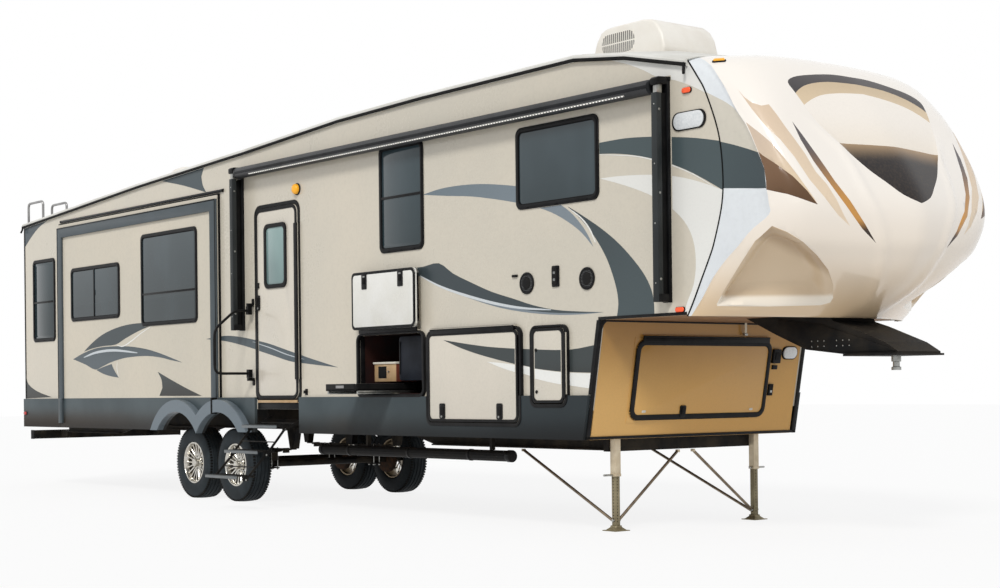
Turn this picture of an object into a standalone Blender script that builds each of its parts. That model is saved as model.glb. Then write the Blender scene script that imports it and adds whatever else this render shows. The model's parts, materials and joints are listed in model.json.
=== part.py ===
"""Fifth wheel trailer, parked on its landing legs. Metres, +X forward, +Y left, +Z up."""

import math

import bpy
from mathutils import Vector
from mathutils.geometry import delaunay_2d_cdt, tessellate_polygon

# The places below are measured from the ground under the middle of the two axles.
# The whole trailer then moves so that the flat end of the kingpin is the origin.
PIN_X = 8.21
PIN_Z = 1.265

# General sizes
GAP = 0.0003  # between pieces that touch
HALF_WIDTH = 1.22  # outer face of the side walls
WALL = 0.05  # thickness of the walls
INNER_Y = HALF_WIDTH - WALL
ON_WALL_Y = HALF_WIDTH + GAP  # back of a piece that lies on a side wall
REAR_X = -4.67  # outer face of the rear wall
WALL_LOW_Z = 0.98  # lower edge of the side walls, behind the skirt
SKIRT_TOP_Z = 1.10
SKIRT_LOW_Z = 0.745
SKIRT_OUT_Y = HALF_WIDTH + 0.03  # outer face of the skirt
FLOOR_Z = 1.035  # top of the main floor
UPPER_Z = 1.69  # underside of the raised front deck
DECK = 0.05  # thickness of a floor
LOWER_FRONT_X = 6.122  # foot of the slanted front wall, at SKIRT_LOW_Z
UPPER_FRONT_X = 6.299  # top of the slanted front wall, at UPPER_Z

# Roof edge, as X and Z of its top corner
ROOF_EDGE = (
    (-4.67, 3.330),
    (-1.40, 3.535),
    (0.90, 3.643),
    (2.67, 3.745),
    (4.00, 3.775),
    (6.05, 3.790),
    (6.64, 3.714),
    (7.29, 3.565),
)
ROOF_THICK = 0.045
ROOF_CROWN = 0.11  # how much higher the roof is along its middle
ROOF_HALF = HALF_WIDTH + 0.015
ROOF_VENT = (-1.72, -1.38, -0.72, -0.40, 0.17)  # X0, X1, Y0, Y1 and height of the vent's dome
ROOF_SECTION = (
    # share of the half width, rise of the top, rise of the underside
    (-1.00, 0.00, 0.00),
    (-0.92, 0.25, 0.00),
    (-0.55, 0.78, 0.74),
    (0.00, 1.00, 0.96),
    (0.55, 0.78, 0.74),
    (0.92, 0.25, 0.00),
    (1.00, 0.00, 0.00),
)

# Front cap: its joint on the side wall, its middle line, and its plan at that height
CAP_ROWS = (
    # joint X, joint Z, middle X, middle Z, squareness, roundness of the turn, slope of the front
    (7.270, 1.680, 7.930, 1.660, 1.6, 0.75, 0.16),
    (7.340, 1.800, 8.125, 1.797, 2.0, 0.68, 0.21),
    (7.420, 1.950, 8.290, 1.935, 3.2, 0.61, 0.25),
    (7.490, 2.080, 8.390, 2.080, 5.4, 0.54, 0.28),
    (7.550, 2.210, 8.455, 2.225, 10.0, 0.47, 0.29),
    (7.630, 2.480, 8.460, 2.460, 18.0, 0.42, 0.28),
    (7.640, 2.720, 8.330, 2.740, 22.0, 0.40, 0.25),
    (7.600, 3.000, 8.130, 3.035, 18.0, 0.42, 0.20),
    (7.480, 3.300, 7.930, 3.340, 9.0, 0.49, 0.14),
    (7.390, 3.440, 7.680, 3.600, 4.3, 0.56, 0.08),
    (7.300, 3.562, 7.300, 3.672, 2.2, 0.64, 0.02),
)
CAP_STEPS = 10  # places across half of the cap
CAP_ASPECT = 9.0  # half width of the cap over the height of one row
CAP_CROWD = 2.2  # how much closer these places lie towards the joint
CAP_PROW = 0.05  # how soft the edge down the middle is
CAP_THICK = 0.035

# Scoop low on each side of the cap, as places across (0 middle, 1 joint) and up (rows)
SCOOP_RIM = (
    (0.740, 4.25), (0.770, 3.70), (0.735, 2.50), (0.710, 1.45), (0.685, 0.70), (0.540, 0.62),
    (0.380, 0.60), (0.215, 0.64), (0.185, 0.80), (0.195, 1.05), (0.245, 1.65), (0.320, 2.35),
    (0.410, 3.00), (0.525, 3.65), (0.640, 4.08),
)
SCOOP_FLOOR = (
    (0.715, 3.65), (0.705, 2.50), (0.680, 1.45), (0.655, 0.92), (0.500, 0.86),
    (0.370, 0.88), (0.300, 1.05), (0.370, 1.60), (0.450, 2.20), (0.545, 2.85), (0.650, 3.45),
)
SCOOP_DEPTH = 0.11
# Line of the moulded rib on each side of the nose
RIB_LINE = (
    (0.400, 7.35), (0.340, 7.00), (0.240, 6.00), (0.207, 5.00), (0.152, 4.00), (0.120, 3.00),
    (0.097, 2.00), (0.064, 1.00), (0.048, 0.60),
)
RIB_HALF = 0.035  # half width, in places across
RIB_HIGH = 0.02

# Wheels
AXLE_X = (0.452, -0.452)
TYRE_R = 0.39
AXLE_Z = TYRE_R
TYRE_W = 0.235
TRACK_Y = HALF_WIDTH - 0.215
RIM_R = 0.222
SPOKES = 10
SPOKE_R = 0.02
HUB_IN = 0.25  # where the hub's inner face lies, as a share of half the tyre's width
TYRE_SIDES = 32
ARCH_R = 0.560  # opening in the skirt over each wheel
FLARE_R = ARCH_R + 0.13
FLARE_OUT_Y = HALF_WIDTH + 0.11

# Right slide-out room
SLIDE_X = (-3.565, 0.362)
SLIDE_FACE_Y = (ON_WALL_Y, HALF_WIDTH + 0.03)
SLIDE_TOP_Z = 3.235
SLIDE_HOLE = (-3.50, 0.30, 1.16, 3.15)
SLIDE_DEPTH = 0.92
SLIDE_WALL = 0.04
# Left slide-out room
LEFT_SLIDE_X = (-2.90, 1.30)
LEFT_SLIDE_Z = (1.15, 3.14)
LEFT_SLIDE_HOLE = (-2.84, 1.24, 1.21, 3.08)

# Windows in the fixed walls and the slide-outs, as X0, X1, Z0, Z1 of the cut
REAR_WINDOW = (-4.373, -3.764, 1.843, 2.824)
KITCHEN_WINDOW = (3.345, 3.974, 2.437, 3.360)
BED_WINDOW = (5.325, 6.290, 2.660, 3.280)
SLIDE_WINDOW_A = (-3.190, -1.935, 2.060, 2.650)
SLIDE_WINDOW_B = (-1.345, -0.095, 1.937, 2.918)
DOOR_WINDOW = (1.297, 1.690, 2.175, 2.847)
LEFT_WINDOW = (-1.60, 0.10, 1.95, 2.85)
BACK_WINDOW = (0.67 - HALF_WIDTH, HALF_WIDTH - 0.67, 2.00, 2.80)  # Y0, Y1, Z0, Z1
GLASS_RIM = 0.03  # how far a window's rim covers the wall

# Entry door
DOOR_HOLE = (1.115, 1.915, 1.075, 3.015)
DOOR_Y = (HALF_WIDTH - 0.030, HALF_WIDTH + 0.015)
DOOR_HINGE = (1.925, -HALF_WIDTH - 0.032)
DOOR_BAR_R = 0.010

# Storage openings in the right wall, as X0, X1, Z0, Z1
GALLEY_HOLE = (2.975, 3.985, 1.120, 1.668)
LARGE_HOLE = (4.075, 5.335, 0.870, 1.660)
SMALL_HOLE = (5.505, 5.915, 1.030, 1.655)
GALLEY_CABINET = (3.12, 3.46, -1.15, -0.455, 1.24, 1.40)  # X, Y and Z of the cabinet above the tray
TRAY_Y = (-HALF_WIDTH - 0.44, -HALF_WIDTH + 0.25)  # of the galley's tray, pulled out
LID_Y = (HALF_WIDTH - 0.015, HALF_WIDTH + 0.034)
LID_CLEAR = 0.008
LID_HINGE_Y = HALF_WIDTH + 0.042
BAR_R = 0.006
SMALL_HINGE = 0.012  # how far the small door's hinge lies ahead of its opening
GALLEY_HINGE_Z = 1.688
LARGE_HINGE_Z = 1.680

# Front storage door on the slanted wall, as Y half width and its low and high Z
FRONT_DOOR_HALF = HALF_WIDTH - 0.42
FRONT_DOOR_Z = (0.885, 1.545)
FRONT_BAR_R = 0.007

# Grab handle
HANDLE_AT = (1.035, -HALF_WIDTH - 0.052)
HANDLE_Z = (1.300, 2.030)
HANDLE_OUT = 0.40

# Landing legs
LEG_X = 6.027
LEG_Y = HALF_WIDTH - 0.404
LEG_W = 0.070
LEG_TOP_Z = 1.52
LEG_TUBE_Z = 0.44

# Chassis
RAIL_Y = HALF_WIDTH - 0.56
RAIL_Z = (0.760, 0.980)
RAIL_W = 0.09
RAIL_T = 0.012
CROSS_X = (-4.50, -3.50, -2.50, -1.50, 1.45, 2.45, 3.45, 4.45, 5.35)
OUTRIGGERS = ((-3.9, False), (-2.0, False), (2.7, False), (4.6, True))  # X, under the basement
HANGERS = ((-0.90, 0.035), (0.0, 0.06), (0.90, 0.035))  # X, half width at the spring
SPRING_RISE = 0.165  # top of the leaf spring over the axle's middle
TUBE_STRAPS = ((2.70, False), (4.60, True))
TUBE_Y = HALF_WIDTH - 0.27
TUBE_Z = 0.58
TUBE_R = 0.048

# Entry steps: pivots from the housing out to the lowest tread
STEP_REACH = (
    # how far out from the wall, Z
    (-0.120, 0.900),
    (0.130, 0.785),
    (0.340, 0.540),
    (0.565, 0.305),
)
STEP_PIVOTS = [(-HALF_WIDTH - out, z) for out, z in STEP_REACH]
STEP_X = (1.165, 1.845)
STEP_DEPTH = 0.20
STEP_THICK = 0.025
STEP_ARM = (0.012, 0.006)  # half width and thickness
STEP_PLAY = 0.0004

# Cut-outs and forms that many pieces share
FAR = 0.3  # how far a cutter runs past a face

MATERIALS = {
    # name: red, green, blue, roughness, metallic, alpha
    "wall_beige": (0.66, 0.60, 0.52, 0.35, 0.0, 1.0),
    "cap_white": (0.82, 0.81, 0.78, 0.25, 0.0, 1.0),
    "roof_white": (0.80, 0.80, 0.79, 0.55, 0.0, 1.0),
    "skirt_dark": (0.06, 0.06, 0.065, 0.5, 0.0, 1.0),
    "trim_black": (0.02, 0.02, 0.02, 0.4, 0.0, 1.0),
    "front_tan": (0.55, 0.42, 0.25, 0.4, 0.0, 1.0),
    "frame_black": (0.03, 0.03, 0.03, 0.5, 0.3, 1.0),
    "glass_tint": (0.03, 0.04, 0.05, 0.05, 0.0, 1.0),
    "steel_silver": (0.60, 0.61, 0.62, 0.35, 0.9, 1.0),
    "alloy": (0.75, 0.75, 0.76, 0.22, 1.0, 1.0),
    "tyre_rubber": (0.025, 0.025, 0.025, 0.85, 0.0, 1.0),
    "wood": (0.30, 0.17, 0.08, 0.5, 0.0, 1.0),
    "door_white": (0.74, 0.73, 0.70, 0.4, 0.0, 1.0),
    "handle_black": (0.02, 0.02, 0.02, 0.35, 0.0, 1.0),
    "awning_grey": (0.20, 0.20, 0.21, 0.7, 0.0, 1.0),
}


def clear_scene():
    for obj in list(bpy.data.objects):
        bpy.data.objects.remove(obj, do_unlink=True)
    for mesh in list(bpy.data.meshes):
        bpy.data.meshes.remove(mesh)


def material(name):
    found = bpy.data.materials.get(name)
    if found:
        return found
    red, green, blue, rough, metal, alpha = MATERIALS[name]
    made = bpy.data.materials.new(name)
    made.use_nodes = True
    shader = made.node_tree.nodes["Principled BSDF"]
    shader.inputs["Base Color"].default_value = (red, green, blue, 1.0)
    shader.inputs["Roughness"].default_value = rough
    shader.inputs["Metallic"].default_value = metal
    shader.inputs["Alpha"].default_value = alpha
    made.diffuse_color = (red, green, blue, 1.0)
    return made


# Shapes: each function gives a closed surface as its points and its faces


def box(x0, x1, y0, y1, z0, z1):
    return prism([(x0, y0), (x1, y0), (x1, y1), (x0, y1)], "Z", z0, z1)


def place(axis, u, v, w):
    """A point of a plane outline (u, v) at the height w along an axis."""
    if axis == "X":
        return (w, u, v)
    if axis == "Y":
        return (u, w, v)
    return (u, v, w)


def area_of(points):
    total = 0.0
    for (x0, y0), (x1, y1) in zip(points, points[1:] + points[:1]):
        total += x0 * y1 - x1 * y0
    return total / 2


def prism(outline, axis, low, high, holes=()):
    """A plate with holes: outline and holes as plane points, run along an axis."""
    loops = [list(outline)] + [list(hole) for hole in holes]
    if area_of(loops[0]) < 0:
        loops[0].reverse()
    for hole in loops[1:]:
        if area_of(hole) > 0:
            hole.reverse()
    flat = [point for loop in loops for point in loop]
    count = len(flat)
    tris = tessellate_polygon([[Vector((u, v, 0)) for u, v in loop] for loop in loops])
    verts = [place(axis, u, v, low) for u, v in flat]
    verts += [place(axis, u, v, high) for u, v in flat]
    faces = []
    turn = axis == "Y"
    for a, b, c in tris:
        p, q, r = flat[a], flat[b], flat[c]
        cross = (q[0] - p[0]) * (r[1] - p[1]) - (q[1] - p[1]) * (r[0] - p[0])
        if cross < 0:
            a, c = c, a
        up = (a + count, b + count, c + count)
        down = (c, b, a)
        faces += [up[::-1], down[::-1]] if turn else [up, down]
    start = 0
    for loop in loops:
        size = len(loop)
        for i in range(size):
            a = start + i
            b = start + (i + 1) % size
            side = (a, b, b + count, a + count)
            faces.append(side[::-1] if turn else side)
        start += size
    return verts, faces


def rect(x0, x1, z0, z1):
    return [(x0, z0), (x1, z0), (x1, z1), (x0, z1)]


def round_rect(x0, x1, z0, z1, radius, steps=3):
    points = []
    corners = (
        # centre X, centre Z, first angle
        (x1 - radius, z0 + radius, -90),
        (x1 - radius, z1 - radius, 0),
        (x0 + radius, z1 - radius, 90),
        (x0 + radius, z0 + radius, 180),
    )
    for cx, cz, first in corners:
        for i in range(steps + 1):
            angle = math.radians(first + 90 * i / steps)
            points.append((cx + radius * math.cos(angle), cz + radius * math.sin(angle)))
    return points


def arc(cx, cz, radius, first, last, steps):
    points = []
    for i in range(steps + 1):
        angle = math.radians(first + (last - first) * i / steps)
        points.append((cx + radius * math.cos(angle), cz + radius * math.sin(angle)))
    return points


def sweep(path, radius, sides=8, turn=0.0):
    """A round bar along a list of points, with closed ends."""
    path = [Vector(point) for point in path]
    verts = []
    normal = None
    for i, point in enumerate(path):
        before = (point - path[i - 1]).normalized() if i else None
        after = (path[i + 1] - point).normalized() if i + 1 < len(path) else None
        if before is None:
            along = after
        elif after is None:
            along = before
        else:
            along = (before + after).normalized()
        if normal is None:
            normal = along.orthogonal().normalized()
        normal = (normal - along * normal.dot(along)).normalized()
        other = along.cross(normal)
        stretch = 1.0
        if before is not None and after is not None:
            stretch = 1.0 / max(0.5, before.dot(along))
        for k in range(sides):
            angle = 2 * math.pi * (k + turn) / sides
            verts.append(
                point
                + normal * (radius * stretch * math.cos(angle))
                + other * (radius * stretch * math.sin(angle))
            )
    faces = []
    for i in range(len(path) - 1):
        for k in range(sides):
            a = i * sides + k
            b = i * sides + (k + 1) % sides
            faces.append((a, b, b + sides, a + sides))
    faces.append(tuple(range(sides - 1, -1, -1)))
    last = (len(path) - 1) * sides
    faces.append(tuple(range(last, last + sides)))
    return [tuple(point) for point in verts], faces


def turned(profile, cx, cy, cz, axis, sides):
    """A closed outline of (radius, height along the axis) turned about an axis through a point."""
    verts = []
    for k in range(sides):
        angle = 2 * math.pi * k / sides
        for radius, height in profile:
            u = radius * math.cos(angle)
            v = radius * math.sin(angle)
            if axis == "Y":
                verts.append((cx + v, cy + height, cz + u))
            elif axis == "X":
                verts.append((cx + height, cy + u, cz + v))
            else:
                verts.append((cx + u, cy + v, cz + height))
    faces = []
    size = len(profile)
    for k in range(sides):
        for i in range(size):
            j = (i + 1) % size
            a = k * size + i
            b = k * size + j
            c = ((k + 1) % sides) * size + j
            d = ((k + 1) % sides) * size + i
            faces.append((a, b, c, d))
    if area_of(list(profile)) < 0:
        faces = [face[::-1] for face in faces]
    return verts, [face[::-1] for face in faces]


def spun(rings, cx, cy, cz, axis, sides):
    """A solid turned about an axis, from a list of (radius, height along the axis)."""
    verts = []
    for radius, height in rings:
        for k in range(sides):
            angle = 2 * math.pi * k / sides
            u = radius * math.cos(angle)
            v = radius * math.sin(angle)
            if axis == "Y":
                verts.append((cx + v, cy + height, cz + u))
            else:
                verts.append((cx + u, cy + v, cz + height))
    faces = [tuple(range(sides - 1, -1, -1))]
    for i in range(len(rings) - 1):
        for k in range(sides):
            a = i * sides + k
            b = i * sides + (k + 1) % sides
            faces.append((a, b, b + sides, a + sides))
    last = (len(rings) - 1) * sides
    faces.append(tuple(range(last, last + sides)))
    if rings[-1][1] < rings[0][1]:
        faces = [face[::-1] for face in faces]
    return verts, faces


def grid_shell(rows_out, rows_in):
    """A curved plate between two grids of points of equal size."""
    rows = len(rows_out)
    cols = len(rows_out[0])
    verts = [point for row in rows_out for point in row]
    verts += [point for row in rows_in for point in row]
    count = rows * cols
    faces = []
    for i in range(rows - 1):
        for j in range(cols - 1):
            a = i * cols + j
            quad = (a, a + 1, a + 1 + cols, a + cols)
            faces.append(quad)
            faces.append(tuple(k + count for k in quad[::-1]))
    for j in range(cols - 1):
        faces.append((j + 1, j, j + count, j + 1 + count))
        k = (rows - 1) * cols + j
        faces.append((k, k + 1, k + 1 + count, k + count))
    for i in range(rows - 1):
        a = i * cols
        faces.append((a, a + cols, a + cols + count, a + count))
        b = a + cols - 1
        faces.append((b + cols, b, b + count, b + cols + count))
    return verts, faces


# Objects


def hold(name, shape, look, origin=(0.0, 0.0, 0.0), collection=None):
    verts, faces = shape
    mesh = bpy.data.meshes.new(name)
    local = [tuple(p[i] - origin[i] for i in range(3)) for p in verts]
    mesh.from_pydata(local, [], faces)
    mesh.validate()
    mesh.update()
    obj = bpy.data.objects.new(name, mesh)
    obj.location = origin
    (collection or bpy.context.scene.collection).objects.link(obj)
    if look:
        mesh.materials.append(material(look))
    return obj


def helpers(name):
    made = bpy.data.collections.new(name)
    made.hide_render = True
    bpy.context.scene.collection.children.link(made)
    return made


def fused(name, shapes, look, origin=(0.0, 0.0, 0.0), cuts=()):
    """One body from shapes that overlap, less the cuts."""
    obj = hold(name, shapes[0], look, origin)
    for what, others, operation in (("joined", shapes[1:], "UNION"), ("cuts", cuts, "DIFFERENCE")):
        if not others:
            continue
        group = helpers(f"{name}_{what}")
        for i, shape in enumerate(others):
            helper = hold(f"{name}_{what}_{i}", shape, None, (0, 0, 0), group)
            helper.hide_render = True
            helper.display_type = "WIRE"
        step = obj.modifiers.new(what, "BOOLEAN")
        step.operation = operation
        step.solver = "EXACT"
        step.operand_type = "COLLECTION"
        step.collection = group
    return obj


def edge_z(x):
    """Height of the roof edge at a place along the trailer."""
    for (x0, z0), (x1, z1) in zip(ROOF_EDGE, ROOF_EDGE[1:]):
        if x <= x1:
            return z0 + (z1 - z0) * (x - x0) / (x1 - x0)
    return ROOF_EDGE[-1][1]


def roof_top(x, y):
    """Height of the roof's upper face at a place."""
    share = min(1.0, abs(y) / ROOF_HALF)
    for (t1, rise1, _), (t0, rise0, _) in zip(ROOF_SECTION, ROOF_SECTION[1:4]):
        if -t0 <= share <= -t1:
            rise = rise0 + (rise1 - rise0) * (share + t0) / (t0 - t1)
            return edge_z(x) + ROOF_CROWN * rise
    return edge_z(x)


def front_x(z):
    """The slanted front wall's outer face."""
    rise = (z - SKIRT_LOW_Z) / (UPPER_Z - SKIRT_LOW_Z)
    return LOWER_FRONT_X + (UPPER_FRONT_X - LOWER_FRONT_X) * rise


def front_hinge():
    """X and Z of the front storage door's hinge."""
    z = FRONT_DOOR_Z[1] + 0.02
    return front_x(z) + 0.024, z


def wall_outline(notches=()):
    """The side wall's outline with cuts in its lower edge, as X and Z."""
    under = WALL_LOW_Z
    points = [(REAR_X, under)]
    for x0, x1, top in notches:
        points += [(x0, under), (x0, top), (x1, top), (x1, under)]
    points += [(front_x(under), under), (UPPER_FRONT_X, UPPER_Z)]
    points.append((CAP_ROWS[0][0], UPPER_Z))
    points += [(row[0] - 0.0005, row[1]) for row in CAP_ROWS[1:-1]]
    low = ROOF_THICK + GAP
    points.append((CAP_ROWS[-1][0] - 0.0005, CAP_ROWS[-1][1] - low))
    points += [(x, z - low) for x, z in reversed(ROOF_EDGE[:-1])]
    return points


def lid_seat(x0, x1, z, side):
    """The fixed half of a top hinge, which stands out from the wall behind the hinge's bar."""
    y0, y1 = sorted((side * (LID_HINGE_Y - BAR_R - GAP), side * (INNER_Y + 0.01)))
    return box(x0 + 0.05, x1 - 0.05, y0, y1, z + 0.0006, z + 0.012)


def pane(name, cut, y_face, out, look="glass_tint", back=None):
    """A window: a pane that fills its cut, and a rim over the wall. out is +1 or -1 along Y."""
    x0, x1, z0, z1 = cut
    back = WALL if back is None else back
    rim = GLASS_RIM
    inner = round_rect(x0 + 0.002, x1 - 0.002, z0 + 0.002, z1 - 0.002, 0.055)
    outer = round_rect(x0 - rim, x1 + rim, z0 - rim, z1 + rim, 0.07)
    face = y_face * out
    low, high = sorted((face - out * back, face + out * 0.006))
    plug = prism(inner, "Y", low, high)
    low, high = sorted((face + out * GAP, face + out * 0.014))
    ring = prism(outer, "Y", low, high)
    return fused(name, [ring, plug], look)


def build_walls():
    big = (LARGE_HOLE[0], LARGE_HOLE[1], LARGE_HOLE[3])
    holes = [rect(*SLIDE_HOLE), rect(*DOOR_HOLE), rect(*GALLEY_HOLE), rect(*SMALL_HOLE)]
    holes += [round_rect(*cut, 0.05) for cut in (REAR_WINDOW, KITCHEN_WINDOW, BED_WINDOW)]
    right = prism(wall_outline([big]), "Y", -HALF_WIDTH, -INNER_Y, holes)
    x, y = HANDLE_AT
    brackets = []
    for z0, z1 in ((HANDLE_Z[0] - 0.03, HANDLE_Z[0] - GAP), (HANDLE_Z[1] + GAP, HANDLE_Z[1] + 0.03)):
        brackets.append(box(x - 0.018, x + 0.018, y - 0.018, -INNER_Y - 0.01, z0, z1))
    seats = [lid_seat(*hole[:2], z, -1) for hole, z in ((LARGE_HOLE, LARGE_HINGE_Z), (GALLEY_HOLE, GALLEY_HINGE_Z))]
    x, y = SMALL_HOLE[1] + SMALL_HINGE, -LID_HINGE_Y + BAR_R + GAP
    seats.append(box(x + 0.0006, x + 0.012, y, -INNER_Y - 0.01, SKIRT_TOP_Z + 0.01, SMALL_HOLE[3] - 0.05))
    x, y = DOOR_HINGE[0], DOOR_HINGE[1] + DOOR_BAR_R + GAP
    seats.append(box(x + 0.0006, x + 0.015, y, -INNER_Y - 0.01, DOOR_HOLE[2] + 0.2, DOOR_HOLE[3] - 0.2))
    fused("sidewall_right", [right] + brackets + seats, "wall_beige")
    holes = [rect(*LEFT_SLIDE_HOLE)]
    holes.append(round_rect(*BED_WINDOW, 0.05))
    left = prism(wall_outline([big]), "Y", INNER_Y, HALF_WIDTH, holes)
    fused("sidewall_left", [left, lid_seat(*LARGE_HOLE[:2], LARGE_HINGE_Z, 1)], "wall_beige")
    pane("window_right_rear", REAR_WINDOW, HALF_WIDTH, -1)
    pane("window_kitchen", KITCHEN_WINDOW, HALF_WIDTH, -1)
    pane("window_bedroom_right", BED_WINDOW, HALF_WIDTH, -1)
    pane("window_bedroom_left", BED_WINDOW, HALF_WIDTH, 1)

    side = INNER_Y - GAP
    top = edge_z(REAR_X) - ROOF_THICK - GAP
    outline = [(-side, WALL_LOW_Z - 0.2), (side, WALL_LOW_Z - 0.2), (side, top)]
    for t, _, rise in reversed(ROOF_SECTION[1:-1]):
        outline.append((ROOF_HALF * t, top + ROOF_CROWN * rise))
    outline.append((-side, top))
    back = prism(outline, "X", REAR_X, REAR_X + WALL, [round_rect(*BACK_WINDOW, 0.05)])
    hold("rear_wall", back, "wall_beige")
    y0, y1, z0, z1 = BACK_WINDOW
    rim = prism(round_rect(y0 - 0.03, y1 + 0.03, z0 - 0.03, z1 + 0.03, 0.07), "X", REAR_X - 0.014, REAR_X - GAP)
    plug = prism(round_rect(y0 + 0.002, y1 - 0.002, z0 + 0.002, z1 - 0.002, 0.05), "X", REAR_X - 0.005, REAR_X + WALL)
    fused("window_rear", [rim, plug], "glass_tint")


def build_roof():
    top = []
    low = []
    for x, z in ROOF_EDGE:
        x = x - 0.015 if x == REAR_X else x
        x = CAP_ROWS[-1][0] - GAP if x == ROOF_EDGE[-1][0] else x
        top.append([(x, ROOF_HALF * t, z + ROOF_CROWN * rise) for t, rise, _ in ROOF_SECTION])
        low.append([(x, ROOF_HALF * t, z - ROOF_THICK + ROOF_CROWN * rise) for t, _, rise in ROOF_SECTION])
    verts, faces = grid_shell(top, low)
    x0, x1, y0, y1, high = ROOF_VENT
    base = roof_top(0.5 * (x0 + x1), y1) - 0.03
    rings = []
    for inset, z in ((0.0, base), (0.0, base + 0.3 * high), (0.05, base + high), (0.09, base + 1.1 * high)):
        rings.append([(x, y, z) for x, y in round_rect(x0 + inset, x1 - inset, y0 + inset, y1 - inset, 0.06, 2)])
    size = len(rings[0])
    points = [point for ring in rings for point in ring]
    walls = [tuple(range(size - 1, -1, -1)), tuple(range(len(points) - size, len(points)))]
    for i in range(len(rings) - 1):
        for k in range(size):
            a, b = i * size + k, i * size + (k + 1) % size
            walls.append((a, b, b + size, a + size))
    fused("roof", [(verts, [face[::-1] for face in faces]), (points, walls)], "roof_white")


def cap_point(row, t):
    """A point of the cap: t runs from -1 at the right joint to 1 at the left joint."""
    joint_x, joint_z, nose_x, nose_z, square, turn, slope = row
    lean = math.hypot(t, CAP_PROW) - CAP_PROW
    bulge = max(0.0, 1.0 - abs(t) ** square) ** turn * (1.0 - slope * lean)
    x = joint_x + (nose_x - joint_x) * bulge
    z = joint_z + (nose_z - joint_z) * bulge
    return Vector((x, HALF_WIDTH * t, z))


def cap_at(u, v):
    """A point of the cap's face: u from -1 to 1 across, crowded towards the joint, and v up its rows."""
    last = len(CAP_ROWS) - 1
    v = min(max(v, 0.0), float(last))
    i = min(int(v), last - 1)
    f = v - i
    rows = [CAP_ROWS[min(max(i + k, 0), last)] for k in (-1, 0, 1, 2)]
    row = [
        0.5 * (2 * b + (c - a) * f + (2 * a - 5 * b + 4 * c - d) * f**2 + (3 * b - a - 3 * c + d) * f**3)
        for a, b, c, d in zip(*rows)
    ]
    t = math.copysign(1.0 - (1.0 - min(1.0, abs(u))) ** CAP_CROWD, u)
    return cap_point(row, t)


def cap_normal(u, v):
    """Which way the cap's wall is thick: level at its foot, upright at its top and square to the joint."""
    last = len(CAP_ROWS) - 1
    if abs(u) > 0.9999:
        return Vector((0.0, math.copysign(1.0, u), 0.0))
    if v > last - 0.001:
        return Vector((0.0, 0.0, 1.0))
    across = cap_at(min(u + 0.02, 1.0), v) - cap_at(max(u - 0.02, -1.0), v)
    up = cap_at(u, min(v + 0.1, last)) - cap_at(u, max(v - 0.1, 0.0))
    normal = across.cross(up)
    if v < 0.001:
        normal.z = 0.0
    return normal.normalized()


def inside(point, outline):
    """Whether a plane point lies inside a closed outline."""
    x, y = point
    found = False
    for (x0, y0), (x1, y1) in zip(outline, outline[1:] + outline[:1]):
        if (y0 > y) != (y1 > y) and x < x0 + (x1 - x0) * (y - y0) / (y1 - y0):
            found = not found
    return found


def near_line(point, line, reach):
    """Whether a place is within a reach across of a line, or within half a row of its ends."""
    u, v = point
    if not line[-1][1] - 0.5 < v < line[0][1] + 0.5:
        return False
    for (u0, v0), (u1, v1) in zip(line, line[1:]):
        if min(v0, v1) <= v <= max(v0, v1):
            share = (v - v0) / (v1 - v0)
            return abs(u - u0 - (u1 - u0) * share) < reach
    end = line[0] if v > line[0][1] else line[-1]
    return abs(u - end[0]) < reach


def cap_plan():
    """The cap's places, edges that its faces must follow, and how far each place stands out."""
    places = []
    edges = []
    out = []

    def run(points, closed, high):
        first = len(places)
        for point in points:
            places.append(Vector((point[0] * CAP_ASPECT, point[1])))
            out.append(high)
        count = len(points)
        for k in range(count if closed else count - 1):
            edges.append((first + k, first + (k + 1) % count))

    last = len(CAP_ROWS) - 1
    cols = [k / CAP_STEPS for k in range(-CAP_STEPS, CAP_STEPS + 1)]
    border = [(u, 0.0) for u in cols] + [(1.0, float(v)) for v in range(1, last)]
    border += [(u, float(last)) for u in reversed(cols)] + [(-1.0, float(v)) for v in range(last - 1, 0, -1)]
    run(border, True, 0.0)
    for side in (-1, 1):
        rim = [(side * u, v) for u, v in SCOOP_RIM]
        run(rim, True, 0.0)
        run([(side * u, v) for u, v in SCOOP_FLOOR], True, -SCOOP_DEPTH)
        for shift, high in ((-RIB_HALF, 0.0), (0.0, RIB_HIGH), (RIB_HALF, 0.0)):
            run([(side * (u + shift), v) for u, v in RIB_LINE], False, high)
    for v in range(1, last):
        for u in cols[1:-1]:
            mirrored = (abs(u), float(v))
            if inside(mirrored, list(SCOOP_RIM)) or near_line(mirrored, RIB_LINE, 2 * RIB_HALF):
                continue
            places.append(Vector((u * CAP_ASPECT, v)))
            out.append(0.0)
    return places, edges, out


def build_cap():
    places, edges, out = cap_plan()
    flat, _, tris, origins, _, _ = delaunay_2d_cdt(places, edges, [], 0, 1e-5)
    high = [out[given[0]] if given else 0.0 for given in origins]
    outer = []
    inner = []
    for (across, v), rise in zip(flat, high):
        u = across / CAP_ASPECT
        point = cap_at(u, v)
        normal = cap_normal(u, v)
        outer.append(tuple(point + normal * rise))
        inner.append(tuple(point + normal * (rise - CAP_THICK)))
    count = len(outer)
    faces = []
    rim = {}
    for tri in tris:
        a, b, c = tri
        turn = (flat[b] - flat[a]).cross(flat[c] - flat[a])
        a, b, c = (a, b, c) if turn > 0 else (a, c, b)
        faces += [(a, b, c), (c + count, b + count, a + count)]
        for edge in ((a, b), (b, c), (c, a)):
            if edge[::-1] in rim:
                del rim[edge[::-1]]
            else:
                rim[edge] = True
    for a, b in rim:
        faces.append((b, a, a + count, b + count))
    hold("front_cap", (outer + inner, faces), "cap_white")


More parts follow.
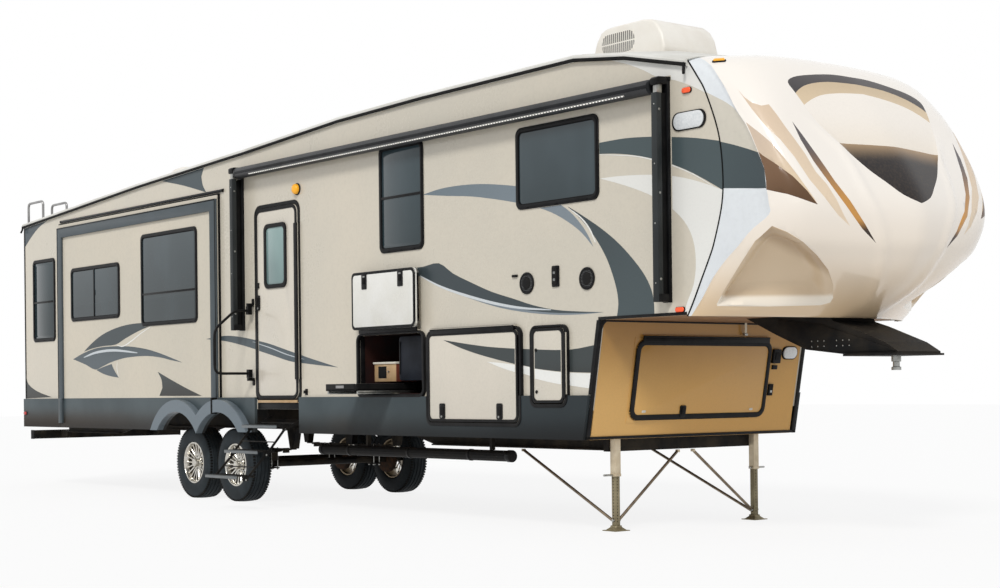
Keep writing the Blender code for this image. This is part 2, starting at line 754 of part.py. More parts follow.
def build_floors():
    side = INNER_Y - GAP
    inside = REAR_X + WALL + GAP
    hold("floor_deck", box(inside, 3.99, -side, side, FLOOR_Z - DECK, FLOOR_Z), "wood")
    hole = LEG_W / 2 + 0.004
    gaps = [rect(LEG_X - hole, LEG_X + hole, y - hole, y + hole) for y in (-LEG_Y, LEG_Y)]
    base = prism(rect(4.0, front_x(0.80) - 0.05, -side, side), "Z", 0.795, 0.835, gaps)
    hold("basement_floor", base, "wood")
    plan = [(3.995, -side), (7.24, -side)]
    for k in range(9):
        t = -0.94 + 1.88 * k / 8
        x, y, _ = cap_point(CAP_ROWS[0], t)
        plan.append((x - 0.07, y * 0.955))
    plan += [(7.24, side), (3.995, side)]
    deck = prism(plan, "Z", UPPER_Z, UPPER_Z + DECK)
    riser = box(3.995, 4.035, -side, side, FLOOR_Z + GAP, UPPER_Z + 0.02)
    fused("upper_deck", [deck, riser], "wood")

    half = INNER_Y - GAP
    slope = [(front_x(z), z) for z in (SKIRT_LOW_Z, UPPER_Z - GAP)]
    outline = slope + [(x - 0.045, z) for x, z in reversed(slope)]
    panel = prism(outline, "Y", -half, half)
    low, high = FRONT_DOOR_Z
    cut = box(5.9, 6.6, -FRONT_DOOR_HALF, FRONT_DOOR_HALF, low, high)
    x, z = front_hinge()
    strip = FRONT_DOOR_HALF - 0.06
    seat = box(x - 0.045, x - FRONT_BAR_R - GAP, -strip, strip, z + 0.0006, z + 0.012)
    fused("front_lower_wall", [panel, seat], "front_tan", cuts=[cut])


def skirt_shapes(x0, x1, side, notches=(), face=(ON_WALL_Y, SKIRT_OUT_Y), z_high=SKIRT_TOP_Z, slanted=False):
    """A skirt panel on one side (+1 or -1) with its wheel openings and flares."""
    points = [(x0, SKIRT_LOW_Z)]
    for cx in sorted(AXLE_X):
        reach = math.degrees(math.asin((SKIRT_LOW_Z - AXLE_Z) / ARCH_R))
        curve = arc(cx, AXLE_Z, ARCH_R, 180 - reach, reach, 12)
        curve = [point for point in curve if x0 < point[0] < x1]
        if not curve:
            continue
        if cx < 0 and len(curve) > 1:
            curve = [point for point in curve if point[0] < 0]
            curve.append((0.0, AXLE_Z + math.sqrt(ARCH_R**2 - cx**2)))
        else:
            curve = [point for point in curve if point[0] > 0.001]
        if curve[0][0] - x0 > 0.001 and x0 > cx - ARCH_R and not (cx > 0 > x0):
            points = [(x0, AXLE_Z + math.sqrt(ARCH_R**2 - (x0 - cx) ** 2))]
        points += curve
        if x1 < cx + ARCH_R and cx > 0:
            points.append((x1, AXLE_Z + math.sqrt(ARCH_R**2 - (x1 - cx) ** 2)))
    if points[-1][0] < x1 - 0.001:
        points.append((x1, SKIRT_LOW_Z))
    right = x1
    if slanted:
        points[-1] = (front_x(SKIRT_LOW_Z) - 0.001, SKIRT_LOW_Z)
        right = front_x(z_high) - 0.001
    points.append((right, z_high))
    for n0, n1, low in sorted(notches, reverse=True):
        points += [(n1, z_high), (n1, low), (n0, low), (n0, z_high)]
    points.append((x0, z_high))
    low, high = sorted((face[0] * side, face[1] * side))
    return prism(points, "Y", low, high)


def flare_shapes(x0, x1, side, inner):
    """Flares that stand out over the wheels, cut to a stretch of the side."""
    shapes = []
    for cx in AXLE_X:
        low_angle = math.degrees(math.asin((SKIRT_LOW_Z - AXLE_Z) / FLARE_R))
        curve = arc(cx, AXLE_Z, FLARE_R, low_angle, 180 - low_angle, 14)
        reach = math.degrees(math.asin((SKIRT_LOW_Z - AXLE_Z) / ARCH_R))
        under = arc(cx, AXLE_Z, ARCH_R, reach, 180 - reach, 12)

        def cut_to(points):
            kept = []
            radius = math.hypot(points[3][0] - cx, points[3][1] - AXLE_Z)
            low = max(x0, -0.001 if cx > 0 else -9)
            high = min(x1, 0.001 if cx < 0 else 9)
            for x, z in points:
                if low <= x <= high:
                    kept.append((x, z))
            for limit, first in ((high, True), (low, False)):
                if abs(limit - cx) < radius * 0.85:
                    z = AXLE_Z + math.sqrt(radius**2 - (limit - cx) ** 2)
                    kept = [(limit, z)] + kept if first else kept + [(limit, z)]
            return kept

        over = cut_to(curve)
        below = cut_to(under)
        if len(over) < 3 or len(below) < 2:
            continue
        low, high = sorted((inner * side, FLARE_OUT_Y * side))
        shapes.append(prism(over + below[::-1], "Y", low, high))
    return shapes


def build_skirts():
    well = (DOOR_HOLE[0] - 0.02, DOOR_HOLE[1] + 0.02)
    x0 = SLIDE_X[1] + 0.006
    middle = skirt_shapes(x0, well[0], -1)
    fused("skirt_right_middle", [middle] + flare_shapes(x0, 9, -1, SKIRT_OUT_Y - 0.01), "skirt_dark")
    front = skirt_shapes(well[1], LOWER_FRONT_X, -1, [LARGE_HOLE[:3], SMALL_HOLE[:3]], slanted=True)
    hold("skirt_right_front", front, "skirt_dark")
    rear = box(REAR_X, SLIDE_X[0] - 0.006, -SKIRT_OUT_Y, -ON_WALL_Y, SKIRT_LOW_Z, SKIRT_TOP_Z)
    hold("skirt_right_rear", rear, "skirt_dark")
    left = skirt_shapes(REAR_X, LOWER_FRONT_X, 1, [LARGE_HOLE[:3]], slanted=True)
    fused("skirt_left", [left] + flare_shapes(-9, 9, 1, SKIRT_OUT_Y - 0.01), "skirt_dark")


def build_slides():
    x0, x1 = SLIDE_X
    face_in, face_out = SLIDE_FACE_Y
    hx0, hx1, hz0, hz1 = SLIDE_HOLE
    clear = 0.012
    low_part = skirt_shapes(x0, x1, -1, face=(face_in, face_out), z_high=SKIRT_TOP_Z + 0.02)
    cuts = [round_rect(*cut, 0.05) for cut in (SLIDE_WINDOW_A, SLIDE_WINDOW_B)]
    face = prism(rect(x0, x1, SKIRT_TOP_Z, SLIDE_TOP_Z), "Y", -face_out, -face_in, cuts)
    inner = -(HALF_WIDTH - SLIDE_DEPTH)
    ends = [
        box(hx0 + clear, hx0 + clear + SLIDE_WALL, -face_out + 0.01, inner, hz0 + clear, hz1 - clear),
        box(hx1 - clear - SLIDE_WALL, hx1 - clear, -face_out + 0.01, inner, hz0 + clear, hz1 - clear),
        box(hx0 + clear, hx1 - clear, -face_out + 0.01, inner, hz1 - clear - SLIDE_WALL, hz1 - clear),
        box(hx0 + clear, hx1 - clear, -face_out + 0.01, inner, hz0 + clear, hz0 + clear + SLIDE_WALL),
    ]
    band = 0.12
    frame = prism(
        [(x0, SKIRT_TOP_Z), (x0, SLIDE_TOP_Z - 0.04), (x1, SLIDE_TOP_Z - 0.04), (x1, SKIRT_TOP_Z)]
        + [(x1 - band, SKIRT_TOP_Z), (x1 - band, SLIDE_TOP_Z - 0.04 - band)]
        + [(x0 + band, SLIDE_TOP_Z - 0.04 - band), (x0 + band, SKIRT_TOP_Z)],
        "Y",
        -face_out - 0.025,
        -face_out + 0.005,
    )
    shapes = [face, low_part, frame] + ends + flare_shapes(-9, x1, -1, face_out - 0.01)
    fused("slide_room_right", shapes, "wall_beige", (0.5 * (x0 + x1), -HALF_WIDTH, 2.0))
    pane("slide_window_rear", SLIDE_WINDOW_A, face_out, -1, back=face_out - face_in)
    pane("slide_window_front", SLIDE_WINDOW_B, face_out, -1, back=face_out - face_in)

    x0, x1 = LEFT_SLIDE_X
    z0, z1 = LEFT_SLIDE_Z
    hx0, hx1, hz0, hz1 = LEFT_SLIDE_HOLE
    face = prism(rect(x0, x1, z0, z1), "Y", ON_WALL_Y, SKIRT_OUT_Y, [round_rect(*LEFT_WINDOW, 0.05)])
    inner = HALF_WIDTH - SLIDE_DEPTH
    ends = [
        box(hx0 + clear, hx0 + clear + SLIDE_WALL, inner, SKIRT_OUT_Y - 0.01, hz0 + clear, hz1 - clear),
        box(hx1 - clear - SLIDE_WALL, hx1 - clear, inner, SKIRT_OUT_Y - 0.01, hz0 + clear, hz1 - clear),
        box(hx0 + clear, hx1 - clear, inner, SKIRT_OUT_Y - 0.01, hz1 - clear - SLIDE_WALL, hz1 - clear),
        box(hx0 + clear, hx1 - clear, inner, SKIRT_OUT_Y - 0.01, hz0 + clear, hz0 + clear + SLIDE_WALL),
    ]
    fused("slide_room_left", [face] + ends, "wall_beige", (0.5 * (x0 + x1), HALF_WIDTH, 2.0))
    pane("slide_window_left", LEFT_WINDOW, SKIRT_OUT_Y, 1, back=SKIRT_OUT_Y - ON_WALL_Y)


def build_doors():
    x0, x1, z0, z1 = DOOR_HOLE
    edge = LID_CLEAR
    slab = rect(x0 + edge, x1 - edge, z0 + edge, z1 - edge)
    hinge = (DOOR_HINGE[0], DOOR_HINGE[1], z0)
    shape = prism(slab, "Y", -DOOR_Y[1], -DOOR_Y[0], [round_rect(*DOOR_WINDOW, 0.05)])
    leaf = box(x1 - 0.05, DOOR_HINGE[0], -DOOR_Y[1] - 0.014, -DOOR_Y[1] + 0.004, z0 + 0.2, z1 - 0.2)
    pin = sweep([(*DOOR_HINGE, z0 + 0.2), (*DOOR_HINGE, z1 - 0.2)], DOOR_BAR_R)
    fused("entry_door", [shape, leaf, pin], "door_white", hinge)
    obj = pane("entry_door_window", DOOR_WINDOW, DOOR_Y[1], -1, back=DOOR_Y[1] - DOOR_Y[0])
    shift_origin(obj, hinge)

    # Right storage doors, then the left one
    for name, hole, hinge_z in (
        ("cargo_door_large", LARGE_HOLE, LARGE_HINGE_Z),
        ("galley_door", GALLEY_HOLE, GALLEY_HINGE_Z),
    ):
        x0, x1, z0, z1 = hole
        low, high = z0 + edge, z1 - edge
        y0, y1 = -LID_Y[1], -LID_Y[0]
        if name == "galley_door":
            low, high = 2 * hinge_z - high, 2 * hinge_z - low
            y0, y1 = -2 * LID_HINGE_Y - y1, -2 * LID_HINGE_Y - y0
        slab = box(x0 + edge, x1 - edge, y0, y1, low, high)
        near = high if name == "cargo_door_large" else low
        arm_low, arm_high = sorted((near - 0.01 if near == high else near + 0.01, hinge_z))
        middle = -LID_HINGE_Y
        y_arm = sorted((middle, y1 - 0.0025 if name == "galley_door" else y0 + 0.0025))
        leaf = box(x0 + 0.05, x1 - 0.05, y_arm[0] - 0.001, y_arm[1], arm_low, arm_high)
        bar = sweep([(x0 + 0.05, middle, hinge_z), (x1 - 0.05, middle, hinge_z)], BAR_R)
        fused(name, [slab, leaf, bar], "door_white", (x0, -LID_HINGE_Y, hinge_z))
    x0, x1, z0, z1 = LARGE_HOLE
    slab = box(x0 + edge, x1 - edge, LID_Y[0], LID_Y[1], z0 + edge, z1 - edge)
    leaf = box(x0 + 0.05, x1 - 0.05, LID_Y[1] - 0.0025, LID_HINGE_Y + 0.001, z1 - edge - 0.01, LARGE_HINGE_Z)
    bar = sweep([(x0 + 0.05, LID_HINGE_Y, LARGE_HINGE_Z), (x1 - 0.05, LID_HINGE_Y, LARGE_HINGE_Z)], BAR_R)
    fused("cargo_door_left", [slab, leaf, bar], "door_white", (x0, LID_HINGE_Y, LARGE_HINGE_Z))
    x0, x1, z0, z1 = SMALL_HOLE
    slab = box(x0 + edge, x1 - edge, -LID_Y[1], -LID_Y[0], z0 + edge, z1 - edge)
    hinge_x = x1 + SMALL_HINGE
    leaf = box(x1 - edge - 0.01, hinge_x, -LID_HINGE_Y - 0.001, -LID_Y[1] + 0.0025, z0 + 0.05, z1 - 0.05)
    bar = sweep([(hinge_x, -LID_HINGE_Y, z0 + 0.05), (hinge_x, -LID_HINGE_Y, z1 - 0.05)], BAR_R)
    fused("cargo_door_small", [slab, leaf, bar], "door_white", (hinge_x, -LID_HINGE_Y, z0))

    # Front storage door, hinged along its top
    low, high = FRONT_DOOR_Z
    out = 0.016
    low, high = low + edge, high - edge
    face = [(front_x(z) + out, z) for z in (low, high)]
    back = [(front_x(z) - 0.03, z) for z in (high, low)]
    half = FRONT_DOOR_HALF - edge
    slab = prism(face + back, "Y", -half, half)
    hinge_x, hinge_z = front_hinge()
    leaf = box(hinge_x - 0.014, hinge_x + 0.002, -half + 0.05, half - 0.05, high - 0.012, hinge_z)
    bar = sweep([(hinge_x, -half + 0.05, hinge_z), (hinge_x, half - 0.05, hinge_z)], FRONT_BAR_R)
    fused("storage_door_front", [slab, leaf, bar], "front_tan", (hinge_x, 0, hinge_z))


def shift_origin(obj, origin):
    """Puts an object's origin at a place and leaves its shape where it was."""
    old = obj.location.copy()
    for vertex in obj.data.vertices:
        vertex.co += old - Vector(origin)
    obj.location = origin


def build_galley():
    x0, x1, z0, z1 = GALLEY_HOLE
    t = 0.012
    y_in = -0.45
    y_out = -INNER_Y + GAP
    low = FLOOR_Z + GAP
    outer = box(x0 - 0.04, x1 - 0.03, y_out, y_in, low, z1 + 0.02)
    inner = box(x0, x1 - 0.06, y_out - 0.1, y_in - t, z0 + 0.005, z1)
    opened = fused("galley_compartment", [outer], "wood", cuts=[inner])
    cabinet = hold("galley_cabinet_shape", box(*GALLEY_CABINET), None, (0, 0, 0), helpers("galley_cabinet"))
    cabinet.hide_render = True
    cabinet.display_type = "WIRE"
    step = opened.modifiers.new("cabinet", "BOOLEAN")
    step.operation = "UNION"
    step.solver = "EXACT"
    step.object = cabinet
    seat = z0 + 0.005 + GAP
    y0, y1 = TRAY_Y
    tray = box(x0 + 0.06, x0 + 0.56, y0, y1, z0 + 0.035, z0 + 0.05)
    rails = [
        box(x0 + 0.06, x0 + 0.085, y0, y1, seat, z0 + 0.10),
        box(x0 + 0.535, x0 + 0.56, y0, y1, seat, z0 + 0.10),
        box(x0 + 0.06, x0 + 0.56, y0, y0 + 0.015, seat, z0 + 0.10),
    ]
    fused("cargo_tray", [tray] + rails, "steel_silver", (x0 + 0.3, -HALF_WIDTH, z0))


def build_frame():
    z0, z1 = RAIL_Z
    deep_rear = z0 - 0.10
    deep_front = z0 - 0.12
    basement_low = 0.795 - GAP
    shapes = []
    rear = REAR_X + WALL + 0.02
    front = 5.985
    top = FLOOR_Z - DECK - GAP
    flanges = (
        # X0, X1, low Z of the rail's lower flange
        (-2.62, 2.92, z0),
        (3.38, front, deep_front),
        (rear, -3.08, deep_rear),
    )
    for side in (-1, 1):
        y = side * RAIL_Y
        outline = [(rear, deep_rear), (rear, top), (3.96, top), (3.96, basement_low), (front, basement_low)]
        outline += [(front, deep_front), (3.4, deep_front), (2.9, z0), (-2.6, z0), (-3.1, deep_rear)]
        shapes.append(prism(outline, "Y", y - RAIL_T / 2, y + RAIL_T / 2))
        for x0, x1, low in flanges:
            shapes.append(box(x0, x1, y - RAIL_W / 2, y + RAIL_W / 2, low, low + RAIL_T))
        shapes.append(box(rear, 3.96, y - RAIL_W / 2, y + RAIL_W / 2, top - RAIL_T, top))
        for x, half in HANGERS:
            spring_top = AXLE_Z + SPRING_RISE + GAP
            foot = [(x - 0.09, z0 + 0.005), (x + 0.09, z0 + 0.005), (x + half, spring_top), (x - half, spring_top)]
            shapes.append(prism(foot, "Y", y - 0.036, y + 0.036))
    for x in CROSS_X:
        high = top if x < 3.9 else basement_low
        shapes.append(box(x - 0.03, x + 0.03, -RAIL_Y, RAIL_Y, high - 0.10, high))
    for x, high in OUTRIGGERS:
        high = basement_low if high else top
        shapes.append(box(x - 0.025, x + 0.025, -HALF_WIDTH + 0.10, HALF_WIDTH - 0.10, high - 0.06, high))
    # Front crossbar, which holds the legs
    shapes.append(box(5.93, LEG_X - LEG_W / 2 - GAP, -LEG_Y - 0.04, LEG_Y + 0.04, deep_front, basement_low))
    # Straps of the hose tube
    for x, high in TUBE_STRAPS:
        high = (basement_low if high else top) - 0.03
        shapes.append(box(x - 0.015, x + 0.015, -TUBE_Y - 0.02, -TUBE_Y + 0.02, TUBE_Z + TUBE_R + GAP, high))
    # Hanger plates of the steps
    ya, za = STEP_PIVOTS[0]
    for side, x in ((-1, STEP_X[0] - GAP), (1, STEP_X[1] + GAP)):
        x0, x1 = sorted((x, x + side * 0.008))
        shapes.append(box(x0, x1, ya - 0.03, -RAIL_Y + 0.01, za - 0.03, top))
    fused("chassis_frame", shapes, "frame_black")


def build_upper_frame():
    """Pin box under the raised deck, and the kingpin."""
    side_line = [
        (6.95, UPPER_Z - GAP), (7.24, 1.56), (7.56, 1.43), (7.95, 1.385), (8.42, 1.385),
        (8.42, 1.40), (8.30, 1.47), (7.95, 1.60), (7.82, 1.64), (7.79, UPPER_Z - GAP),
    ]
    body = prism(side_line, "Y", -0.25, 0.25)
    plate = box(7.94, 8.43, -0.28, 0.28, 1.372, 1.387)
    fused("pin_box", [body, plate], "frame_black")
    top = 1.372 - GAP
    rings = ((0.036, PIN_Z), (0.036, PIN_Z + 0.022), (0.0255, PIN_Z + 0.026), (0.0255, PIN_Z + 0.060))
    rings += ((0.036, PIN_Z + 0.064), (0.036, top))
    hold("kingpin", spun(rings, PIN_X, 0, 0, "Z", 16), "steel_silver")


def build_legs():
    half = LEG_W / 2
    for name, side in (("landing_leg_right", -1), ("landing_leg_left", 1)):
        y = side * LEG_Y
        outer = box(LEG_X - half, LEG_X + half, y - half, y + half, LEG_TUBE_Z, 1.25)
        inner = box(LEG_X - 0.026, LEG_X + 0.026, y - 0.026, y + 0.026, 0.02, 0.6)
        foot = box(LEG_X - 0.09, LEG_X + 0.09, y - 0.09, y + 0.09, 0.0, 0.012)
        cone = box(LEG_X - 0.055, LEG_X + 0.055, y - 0.055, y + 0.055, 0.006, 0.05)
        rods = [
            sweep([(LEG_X, y, 0.075), (4.76, side * (RAIL_Y + 0.07), 0.625)], 0.009, 6),
            sweep([(LEG_X, y, 0.075), (LEG_X - 0.02, side * 0.09, 0.625)], 0.009, 6),
        ]
        fused(name, [outer, inner, foot, cone] + rods, "steel_silver")


def build_axles():
    for name, x in (("axle_front", AXLE_X[0]), ("axle_rear", AXLE_X[1])):
        reach = TRACK_Y + HUB_IN * TYRE_W / 2 - GAP
        beam = sweep([(x, -reach, AXLE_Z), (x, reach, AXLE_Z)], 0.038, 12)
        shapes = [beam]
        for side in (-1, 1):
            y = side * RAIL_Y
            shapes.append(box(x - 0.445, x + 0.445, y - 0.03, y + 0.03, AXLE_Z + 0.145, AXLE_Z + SPRING_RISE))
            shapes.append(box(x - 0.25, x + 0.25, y - 0.03, y + 0.03, AXLE_Z + 0.105, AXLE_Z + 0.15))
            shapes.append(box(x - 0.06, x + 0.06, y - 0.04, y + 0.04, AXLE_Z + 0.01, AXLE_Z + 0.11))
            drum = [(x, side * (TRACK_Y - inside), AXLE_Z) for inside in (0.205, 0.13)]
            shapes.append(sweep(drum, 0.15, 16))
        fused(name, shapes, "frame_black")


def build_wheels():
    half = TYRE_W / 2
    for end, x in (("front", AXLE_X[0]), ("rear", AXLE_X[1])):
        for word, side in (("right", -1), ("left", 1)):
            centre = (x, side * TRACK_Y, AXLE_Z)
            profile = [
                (RIM_R, -half * 0.82), (RIM_R + 0.03, -half * 0.97), (TYRE_R - 0.08, -half),
                (TYRE_R - 0.018, -half * 0.84), (TYRE_R, -half * 0.45), (TYRE_R, half * 0.45),
                (TYRE_R - 0.018, half * 0.84), (TYRE_R - 0.08, half), (RIM_R + 0.03, half * 0.97),
                (RIM_R, half * 0.82),
            ]
            hold(f"tyre_{end}_{word}", turned(profile, *centre, "Y", TYRE_SIDES), "tyre_rubber", centre)
            r = RIM_R - 0.0004
            barrel = [
                (r, -half * 0.82), (r - 0.012, -half * 0.9), (r - 0.020, -half * 0.82),
                (r - 0.020, half * 0.82), (r - 0.012, half * 0.9), (r, half * 0.82),
            ]
            shapes = [turned(barrel, *centre, "Y", TYRE_SIDES)]
            out = side * half
            hub = [(0.078, out * HUB_IN), (0.078, out * 0.55), (0.045, out * 0.80), (0.045, out * 0.95)]
            shapes.append(spun(hub, *centre, "Y", 20))
            for k in range(SPOKES):
                angle = 2 * math.pi * k / SPOKES
                direction = Vector((math.sin(angle), 0, math.cos(angle)))
                a = Vector(centre) + Vector((0, out * 0.42, 0)) + direction * 0.06
                b = Vector(centre) + Vector((0, out * 0.62, 0)) + direction * (r - 0.012)
                shapes.append(sweep([a, b], SPOKE_R, 4))
            fused(f"rim_{end}_{word}", shapes, "alloy", centre)


def build_steps():
    x0, x1 = STEP_X
    half, thick = STEP_ARM
    level = 2 * (thick + STEP_PLAY)
    middle = 0.5 * (x0 + x1)
    for i, name in enumerate(("upper", "middle", "lower")):
        (ya, za), (yb, zb) = STEP_PIVOTS[i], STEP_PIVOTS[i + 1]
        xa, xb = x0 + level * i, x1 - level * i
        length = math.hypot(yb - ya, zb - za)
        dy, dz = (yb - ya) * half / length, (zb - za) * half / length
        strip = [
            (ya - dy - dz, za - dz + dy),
            (yb + dy - dz, zb + dz + dy),
            (yb + dy + dz, zb + dz - dy),
            (ya - dy + dz, za - dz - dy),
        ]
        ym, zm = 0.5 * (ya + yb), 0.5 * (za + zb)
        shapes = [
            prism(strip, "X", xa, xa + thick),
            prism(strip, "X", xb - thick, xb),
            sweep([(xa + 0.002, ym, zm), (xb - 0.002, ym, zm)], 0.006, 6),
        ]
        fused(f"step_arm_{name}", shapes, "frame_black", (middle, ya, za))
        xa, xb = xa + thick + STEP_PLAY, xb - thick - STEP_PLAY
        low = zb + half + 0.008
        tread = box(xa, xb, yb - STEP_DEPTH / 2, yb + STEP_DEPTH / 2, low, low + STEP_THICK)
        ears = [
            box(xa, xa + thick, yb - 0.03, yb + 0.03, zb - half, low + 0.01),
            box(xb - thick, xb, yb - 0.03, yb + 0.03, zb - half, low + 0.01),
        ]
        fused(f"step_tread_{name}", [tread] + ears, "frame_black", (middle, yb, zb))


def build_fittings():
    # Grab handle, standing straight out from the wall
    x, y = HANDLE_AT
    reach = HANDLE_OUT
    path = [(x, y, 1.345), (x, y - reach + 0.05, 1.345), (x, y - reach, 1.40), (x, y - reach, 1.72)]
    path += [(x, y - reach + 0.05, 1.80), (x, y - 0.10, 1.985), (x, y, 1.985)]
    bars = [sweep(path, 0.014), sweep([(x, y, HANDLE_Z[0]), (x, y, HANDLE_Z[1])], 0.014)]
    fused("grab_handle", bars, "handle_black", (x, y, 1.345))

    # Awning
    ends = ((0.79, 0.89), (7.03, 7.12))
    y = -HALF_WIDTH - 0.085
    tube = sweep([(ends[0][1] + GAP, y, 3.40), (ends[1][0] - GAP, y, 3.40)], 0.058, 14)
    hold("awning_roller", tube, "awning_grey")
    arms = []
    for x0, x1 in ends:
        arms.append(box(x0, x1, -HALF_WIDTH - 0.14, -ON_WALL_Y, 1.785, 3.47))
    rail = box(0.79, 7.12, -HALF_WIDTH - 0.025, -ON_WALL_Y, 3.44, 3.47)
    fused("awning_frame", arms + [rail], "trim_black")

    # Air conditioner
    base = roof_top(6.05, 0) - 0.004 + GAP
    shell = [(5.28, base + 0.004), (5.26, base + 0.10), (5.36, base + 0.30), (5.50, base + 0.335)]
    shell += [(5.95, base + 0.335), (6.10, base + 0.22), (6.14, base + 0.06), (6.12, base + 0.004)]
    hold("air_conditioner", prism(shell, "Y", -0.32, 0.32), "roof_white")

    # Ladder on the rear wall
    bars = []
    ladder_y = (-HALF_WIDTH + 0.12, -HALF_WIDTH + 0.44)
    for y in ladder_y:
        foot = roof_top(REAR_X + 0.32, y) + 0.005
        path = [(REAR_X - GAP, y, 1.05), (REAR_X - 0.11, y, 1.05), (REAR_X - 0.13, y, 1.10), (REAR_X - 0.13, y, 3.55)]
        path += [(REAR_X - 0.08, y, 3.62), (REAR_X + 0.25, y, 3.62), (REAR_X + 0.32, y, 3.56), (REAR_X + 0.32, y, foot)]
        bars.append(sweep(path, 0.0125, 6))
    for k in range(8):
        z = 1.25 + 0.30 * k
        bars.append(sweep([(REAR_X - 0.13, y, z) for y in ladder_y], 0.011, 6))
    fused("ladder", bars, "steel_silver")

    # Hose carrier tube under the frame
    tube = sweep([(1.90, -TUBE_Y, TUBE_Z), (4.87, -TUBE_Y, TUBE_Z)], TUBE_R, 12, 0.5)
    hold("hose_tube", tube, "trim_black")

    # Rear bumper
    half = HALF_WIDTH - 0.17
    beam = box(REAR_X - 0.23, REAR_X - 0.13, -half, half, 0.58, 0.69)
    stubs = [box(REAR_X - 0.15, REAR_X + WALL + 0.02 - GAP, y - 0.03, y + 0.03, 0.60, 0.68) for y in (-RAIL_Y, RAIL_Y)]
    fused("rear_bumper", [beam] + stubs, "frame_black")


def move_to_frame():
    root = bpy.data.objects.new("frame_origin", None)
    bpy.context.scene.collection.objects.link(root)
    root.location = (-PIN_X, 0.0, -PIN_Z)
    for obj in bpy.data.objects:
        if obj is not root and obj.parent is None:
            obj.parent = root


clear_scene()
build_walls()
build_roof()
build_cap()
build_floors()
build_skirts()
build_slides()
build_doors()
build_galley()
build_frame()
build_upper_frame()
build_legs()
build_axles()
build_wheels()
build_steps()
build_fittings()
move_to_frame()
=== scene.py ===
"""Looks of a fifth wheel travel trailer: finishes, front cap, wall graphics, windows, doors and fittings."""

import math
import json

import bmesh
import bpy
import numpy as np
from mathutils import Matrix, Vector
from mathutils.geometry import delaunay_2d_cdt

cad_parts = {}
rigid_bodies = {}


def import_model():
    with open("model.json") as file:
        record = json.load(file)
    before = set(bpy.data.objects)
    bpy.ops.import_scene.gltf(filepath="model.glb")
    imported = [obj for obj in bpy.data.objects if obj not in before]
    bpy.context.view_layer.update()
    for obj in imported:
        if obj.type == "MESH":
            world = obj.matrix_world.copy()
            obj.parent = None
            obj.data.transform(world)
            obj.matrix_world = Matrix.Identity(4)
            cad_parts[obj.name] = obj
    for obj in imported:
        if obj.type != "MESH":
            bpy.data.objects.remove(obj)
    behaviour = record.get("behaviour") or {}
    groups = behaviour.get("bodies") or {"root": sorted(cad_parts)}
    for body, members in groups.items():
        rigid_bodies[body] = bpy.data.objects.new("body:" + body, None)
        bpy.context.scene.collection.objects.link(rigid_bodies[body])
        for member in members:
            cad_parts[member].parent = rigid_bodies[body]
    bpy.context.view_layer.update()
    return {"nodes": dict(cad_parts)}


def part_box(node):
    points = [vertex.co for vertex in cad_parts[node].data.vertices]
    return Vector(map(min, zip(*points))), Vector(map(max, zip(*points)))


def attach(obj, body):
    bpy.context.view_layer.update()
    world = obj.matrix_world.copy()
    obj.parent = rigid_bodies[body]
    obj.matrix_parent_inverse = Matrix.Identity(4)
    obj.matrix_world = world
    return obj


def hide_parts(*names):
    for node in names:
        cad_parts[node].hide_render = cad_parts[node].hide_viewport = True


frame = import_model()

bl_info = {
    "name": "Fifth Wheel Trailer Looks",
    "version": (1, 0, 0),
    "blender": (4, 5, 0),
    "location": "3D View > Sidebar > Trailer",
    "description": "Builds the visible pieces and finishes of a fifth wheel trailer around its frame",
    "category": "Object",
}

# Every place below is in metres from a point on the ground, midway between the axles:
# X runs forward, the door side has Y below 0, and Z is the height
TYRE_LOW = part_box("tyre_front_right")
AXLES = [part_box(f"axle_{end}") for end in ("front", "rear")]
MIDWAY = sum(0.25 * (low.x + high.x) for low, high in [tuple(map(Vector, box)) for box in AXLES])
ORIGIN = Vector((MIDWAY, 0.0, TYRE_LOW[0][2]))


def span(node):
    """Lowest and highest corner of a CAD node, in metres from the ground point."""
    low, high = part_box(node)
    return Vector(low) - ORIGIN, Vector(high) - ORIGIN


WALL_Y = 1.22  # outer face of the side walls
ROOF_Y = 1.235  # outer edge of the roof
SKIRT_Y = 1.2503  # just outside the skirts and the slide-outs' walls
GAP = 0.0004  # between a plate and the face it lies on
ON_WALL = -WALL_Y - GAP  # where a plate on the door side begins
REAR_X = -4.67  # outer face of the rear wall
REAR_FACE = REAR_X - 0.0003
LEAF_GAP = 0.0085  # between a door leaf and its opening
SIDE_NAMES = {-1: "right", 1: "left"}


# ---------------------------------------------------------------- plain solids

def box(x0, x1, y0, y1, z0, z1):
    """A block between three pairs of coordinates."""
    verts = [(x, y, z) for z in (z0, z1) for y in (y0, y1) for x in (x0, x1)]
    faces = [(0, 2, 3, 1), (4, 5, 7, 6), (0, 1, 5, 4), (2, 6, 7, 3), (0, 4, 6, 2), (1, 3, 7, 5)]
    return verts, faces


def area_of(outline):
    """Area of an outline, above 0 where it runs anticlockwise."""
    return 0.5 * sum(a[0] * b[1] - b[0] * a[1] for a, b in zip(outline, outline[1:] + outline[:1]))


def triangles(rings, keep, merge, whole=False):
    """Plane triangles between closed rings: those whose middle is kept, each anticlockwise."""
    points = [Vector(point) for ring in rings for point in ring]
    edges, loops = [], []
    for ring in rings:
        start, count = sum(map(len, loops)), len(ring)
        loops.append(list(range(start, start + count)))
        edges += [(start + k, start + (k + 1) % count) for k in range(count)]
    flat, _, tris, _, _, _ = delaunay_2d_cdt(points, edges, loops if whole else [], 0, merge)
    kept = []
    for tri in tris:
        if keep(sum((flat[k] for k in tri), Vector((0.0, 0.0))) / 3):
            a, b, c = tri
            kept.append(tri if (flat[b] - flat[a]).cross(flat[c] - flat[a]) > 0 else (a, c, b))
    return flat, kept


